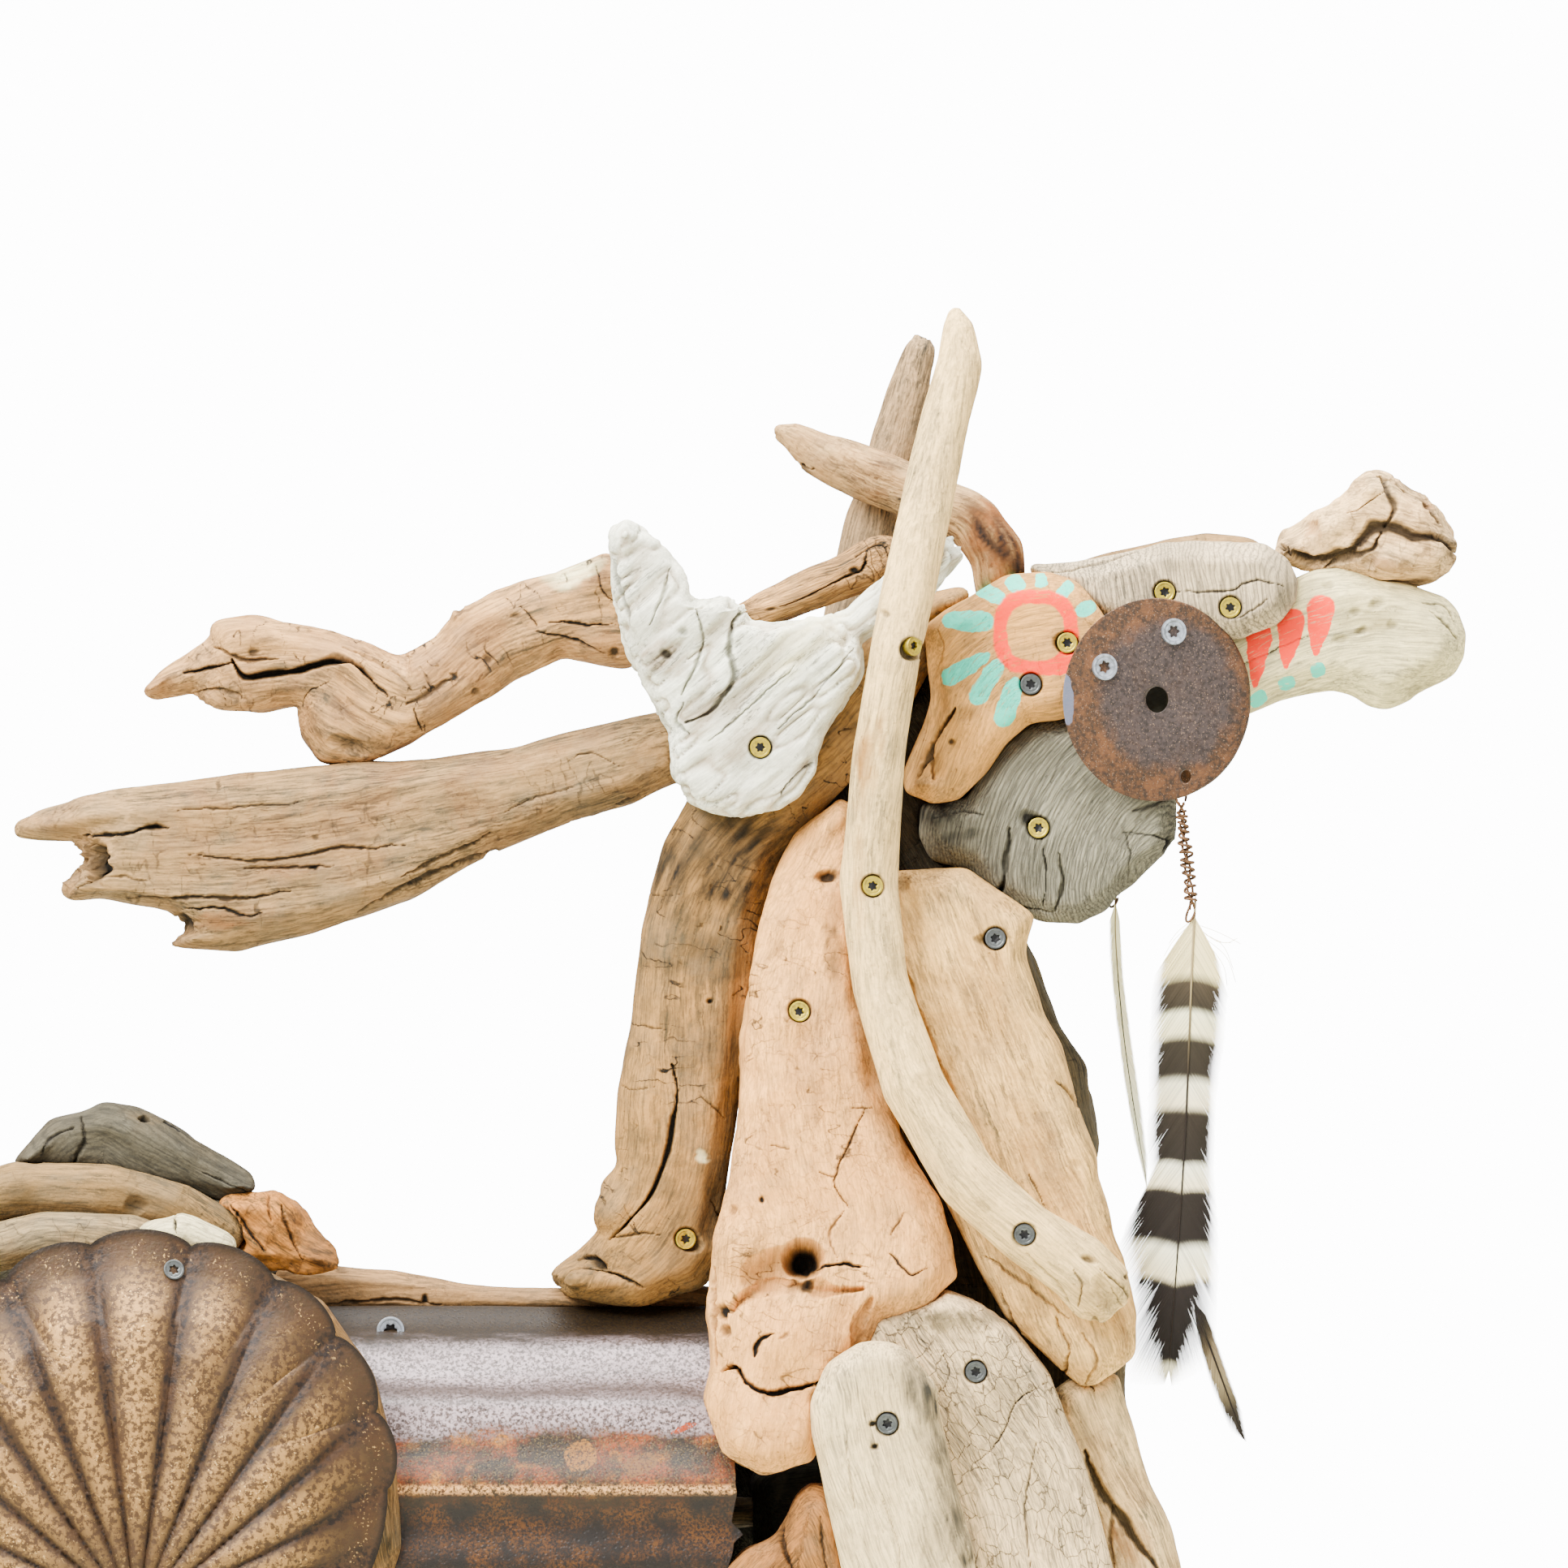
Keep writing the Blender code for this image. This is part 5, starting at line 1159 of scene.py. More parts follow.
rumpWhite = {
    "voxel": 1.5, "grain": [(174, 1530), (220, 1510), (295, 1535)], "light": (234, 227, 216), "dark": (206, 190, 170),
    "warm": (210, 184, 150), "lumps": (1.4, 14), "cracks": [crackAt([(218, 1494), (222, 1515)], 3, 2.0)],
}
rumpOrange = {
    "voxel": 1.5, "grain": [(280, 1480), (330, 1520), (400, 1560)], "smoothing": 4, "light": (216, 178, 124),
    "dark": (150, 114, 74), "warm": (186, 126, 62), "deep": (56, 42, 34), "patches": 0.5, "checks": 0.7,
    "splits": 0.7, "streaks": 0.8, "lumps": (2.6, 11), "ridges": (1.0, 4.5),
    "cracks": [
        crackAt([(284, 1486), (306, 1516), (326, 1540)], 4, 2.6),
        crackAt([(352, 1480), (362, 1510), (376, 1548)], 4, 2.4, 0.7),
        crackAt([(330, 1470), (338, 1500)], 3, 1.6, 0.6),
    ],
    "stains": [stainAt("dark", (396, 1540, 22, 34, -10), 0.8), stainAt("dark", (370, 1492, 10, 16, 0), 0.8)],
    "shifts": [shiftAt((385, 1500, 70, 70, 40), (-6, 6))],
}
spineBoard = {
    "voxel": 1.6, "grain": [(256, 1590), (560, 1580), (880, 1600)], "light": (208, 180, 150), "dark": (160, 130, 102),
    "warm": (200, 160, 120), "splits": 0.6, "checks": 0.2, "lumps": (0.6, 26), "rings": 0.3,
    "pits": [pitAt((520, 1606, 6, 9, 0), 1.4), pitAt((417, 1567, 9, 4, 0), 0.6, 0.5)],
    "cracks": [crackAt([(400, 1612), (470, 1606), (540, 1612)], 4, 1.4, 0.8)],
    "stains": [stainAt("dark", (480, 1616, 120, 10, 0), 0.7)], "shifts": [shiftAt((550, 1566, 230, 34, 3), (0, 7))],
}
haunchBoard = {
    "voxel": 2.0, "grain": [(300, 1540), (440, 1650), (480, 1900)], "light": (196, 164, 126), "dark": (130, 98, 68),
    "warm": (214, 178, 136), "splits": 0.4, "checks": 0.1, "rings": 0.3,
}

carvedNear = {
    "mane_stick": maneStick, "mane_stick_rear": maneStickRear, "mane_horn": maneHorn,
    "mane_branch_upper": maneBranchUpper, "mane_branch_lower": maneBranchLower, "mane_wing": maneWing,
    "mane_branch_middle": maneBranchMiddle, "crest_log": crestLog, "neck_main": neckMain, "neck_front": neckFront,
    "neck_far_front": neckFarFront, "jaw": jaw, "cheek": cheek, "brow": brow, "muzzle": muzzle,
    "nose_burl": noseBurl, "shoulder_slab": shoulderSlab, "shoulder_light": shoulderLight, "elbow": elbow,
    "chest_edge": chestEdge, "rump_grey": rumpGrey, "rump_tan": rumpTan, "rump_grey_low": rumpGreyLow,
    "rump_white": rumpWhite, "rump_orange": rumpOrange, "spine_board": spineBoard, "haunch_board": haunchBoard,
}

# The pieces that the photograph doesn't show are plainer, with the same carving

farWood = {"voxel": 2.4, "lumps": (1.4, 22), "ridges": (0.6, 6)}
paleWood = {**farWood, "light": (222, 206, 180), "dark": (184, 162, 132), "warm": (202, 170, 130)}
tanWood = {**farWood, "light": (204, 176, 140), "dark": (154, 126, 96), "warm": (190, 146, 98)}
brownWood = {**farWood, "light": (178, 146, 108), "dark": (120, 94, 68), "warm": (156, 114, 74)}
greyWood = {**farWood, "light": (178, 166, 150), "dark": (126, 114, 100), "warm": (152, 134, 112), "rings": 0.4}

carvedFar = {
    "brow_far": {**tanWood, "grain": [(1290, 720), (1440, 700), (1590, 720)], "rings": 0.4},
    "cheek_far": {**tanWood, "grain": [(1140, 960), (1200, 820), (1390, 770)]},
    "jaw_far": {**greyWood, "grain": [(1420, 890), (1290, 1000), (1276, 1140)]},
    "throat_piece": {**brownWood, "light": (120, 92, 66), "dark": (70, 50, 36),
                     "grain": [(1040, 760), (1150, 900), (1280, 1120)]},
    "neck_far": {**tanWood, "grain": [(1060, 960), (1100, 1300), (1180, 1780)], "checks": 0.8},
    "shoulder_far": {**greyWood, "light": (96, 84, 70), "dark": (58, 48, 38),
                     "grain": [(960, 1600), (1100, 1850), (1300, 2150)], "net": 0.6,
                     "shifts": [shiftAt((960, 1860, 110, 160, 0), (-46, 0))]},
    # the chest log's light and dark are much darker than brownWood: painted shade, the log lying in the hollow behind
    # the elbow
    "chest_log": {**brownWood, "light": (96, 80, 62), "dark": (52, 42, 34),
                  "grain": [(986, 1880), (1200, 1880), (1400, 1880)],
                  "shifts": [shiftAt((990, 1880, 150, 110, 0), (-62, 0))]},
    "drum_bar": {**brownWood, "grain": [(212, 1868), (1030, 1868)]},
    "haunch_block": {**brownWood, "grain": [(60, 1560), (80, 1850), (100, 2120)]},
    "haunch_far": {**tanWood, "grain": [(-60, 1600), (200, 1800), (440, 2100)]},
    "rump_far": {**greyWood, "grain": [(-110, 1560), (120, 1470), (360, 1600)]},
    "tail_upper": {**tanWood, "grain": [(9, 1560), (-200, 1640), (-330, 1870)]},
    "tail_lower": {**paleWood, "grain": [(-330, 1780), (-350, 2100), (-320, 2400)]},
    "foreleg_near_upper": {**tanWood, "grain": [(1150, 1980), (1160, 2220), (1180, 2460)], "checks": 0.7},
    "foreleg_near_lower": {**greyWood, "grain": [(1180, 2446), (1200, 2750), (1200, 3067)]},
    "foreleg_far_upper": {**paleWood, "grain": [(1260, 1980), (1270, 2220), (1300, 2460)]},
    "foreleg_far_lower": {**brownWood, "grain": [(1300, 2440), (1320, 2750), (1320, 3067)]},
    "hindleg_near_upper": {**brownWood, "grain": [(160, 1890), (100, 2200), (10, 2460)]},
    "hindleg_near_lower": {**paleWood, "grain": [(4, 2420), (50, 2780), (94, 3067)]},
    "hindleg_far_upper": {**tanWood, "grain": [(200, 1890), (180, 2200), (96, 2460)]},
    "hindleg_far_lower": {**greyWood, "grain": [(90, 2420), (156, 2780), (212, 3067)]},
}

carved = {}
for node, look in {**carvedNear, **carvedFar}.items():
    carved[node] = carveWood(node, look)
print("carved", len(carved), "pieces of wood and bone")
sys.stdout.flush()

# Metal: sheets are flat grids rolled and pressed into shape


def flatSheet(name, across, along):  # a grid of points with both of its sides from 0 to 1, ready to be bent
    bpy.ops.mesh.primitive_grid_add(x_subdivisions=across, y_subdivisions=along, size=1)
    obj = bpy.context.active_object
    obj.name = name
    obj.data.name = name
    return obj, readPoints(obj.data)[:, :2] + 0.5


def closeSeam(obj):
    chooseOnly(obj)
    bpy.ops.object.mode_set(mode="EDIT")
    bpy.ops.mesh.select_all(action="SELECT")
    bpy.ops.mesh.remove_doubles(threshold=0.00002)
    bpy.ops.mesh.normals_make_consistent(inside=False)
    bpy.ops.object.mode_set(mode="OBJECT")


def finishPiece(obj, node, material=None, angle=None):
    if material:
        obj.data.materials.clear()
        obj.data.materials.append(material)
    chooseOnly(obj)
    if angle:
        bpy.ops.object.shade_smooth_by_angle(angle=math.radians(angle))
    else:
        bpy.ops.object.shade_smooth()
    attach(obj, "root")
    if node:
        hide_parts(node)


# film: the pale lavender of a painted reflection of the softbox on the drum's upper facets
drum = {"radius": 85.5, "flute": 3.5, "flutes": 16, "wall": 1.4, "rear": -150, "front": 69, "axisRow": 1876,
        "body": (84, 50, 28), "rust": (190, 96, 20), "ochre": (204, 146, 40), "film": (214, 204, 206)}


def drumMaterial(look):
    material, tree, shader = newMaterial("rusty varnished drum with painted reflection")
    where = objectPlace(tree)
    parts = splitParts(tree, where)
    rust = useGroup(tree, rustGroup, {"Place": where, "Size": 70.0})
    row = calc(tree, "SUBTRACT", groundRow, calc(tree, "DIVIDE", parts[2], square))
    wander = calc(tree, "MULTIPLY", calc(tree, "SUBTRACT", cloud(tree, vectorCalc(
        tree, "MULTIPLY", where, (22, 60, 60)), 1, 4, 0.6), 0.5), 56.0)
    straight = row
    row = calc(tree, "ADD", row, wander)
    near = calc(tree, "LESS_THAN", parts[1], 0.0)

    def between(*rows):
        return calc(tree, "MULTIPLY", ease(tree, row, rows[0], rows[1]), ease(tree, row, rows[2], rows[3], 1.0, 0.0))

    # film and middle mark the band of rows 1642 to 1774 on the near side: a painted reflection of the softbox, a
    # mauve middle under patches of pale lavender film; the film also gives a thin coat for gloss
    film = calc(tree, "MULTIPLY", calc(tree, "MAXIMUM", between(1642, 1674, 1678, 1724),
                                       between(1708, 1744, 1748, 1774)), near)
    middle = calc(tree, "MULTIPLY", between(1650, 1668, 1750, 1770), near)
    sandy = calc(tree, "MULTIPLY", between(1752, 1772, 1824, 1840), near)
    # edge: a painted highlight, a thin pale line along the ridge between rows 1822 and 1840 on the near side
    edge = calc(tree, "MULTIPLY", ease(tree, straight, 1822, 1829), ease(tree, straight, 1831, 1840, 1.0, 0.0))
    edge = calc(tree, "MULTIPLY", calc(tree, "MULTIPLY", edge, near), 0.7)
    low = ease(tree, row, 1834, 1856)
    fine = cloud(tree, where, 900, 4, 0.7)
    colour = mixColour(tree, ease(tree, fine, 0.42, 0.6), paint(*look["body"]), paint(52, 32, 22))
    # the mauve middle of the painted reflection band
    colour = mixColour(tree, calc(tree, "MULTIPLY", middle, 0.8), colour, paint(132, 92, 84))
    orange = mixColour(tree, ease(tree, cloud(tree, where, 95, 4), 0.5, 0.62), paint(*look["rust"]),
                       paint(*look["ochre"]))
    grain = ease(tree, fine, 0.4, 0.62)
    share = calc(tree, "ADD", calc(tree, "MULTIPLY", sandy, 1.1), calc(tree, "MULTIPLY", low, 0.3))
    share = calc(tree, "MULTIPLY", calc(tree, "MULTIPLY", share, rust["Bloom"]), calc(tree, "ADD", grain, 0.25),
                 clamp=True)
    colour = mixColour(tree, share, colour, orange)
    sand = calc(tree, "MULTIPLY", sandy, ease(tree, cloud(tree, where, 1300, 3), 0.54, 0.62, 0.0, 0.45))
    colour = mixColour(tree, sand, colour, paint(180, 150, 104))
    colour = mixColour(tree, calc(tree, "MULTIPLY", low, 0.9), colour, mixColour(
        tree, calc(tree, "MULTIPLY", rust["Bloom"], grain), paint(38, 22, 10), paint(150, 78, 12)))
    pits = ease(tree, cells(tree, where, 520, "F1"), 0.18, 0.36, 1.0, 0.0)
    # the pale lavender of the painted reflection, in patches
    paintedReflection = calc(tree, "MULTIPLY", film, ease(tree, cloud(tree, where, 700, 4, 0.65), 0.4, 0.58, 0.1, 0.95))
    colour = mixColour(tree, paintedReflection, colour, paint(*look["film"]))
    colour = mixColour(tree, calc(tree, "MULTIPLY", pits, calc(tree, "MULTIPLY", middle, 0.7)), colour,
                       paint(70, 50, 48))
    # the painted ridge highlight, pale, broken up by the grain
    colour = mixColour(tree, calc(tree, "MULTIPLY", edge, grain), colour, paint(236, 214, 190))
    for column, line, long, wide, tint in ((716, 1790, 20, 18, (196, 142, 62)), (790, 1800, 22, 12, (176, 118, 56)),
                                           (842, 1757, 17, 3.4, (206, 96, 48))):
        spot = useGroup(tree, strokeGroup, {"Place": where, "Column": column, "Row": line, "Turn": -0.4,
                                            "Long": long, "Wide": wide})["Mask"]
        spot = calc(tree, "MULTIPLY", spot, ease(tree, fine, 0.4, 0.56))
        colour = mixColour(tree, spot, colour, paint(*tint))
    feed(tree, shader.inputs["Base Color"], colour)
    feed(tree, shader.inputs["Roughness"], calc(tree, "SUBTRACT", 0.5, calc(tree, "MULTIPLY", film, 0.15)))
    shader.inputs["Specular IOR Level"].default_value = 0.25
    feed(tree, shader.inputs["Coat Weight"], calc(tree, "MULTIPLY", film, 0.15))
    shader.inputs["Coat Roughness"].default_value = 0.2
    height = calc(tree, "ADD", rust["Height"], calc(tree, "MULTIPLY", pits, -0.5))
    addBump(tree, shader, height, 0.6, 0.0003)
    return material


def makeDrum(size):
    obj, flat = flatSheet("fluted_drum", 320, 150)
    turn = flat[:, 0] * 2 * math.pi
    wave = 0.5 + 0.5 * np.cos(size["flutes"] * turn)
    radius = size["radius"] - size["flute"] * wave ** 0.8
    around = np.column_stack([np.cos(turn), np.sin(turn), np.zeros(len(turn))])
    tear = 1.2 * ripple(around, 0.16, 5) + 0.8 * ripple(around, 0.05, 6)
    angle = np.degrees(turn)
    tear += 5.2 * np.clip(1 - np.abs(angle - 182) / 2.8, 0, 1)
    tear -= 2.6 * np.clip(1 - np.abs(angle - 190) / 4, 0, 1)
    x = size["rear"] + flat[:, 1] * (size["front"] - size["rear"] + tear - 1)
    radius += 0.5 * ripple(np.column_stack([x, angle, angle * 0]), (34, 22, 1), 7)
    top = np.clip(1 - np.abs(angle - 90) / 9, 0, 1) * np.clip(1 - np.abs(x + 72) / 20, 0, 1)
    radius -= 2.4 * top
    points = np.column_stack([x, radius * np.cos(turn), radius * np.sin(turn)]) * mm
    points[:, 2] += (groundRow - size["axisRow"]) * square
    writePoints(obj.data, points)
    closeSeam(obj)
    applyModifier(obj, "SOLIDIFY", thickness=size["wall"] * mm, offset=-1)
    finishPiece(obj, "barrel", drumMaterial(size), 40)
    return obj


pan = {"radius": 101.6, "lobe": 4.6, "depth": 20, "wall": 1.3, "rimY": -93, "middle": (178, 1828),
       "fan": (177, 1982), "ridge": 3.2,
       "notches": (-33, -15, 0, 18, 38, 57, 78, 101.5, 122.5, 142, 162, 180, 195, 213, 236, 258, 282, 304, 327),
       "furrows": (-40, -24, -11, 1.4, 14.4, 26.3, 40.2, 54.4, 67.8, 82, 97.5, 111.8, 125.6, 139.4, 153.3, 165.2,
                   178.2, 191, 204, 220, 245, 270, 295, 320),
       # bronze: the colour of the ridge crests, partly worn metal, partly a painted highlight
       "rust": (122, 74, 54), "deep": (62, 40, 36), "bronze": (214, 184, 146)}


def lobePhase(angle, notches):  # 0 at a notch, up to 1 midway between two notches
    angle = np.degrees(angle)
    angle = np.where(angle < notches[0], angle + 360, angle)
    edges = np.array(list(notches) + [notches[0] + 360], float)
    slot = np.clip(np.searchsorted(edges, angle, side="right") - 1, 0, len(edges) - 2)
    share = (angle - edges[slot]) / (edges[slot + 1] - edges[slot])
    return np.sin(np.pi * np.clip(share, 0, 1))


def panMaterial(look):
    material, tree, shader = newMaterial("rusty baking pan")
    where = objectPlace(tree)
    raised = splitParts(tree, attribute(tree, "tone", "Color"), "RGB")
    rust = useGroup(tree, rustGroup, {"Place": where, "Size": 60.0})
    fine = cloud(tree, where, 420, 4, 0.65)
    colour = mixColour(tree, ease(tree, fine, 0.4, 0.6), paint(*look["rust"]), paint(*look["deep"]))
    colour = mixColour(tree, ease(tree, rust["Bloom"], 0.5, 1.0, 0.0, 0.4), colour, paint(132, 74, 48))
    # bronze on the ridge crests: partly worn metal, partly a painted highlight
    share = calc(tree, "MULTIPLY", raised[0], ease(tree, fine, 0.42, 0.56, 0.1, 1.0), clamp=True)
    colour = mixColour(tree, share, colour, paint(*look["bronze"]))
    # fleck: painted glints, pale sparkles on the ridges and in a ring near the rim, with lower roughness
    fleck = ease(tree, cloud(tree, where, 900, 2), 0.6, 0.68)
    fleck = calc(tree, "MULTIPLY", fleck, calc(tree, "MULTIPLY", raised[1], ease(
        tree, cloud(tree, where, 120, 2), 0.42, 0.6)))
    colour = mixColour(tree, fleck, colour, paint(226, 206, 180))
    colour = mixColour(tree, raised[2], colour, paint(52, 34, 26))
    feed(tree, shader.inputs["Base Color"], colour)
    feed(tree, shader.inputs["Roughness"], calc(tree, "SUBTRACT", 0.5, calc(tree, "MULTIPLY", fleck, 0.2)))
    shader.inputs["Metallic"].default_value = 0.3
    shader.inputs["Specular IOR Level"].default_value = 0.2
    addBump(tree, shader, rust["Height"], 0.8, 0.0007)
    return material


def makePan(size):
    obj, flat = flatSheet("scalloped_pan", 540, 84)
    turn = flat[:, 0] * 2 * math.pi
    share = flat[:, 1]
    lobe = lobePhase(turn, size["notches"]) ** 0.6
    edge = size["radius"] - size["lobe"] * (1 - lobe)
    edge *= 1 - 0.10 * np.clip(-np.sin(turn), 0, 1) ** 2
    bend = np.interp(share, (0, 0.3, 0.55, 0.68, 0.78, 0.86, 0.93, 0.985, 1.0),
                     (1.0, 0.98, 0.88, 0.7, 0.4, 0.2, 0.1, 0.04, 0.0))
    across, up = share * edge * np.cos(turn), share * edge * np.sin(turn)
    fanUp = up + (size["fan"][1] - size["middle"][1]) * square / mm
    fanOut = across - (size["fan"][0] - size["middle"][0]) * square / mm
    reach = np.hypot(fanOut, fanUp)
    ridge = lobePhase(np.arctan2(fanUp, fanOut), size["furrows"]) ** 0.8
    window = np.interp(share, (0.0, 0.6, 0.74, 0.82, 0.9, 1.0), (1, 1, 0.9, 0.4, 0.12, 0.1))
    window *= np.clip(reach / 46, 0, 1) ** 0.8 * np.where(fanUp < 0, 0.45, 1)
    spots = np.column_stack([across, up, across * 0])
    rise = size["depth"] * bend + size["ridge"] * (ridge - 0.6) * window + 0.25 * ripple(spots, 9, 21)
    rise = np.maximum(rise, 0) + 0.9 * np.clip((share - 0.97) / 0.03, 0, 1)
    points = np.column_stack([across, size["rimY"] - rise, up]) * mm
    points += np.array(place(*size["middle"]))
    writePoints(obj.data, points)
    # worn: the ridge crests, partly worn metal and partly a painted highlight
    worn = np.clip(ridge * 1.5 - 0.6, 0, 1) * window * (0.75 + 0.4 * ripple(spots, 26, 22))
    worn *= np.clip(0.35 + reach / 110, 0, 1)
    # painted glints on the ridges and in a ring of small highlights near the rim
    paintedGlints = np.clip(worn + 0.55 * np.clip(1 - np.abs(share - 0.92) / 0.05, 0, 1), 0, 1)
    rim = np.clip((share - 0.975) / 0.02, 0, 1)
    store = obj.data.attributes.new("tone", "FLOAT_COLOR", "POINT")
    store.data.foreach_set("color", np.column_stack([worn, paintedGlints, rim, rim * 0 + 1]).ravel())
    closeSeam(obj)
    applyModifier(obj, "SOLIDIFY", thickness=size["wall"] * mm, offset=0)
    finishPiece(obj, "shell_pan", panMaterial(size), 60)
    return obj


makeDrum(drum)
makePan(pan)
print("drum and pan pressed")

# Eye discs: rusty washers with a bored middle and a small hole for the feather's wire

eye = {"radius": 40, "thickness": 3, "hole": 5.2, "middle": (1426, 862), "middleY": 46, "turn": 22,
       "wireHole": (1462, 957), "wireHoleRadius": 2.6, "rust": (164, 108, 76), "deep": (104, 70, 58),
       "bright": (196, 142, 104)}


def rustMaterial(name, look, side):
    material, tree, shader = newMaterial(name)
    where = objectPlace(tree)
    parts = splitParts(tree, where)
    rust = useGroup(tree, rustGroup, {"Place": where, "Size": 110.0})
    fine = cloud(tree, where, 640, 5, 0.7)
    middle = place(*look["middle"])
    across = calc(tree, "MULTIPLY", calc(tree, "SUBTRACT", parts[0], middle.x + 0.005), 1.08)
    up = calc(tree, "SUBTRACT", parts[2], middle.z + 0.002)
    reach = calc(tree, "SQRT", calc(tree, "ADD", calc(tree, "MULTIPLY", across, across), calc(
        tree, "MULTIPLY", up, up)))
    reach = calc(tree, "ADD", reach, calc(tree, "MULTIPLY", cloud(tree, where, 120, 5, 0.65), 0.016))
    inner = ease(tree, reach, 0.033, 0.041, 1.0, 0.0)
    rusty = mixColour(tree, ease(tree, fine, 0.4, 0.6), paint(*look["rust"]), paint(*look["deep"]))
    rusty = mixColour(tree, ease(tree, rust["Bloom"], 0.45, 1.0, 0.0, 0.4), rusty, paint(*look["bright"]))
    purple = mixColour(tree, ease(tree, fine, 0.42, 0.62), paint(136, 116, 116), paint(92, 72, 70))
    colour = mixColour(tree, calc(tree, "MULTIPLY", inner, 0.9), rusty, purple)
    fleck = ease(tree, cloud(tree, where, 1500, 3), 0.6, 0.68)
    colour = mixColour(tree, calc(tree, "MULTIPLY", fleck, 0.55), colour, paint(206, 182, 170))
    steel = useGroup(tree, strokeGroup, {"Place": where, "Column": 1313, "Row": 862, "Turn": 1.5, "Long": 32,
                                         "Wide": 9})["Mask"]
    colour = mixColour(tree, calc(tree, "MULTIPLY", steel, 0.8 if side < 0 else 0.0), colour, paint(176, 182, 194))
    feed(tree, shader.inputs["Base Color"], colour)
    feed(tree, shader.inputs["Roughness"], calc(tree, "SUBTRACT", 0.6, calc(tree, "MULTIPLY", fleck, 0.2)))
    shader.inputs["Metallic"].default_value = 0.2
    shader.inputs["Specular IOR Level"].default_value = 0.25
    addBump(tree, shader, calc(tree, "ADD", rust["Height"], fine), 0.6, 0.0004)
    return material


# A bored disc, turned about its upright middle line to lie on the head. side is -1 on the near side
def makeEye(name, node, size, side):
    bpy.ops.mesh.primitive_cylinder_add(vertices=128, radius=size["radius"] * mm, depth=size["thickness"] * mm)
    disc = bpy.context.active_object
    disc.name = name
    disc.data.name = name
    turn = math.radians(size["turn"])
    holes = [((0, 0), size["hole"])]
    if side < 0:
        column, row = size["wireHole"]
        across = (column - size["middle"][0]) * square / mm / math.cos(turn)
        holes.append(((across, (size["middle"][1] - row) * square / mm), size["wireHoleRadius"]))
    for (across, up), radius in holes:
        bpy.ops.mesh.primitive_cylinder_add(vertices=48, radius=radius * mm, depth=0.02,
                                            location=(across * mm, up * mm, 0))
        drill = bpy.context.active_object
        applyModifier(disc, "BOOLEAN", operation="DIFFERENCE", object=drill, solver="EXACT")
        bpy.data.objects.remove(drill, do_unlink=True)
    applyModifier(disc, "BEVEL", width=0.0006, segments=3, angle_limit=math.radians(40))
    points = readPoints(disc.data)
    across, up, off = points.T
    rim = 1 - 0.00015 * ripple(points, 9 * mm, 31) / (size["radius"] * mm)
    x = across * rim * math.cos(turn) - off * math.sin(turn)
    y = side * (size["middleY"] * mm - across * math.sin(turn)) + side * off * math.cos(turn)
    placed = np.column_stack([x, y, up * rim])
    placed += np.array(place(*size["middle"]))
    writePoints(disc.data, placed)
    closeSeam(disc)
    finishPiece(disc, node, rustMaterial(name.replace("_", " ") + " rust", size, side), 35)
    return disc


makeEye("eye_washer", "eye_disc", eye, -1)
makeEye("eye_washer_far", "eye_disc_far", eye, 1)


# Copper wire, doubled through the hole and wrapped round itself


# A closed tube along the points, as a grid rolled up, with its ends drawn in
def tube(name, points, radius, sides=8):
    line = np.array(points, float)
    obj, flat = flatSheet(name, sides, len(line) - 1)
    steps = np.gradient(line, axis=0)
    steps /= np.linalg.norm(steps, axis=1)[:, None]
    up = np.array([0.13, 1.0, 0.21])
    sideways = np.cross(steps, up)
    sideways /= np.linalg.norm(sideways, axis=1)[:, None]
    other = np.cross(steps, sideways)
    index = np.rint(flat[:, 1] * (len(line) - 1)).astype(int)
    turn = flat[:, 0] * 2 * math.pi
    width = np.broadcast_to(np.array(radius, float), (len(line),)).copy()
    width[[0, -1]] = 0.0
    points = line[index] + width[index][:, None] * (
        np.cos(turn)[:, None] * sideways[index] + np.sin(turn)[:, None] * other[index])
    writePoints(obj.data, points)
    closeSeam(obj)
    return obj


def joinPieces(objects, name):
    bpy.ops.object.select_all(action="DESELECT")
    for obj in objects:
        obj.select_set(True)
    bpy.context.view_layer.objects.active = objects[0]
    bpy.ops.object.join()
    objects[0].name = name
    objects[0].data.name = name
    return objects[0]


def plainMaterial(name, colour, metal, rough, speckle=0.25, scale=700, dark=(40, 30, 24)):
    material, tree, shader = newMaterial(name)
    where = objectPlace(tree)
    spots = ease(tree, cloud(tree, where, scale, 3), 0.45, 0.7, 0.0, speckle)
    feed(tree, shader.inputs["Base Color"], mixColour(tree, spots, paint(*colour), paint(*dark)))
    shader.inputs["Metallic"].default_value = metal
    feed(tree, shader.inputs["Roughness"], calc(tree, "ADD", rough, spots))
    addBump(tree, shader, cloud(tree, where, scale * 1.6, 2), 0.25, 0.0002)
    return material


copperMaterial = plainMaterial("copper wire", (176, 124, 84), 0.5, 0.45, 0.6, 500, (84, 56, 40))


# A doubled wire from the disc's hole to the quill, with the tail wound round it on the lower part
wire = {"strand": 0.5, "wrap": 0.56, "wrapReach": 2.1, "loopWide": 2.1, "loopDeep": 3.0, "loopHigh": 5.2}
nearWire = {"route": [(1456, 988), (1458, 1020), (1464, 1070), (1470, 1122)], "y": -41.4, "turns": 13}
farWire = {"route": [(1383, 968), (1381, 1010), (1380, 1060), (1382, 1106)], "y": 51.5, "turns": 8}


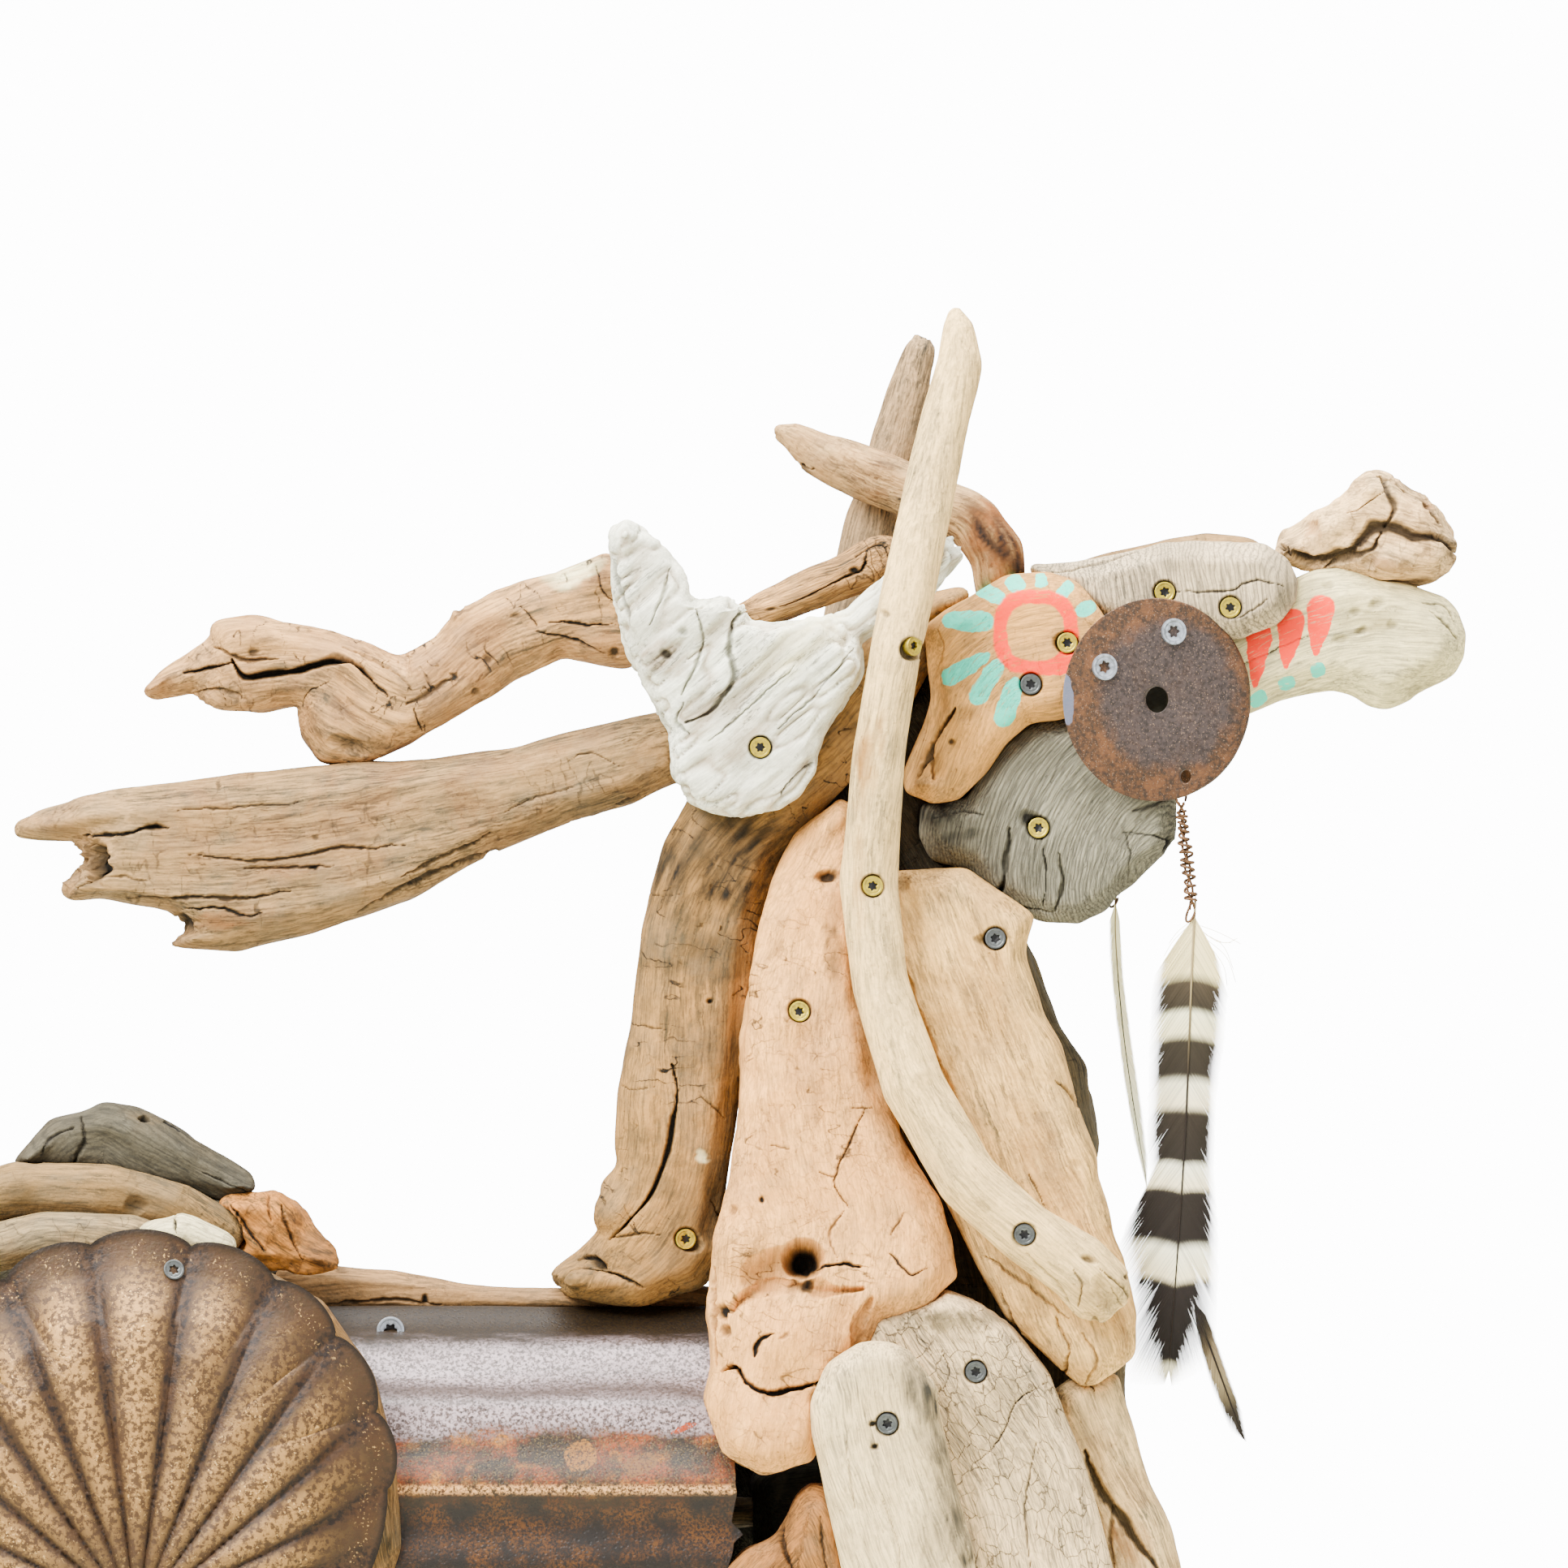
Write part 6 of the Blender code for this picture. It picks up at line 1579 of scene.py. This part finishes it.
def makeWire(name, node, look):
    y, turns = look["y"] * mm, look["turns"]
    line = smoothLine(look["route"], 40)
    line = np.column_stack([(line[:, 0] - middleColumn) * square, np.full(len(line), y),
                            (groundRow - line[:, 1]) * square])
    start = line[0]
    loop = []
    for i in range(33):
        turn = 2 * math.pi * i / 32 - 0.8
        loop.append((start[0] + wire["loopWide"] * mm * math.cos(turn),
                     y + 0.0012 + wire["loopDeep"] * mm * math.sin(turn + 0.6),
                     start[2] + 0.0035 + wire["loopHigh"] * mm * math.sin(turn)))
    core = [tube(name, loop, wire["strand"] * mm)]
    for shift in (-1, 1):
        strand = line.copy()
        phase = np.linspace(0, 2 * math.pi * 3, len(line)) + (0 if shift > 0 else math.pi)
        strand[:, 0] += 0.0010 * np.cos(phase)
        strand[:, 1] += 0.0008 * np.sin(phase)
        core.append(tube(name, strand, wire["strand"] * mm))
    share = np.linspace(0.13, 0.93, turns * 16)
    index = share * (len(line) - 1)
    middle = np.column_stack([np.interp(index, np.arange(len(line)), line[:, k]) for k in range(3)])
    turn = np.linspace(0, 2 * math.pi * turns, len(share))
    width = wire["wrapReach"] * mm + 0.0005 * ripple(np.column_stack([turn * 0.5, turn * 0, turn * 0]), (1, 1, 1), 3)
    width *= np.interp(share, (0.13, 0.35, 1.0), (0.75, 1.0, 1.1))
    middle[:, 0] += width * np.cos(turn)
    middle[:, 1] += 0.0018 * np.sin(turn)
    middle[:, 2] += 0.0007 * ripple(np.column_stack([turn * 0.37, turn * 0, turn * 0]), (1, 1, 1), 4)
    core.append(tube(name, middle, wire["wrap"] * mm))
    tail = []
    for i in range(22):
        part = i / 21
        tail.append((line[-1, 0] - 0.0022 * math.sin(part * 4.2) - 0.001 * part, y - 0.0006,
                     line[-1, 2] + 0.004 - 0.0085 * math.sin(part * 2.6)))
    core.append(tube(name, tail, wire["strand"] * mm))
    finishPiece(joinPieces(core, name), node, copperMaterial)


makeWire("feather_wire", "copper_wire", nearWire)
makeWire("feather_wire_far", "copper_wire_far", farWire)
print("eyes and wires made")

# Feathers: a quill with some hundred barbs on each side, each cut to reach the vane's edge

barredFeather = {
    "outline": [(1474, 1112), (1458, 1136), (1440, 1160), (1426, 1186), (1420, 1214), (1418, 1250), (1416, 1325),
                (1414, 1405), (1418, 1440), (1408, 1463), (1390, 1496), (1378, 1528), (1382, 1560), (1392, 1590),
                (1388, 1640), (1386, 1680), (1396, 1696), (1420, 1702), (1444, 1708), (1464, 1694), (1482, 1680),
                (1500, 1642), (1503, 1566), (1502, 1502), (1497, 1432), (1499, 1352), (1509, 1282), (1514, 1218),
                (1504, 1180), (1488, 1148)],
    "quill": [(1474, 1100), (1470, 1180), (1466, 1280), (1462, 1380), (1456, 1480), (1449, 1580), (1441, 1690)],
    "y": -41.4, "barbs": 280, "from": 0.05, "lean": 34, "rowLean": 0.72, "quillWidth": 0.5, "seed": 41,
    "bands": [(1100, (240, 232, 220)), (1196, (244, 236, 222)), (1210, (138, 112, 92)), (1240, (112, 88, 72)),
              (1249, (248, 244, 236)), (1272, (246, 240, 230)), (1283, (104, 82, 66)), (1324, (92, 70, 58)),
              (1336, (248, 244, 238)), (1362, (246, 240, 232)), (1373, (96, 74, 62)), (1430, (80, 62, 54)),
              (1440, (250, 247, 242)), (1464, (246, 240, 232)), (1473, (78, 60, 54)), (1532, (66, 50, 46)),
              (1544, (250, 247, 242)), (1578, (246, 240, 232)), (1588, (66, 50, 48)), (1674, (60, 46, 42)),
              (1684, (246, 242, 236)), (1712, (250, 247, 242))],
    "wisps": [((1478, 1140), (1504, 1150), (1531, 1164)), ((1480, 1146), (1500, 1160), (1519, 1162)),
              ((1484, 1150), (1508, 1166), (1521, 1196)), ((1488, 1158), (1512, 1180), (1524, 1212)),
              ((1486, 1152), (1510, 1162), (1526, 1156)), ((1470, 1134), (1452, 1148), (1440, 1164)),
              ((1490, 1164), (1508, 1190), (1513, 1216)), ((1466, 1140), (1446, 1160), (1434, 1180))],
}
smallFeather = {
    "outline": [(1470, 1600), (1480, 1604), (1496, 1640), (1513, 1690), (1531, 1740), (1537, 1778), (1516, 1762),
                (1492, 1706), (1476, 1650)],
    "quill": [(1470, 1598), (1488, 1650), (1510, 1710), (1533, 1774)], "y": -39.2, "barbs": 90, "from": 0.05,
    "lean": 26, "rowLean": 0.7, "quillWidth": 0.5, "seed": 43,
    "bands": [(1580, (150, 128, 110)), (1660, (196, 176, 156)), (1700, (206, 190, 170)), (1740, (112, 88, 72)),
              (1780, (80, 62, 54))],
}
farFeather = {
    "outline": [(1381, 1098), (1372, 1124), (1372, 1180), (1380, 1260), (1391, 1340), (1403, 1410), (1420, 1473),
                (1424, 1440), (1416, 1370), (1404, 1290), (1393, 1210), (1389, 1140), (1388, 1104)],
    "quill": [(1382, 1096), (1381, 1160), (1390, 1270), (1404, 1370), (1421, 1470)], "y": 51.5, "barbs": 150,
    "from": 0.05, "lean": 20, "rowLean": 0.8, "quillWidth": 0.5, "seed": 47, "edgeOn": 0.7,
    "bands": [(1098, (240, 234, 222)), (1160, (236, 230, 218)), (1300, (240, 234, 224)), (1400, (244, 240, 232)),
              (1475, (246, 242, 236))],
}


def featherMaterial(name, look):
    material, tree, shader = newMaterial(name)
    parts = splitParts(tree, attribute(tree, "grain", "Vector"))
    first, last = look["bands"][0][0], look["bands"][-1][0]
    ramp = tree.nodes.new("ShaderNodeValToRGB")
    stops = ramp.color_ramp.elements
    stops[0].position, stops[0].color = 0.0, paint(*look["bands"][0][1])
    stops[1].position, stops[1].color = 1.0, paint(*look["bands"][-1][1])
    for row, colour in look["bands"][1:-1]:
        stops.new((row - first) / (last - first)).color = paint(*colour)
    feed(tree, ramp.inputs["Fac"], calc(tree, "DIVIDE", calc(tree, "SUBTRACT", parts[0], first), last - first))
    shade = ease(tree, parts[2], 0.0, 1.0, 0.0, 0.3)
    colour = mixColour(tree, shade, ramp.outputs["Color"], paint(70, 50, 42))
    quill = calc(tree, "GREATER_THAN", parts[1], 1.5)
    ends = ease(tree, parts[0], first + 0.1 * (last - first), first + 0.4 * (last - first))
    colour = mixColour(tree, quill, colour, mixColour(tree, ends, paint(206, 190, 168), paint(62, 44, 38)))
    feed(tree, shader.inputs["Base Color"], colour)
    shader.inputs["Roughness"].default_value = 0.55
    shader.inputs["Specular IOR Level"].default_value = 0.15
    return material


def makeFeather(name, node, look):
    obj = flatSheet(name, 1, 1)[0]
    mesh = obj.data
    dice = np.random.default_rng(look["seed"])
    shape = bmesh.new()
    layer = shape.verts.layers.float_vector.new("grain")
    quill = smoothLine(look["quill"], 24)
    lengths = np.hypot(*np.diff(quill, axis=0).T)
    along = np.concatenate([[0], np.cumsum(lengths)])
    edge = np.array(look["outline"] + look["outline"][:1], float)

    def spot(column, row, y):
        return place(column, row, y * mm)

    def quillSpot(reached):
        return np.array([np.interp(reached, along, quill[:, k]) for k in range(2)])

    def rayLength(start, way):
        best = 0.0
        for a, b in zip(edge[:-1], edge[1:]):
            side = b - a
            spread = way[0] * side[1] - way[1] * side[0]
            if abs(spread) < 1e-9:
                continue
            reach = a - start
            t = (reach[0] * side[1] - reach[1] * side[0]) / spread
            u = (reach[0] * way[1] - reach[1] * way[0]) / spread
            if t > 0 and 0 <= u <= 1 and (best == 0 or t < best):
                best = t
        return best

    lean = math.radians(look["lean"])
    for side in (-1, 1):
        for i in range(look["barbs"]):
            share = look["from"] + (1 - look["from"]) * (i + 0.5) / look["barbs"]
            reached = share * along[-1]
            start = quillSpot(reached)
            ahead = quillSpot(min(reached + 3, along[-1])) - quillSpot(reached - 3)
            ahead /= np.hypot(*ahead)
            across = np.array([ahead[1], -ahead[0]]) * side
            angle = lean * (1 - 0.55 * max(0.0, share - 0.72) / 0.28)
            way = across * math.sin(angle) + ahead * math.cos(angle)
            reach = rayLength(start, way)
            if reach < 1.5:
                continue
            reach *= 0.97 + 0.05 * dice.random()
            width = 0.62 * along[-1] / look["barbs"] * (0.9 + 0.3 * dice.random())
            lift = 0.16 * ((i * 7) % 3 - 1) + 0.05 * dice.standard_normal()
            tint = dice.random() ** 2
            rows = []
            for step in range(5):
                part = step / 4
                bend = part * part * 0.10 * reach
                middle = start + way * reach * part + ahead * bend
                half = width * (1 - 0.55 * part ** 2) * (0.25 if step == 4 else 1)
                y = look["y"] + lift * (0.4 + part) + 0.7 * (part * reach / 60) ** 2 * (1 if side > 0 else 0.4)
                y += look.get("edgeOn", 0) * side * part * reach
                around = []
                for offset, depth in ((-half, 0.07), (half, 0.07), (half, -0.07), (-half, -0.07)):
                    point = middle + ahead * offset
                    vertex = shape.verts.new(spot(point[0], point[1], y + depth))
                    slope = look["rowLean"] + 0.4 * share - 1.5 * max(0.0, share - 0.8)
                    vertex[layer] = (start[1] + part * reach * slope, part, tint)
                    around.append(vertex)
                rows.append(around)
            shape.faces.new(rows[0][::-1])
            shape.faces.new(rows[-1])
            for first, second in zip(rows, rows[1:]):
                for k in range(4):
                    shape.faces.new((first[k], first[(k + 1) % 4], second[(k + 1) % 4], second[k]))
    shape.to_mesh(mesh)
    shape.free()
    wisps = []
    for wisp in look.get("wisps", []):
        route = [spot(column, row, look["y"] - 0.1) for column, row in smoothLine(wisp, 8)]
        wisps.append(tube(name, route, 0.00012, 5))
    line = [spot(*quill[i], look["y"] - 0.25) for i in range(0, len(quill), 4)]
    width = np.linspace(look["quillWidth"], 0.22, len(line)) * mm
    shaft = tube(name + "_shaft", line, width)
    for piece, kind in [(shaft, 2.0)] + [(wisp, 0.0) for wisp in wisps]:
        store = piece.data.attributes.new("grain", "FLOAT_VECTOR", "POINT")
        rows = gridSpots(readPoints(piece.data))[:, 1]
        store.data.foreach_set("vector", np.column_stack([rows, rows * 0 + kind, rows * 0]).ravel())
    obj = joinPieces([obj, shaft] + wisps, name)
    closeSeam(obj)
    finishPiece(obj, node, featherMaterial(name.replace("_", " "), look), 30)
    return obj


makeFeather("barred_feather", "feather", barredFeather)
makeFeather("small_feather", "feather_small", smallFeather)
makeFeather("feather_behind", "feather_far", farFeather)
print("feathers made")

# Screws: one head with a six-lobed recess, copied with its own mesh to every place

screwHead = {"radius": 4.0, "height": 3.0, "recess": 1.75, "lobe": 0.3, "depth": 1.7, "turn": 0.7,
             "sink": 1.5, "sinkInMetal": 0.6}
metalScrews = [(1446, 778, "zinc", 1.3), (1360, 822, "zinc", 1.3), (220, 1560, "steel", 1.0),
               (480, 1641, "zinc", 1.35)]


def makeScrewHead(size):
    bpy.ops.mesh.primitive_cylinder_add(vertices=72, radius=size["radius"] * mm, depth=size["height"] * mm)
    head = bpy.context.active_object
    shape = bmesh.new()
    shape.from_mesh(head.data)
    shape.faces.ensure_lookup_table()
    top = max(shape.faces, key=lambda face: face.calc_center_median().z)
    for inset, sink in ((0.7, 0.0), (0.2, 0.18), (0.5, 0.0), (0.3, 0.1)):
        bmesh.ops.inset_individual(shape, faces=[top], thickness=inset * mm)
        for vertex in top.verts:
            vertex.co.z -= sink * mm
    for vertex in top.verts:
        turn = math.atan2(vertex.co.y, vertex.co.x)
        reach = (size["recess"] + size["lobe"] * math.cos(6 * turn)) * mm
        vertex.co.x, vertex.co.y = reach * math.cos(turn), reach * math.sin(turn)
    floor = bmesh.ops.extrude_discrete_faces(shape, faces=[top])["faces"][0]
    for vertex in floor.verts:
        vertex.co.x *= 0.9
        vertex.co.y *= 0.9
        vertex.co.z -= size["depth"] * mm
    bmesh.ops.recalc_face_normals(shape, faces=shape.faces)
    shape.to_mesh(head.data)
    shape.free()
    applyModifier(head, "BEVEL", width=0.00018, segments=2, angle_limit=math.radians(35))
    return head


def screwMaterial(name, colour, rust):
    material, tree, shader = newMaterial(name)
    where = objectPlace(tree)
    # painted shade: the recess and the groove round the head are darker and less metallic
    depth = splitParts(tree, attribute(tree, "tone", "Color"), "RGB")[0]
    dull = ease(tree, cloud(tree, where, 600, 3), 0.4, 0.7, 0.0, 0.5)
    tint = mixColour(tree, dull, paint(*colour), paint(*rust))
    feed(tree, shader.inputs["Base Color"], mixColour(tree, depth, tint, paint(28, 22, 20)))
    feed(tree, shader.inputs["Metallic"], calc(tree, "SUBTRACT", 0.75, calc(tree, "MULTIPLY", depth, 0.6)))
    feed(tree, shader.inputs["Roughness"], calc(tree, "ADD", 0.3, calc(tree, "MULTIPLY", dull, 0.5)))
    return material


headMetals = {
    "brass": (screwMaterial("brass screw", (226, 210, 122), (140, 112, 52)), slotOf["copper_wire"]),
    "zinc": (screwMaterial("zinc screw", (214, 216, 218), (140, 138, 136)), slotOf["shell_pan"]),
    "steel": (screwMaterial("dull steel screw", (168, 170, 168), (96, 92, 86)), slotOf["shell_pan"]),
}
firstHead = makeScrewHead(screwHead)
headPoints = readPoints(firstHead.data)
headMesh = firstHead.data.copy()
bpy.data.objects.remove(firstHead, do_unlink=True)


def screwAt(number, middle, normal, metal, tilt, scale=1.0):
    mesh = headMesh.copy()
    mesh.name = f"{metal}_screw_{number:02d}"
    obj = bpy.data.objects.new(mesh.name, mesh)
    bpy.context.scene.collection.objects.link(obj)
    reach = np.hypot(*headPoints[:, :2].T)
    # painted shade: the six-lobed recess and the groove round the head are painted dark
    recessShade = (headPoints[:, 2] < 0.0008) * (reach < 0.0022) * 1.0
    grooveShade = np.clip(1 - np.abs(reach - 0.0031) / 0.0003, 0, 1) * 0.4
    store = mesh.attributes.new("tone", "FLOAT_COLOR", "POINT")
    tones = np.column_stack([np.maximum(recessShade, grooveShade), recessShade * 0, recessShade * 0, recessShade * 0 + 1])
    store.data.foreach_set("color", tones.ravel())
    turned = Vector(normal).to_track_quat("Z", "Y").to_matrix() @ Matrix.Rotation(tilt, 3, "Z")
    points = headPoints * scale @ np.array(turned).T + np.array(middle)
    writePoints(mesh, points)
    material, slot = headMetals[metal]
    mesh.materials.clear()
    mesh.materials.append(material)
    finishPiece(obj, None, None, 30)
    return obj


def surfaceTrees(objects):
    trees = []
    for obj in objects:
        shape = bmesh.new()
        shape.from_mesh(obj.data)
        trees.append(BVHTree.FromBMesh(shape))
        shape.free()
    return trees


def nearestHit(trees, column, row):
    best = None
    for tree in trees:
        point, normal, _, away = tree.ray_cast(place(column, row, -0.5), Vector((0, 1, 0)))
        if point is not None and (best is None or away < best[2]):
            best = (point, normal, away)
    return best


# Where the near surface lies under a screw head, and which way it faces there
def surfaceAt(trees, column, row, spread=19):
    middle = nearestHit(trees, column, row)
    ring = []
    for k in range(8):
        turn = math.pi * k / 4
        hit = nearestHit(trees, column + spread * math.cos(turn), row + spread * math.sin(turn))
        if hit and abs(hit[0].y - middle[0].y) < 0.006:
            ring.append(hit[0])
    normal = Vector((0, 0, 0))
    for first, second in zip(ring, ring[1:] + ring[:1]):
        normal += (first - middle[0]).cross(second - middle[0])
    if normal.length < 1e-9:
        normal = Vector((0, -1, 0))
    normal.normalize()
    if normal.y > 0:
        normal = -normal
    rim = sum((point for point in ring), Vector()) / max(len(ring), 1)
    return rim if ring else middle[0], normal


woodTrees = surfaceTrees(list(carved.values()))
number = 0
for column, row, metal in screwPlaces:
    number += 1
    middle, normal = surfaceAt(woodTrees, column, row)
    screwAt(number, middle - normal * screwHead["sink"] * mm, normal, metal, number * screwHead["turn"])
metalTrees = surfaceTrees([bpy.data.objects[name] for name in ("eye_washer", "scalloped_pan", "fluted_drum")])
for column, row, metal, scale in metalScrews:
    number += 1
    middle, normal = surfaceAt(metalTrees, column, row)
    screwAt(number, middle - normal * screwHead["sinkInMetal"] * mm, normal, metal, number * screwHead["turn"], scale)
print("screws set:", number)

# Base board, floor and light

boardLook = {**woodDefaults, "light": (196, 172, 140), "dark": (150, 124, 96), "warm": (176, 140, 100),
             "ringSpacing": 5.0, "rings": 0.4, "checks": 0.0}
boardMaterial = woodMaterial("base board wood", boardLook, carved=False)
for slot in frame["nodes"]["base_board"].material_slots:
    slot.material = boardMaterial

bpy.ops.mesh.primitive_plane_add(size=3.0, location=(0, 0.4, 0))
floor = bpy.context.active_object
floor.name = "studio_floor"
floorMaterial, floorTree, floorShader = newMaterial("pale paper")
floorShader.inputs["Base Color"].default_value = paint(236, 234, 230)
floorShader.inputs["Roughness"].default_value = 0.9
floor.data.materials.append(floorMaterial)

light = {"top": 190, "key": 170, "fill": 14, "sky": 1.3, "backdrop": 14.0}


def areaLight(name, size, power, location, target, tint=(1, 1, 1)):
    data = bpy.data.lights.new(name, "AREA")
    data.shape = "RECTANGLE"
    data.size, data.size_y = size
    data.energy = power
    data.color = tint
    lamp = bpy.data.objects.new(name, data)
    lamp.location = location
    lamp.rotation_euler = (Vector(target) - Vector(location)).to_track_quat("-Z", "Y").to_euler()
    bpy.context.scene.collection.objects.link(lamp)


areaLight("top softbox", (1.8, 1.5), light["top"], (0, -0.25, 2.2), (0, 0, 0.6))
areaLight("key softbox", (0.9, 0.9), light["key"], (-1.2, -1.5, 1.9), (0.05, 0, 0.7))
areaLight("fill softbox", (1.2, 1.2), light["fill"], (1.7, -1.6, 0.9), (0.05, 0, 0.65), (0.96, 0.98, 1))

world = bpy.data.worlds.new("studio")
bpy.context.scene.world = world
world.use_nodes = True
worldTree = world.node_tree
background = worldTree.nodes["Background"]
path = worldTree.nodes.new("ShaderNodeLightPath")
feed(worldTree, background.inputs["Strength"], ease(
    worldTree, path.outputs["Is Camera Ray"], 0.0, 1.0, light["sky"], light["backdrop"]))
background.inputs["Color"].default_value = (1, 1, 1, 1)
print("stage and lights set")
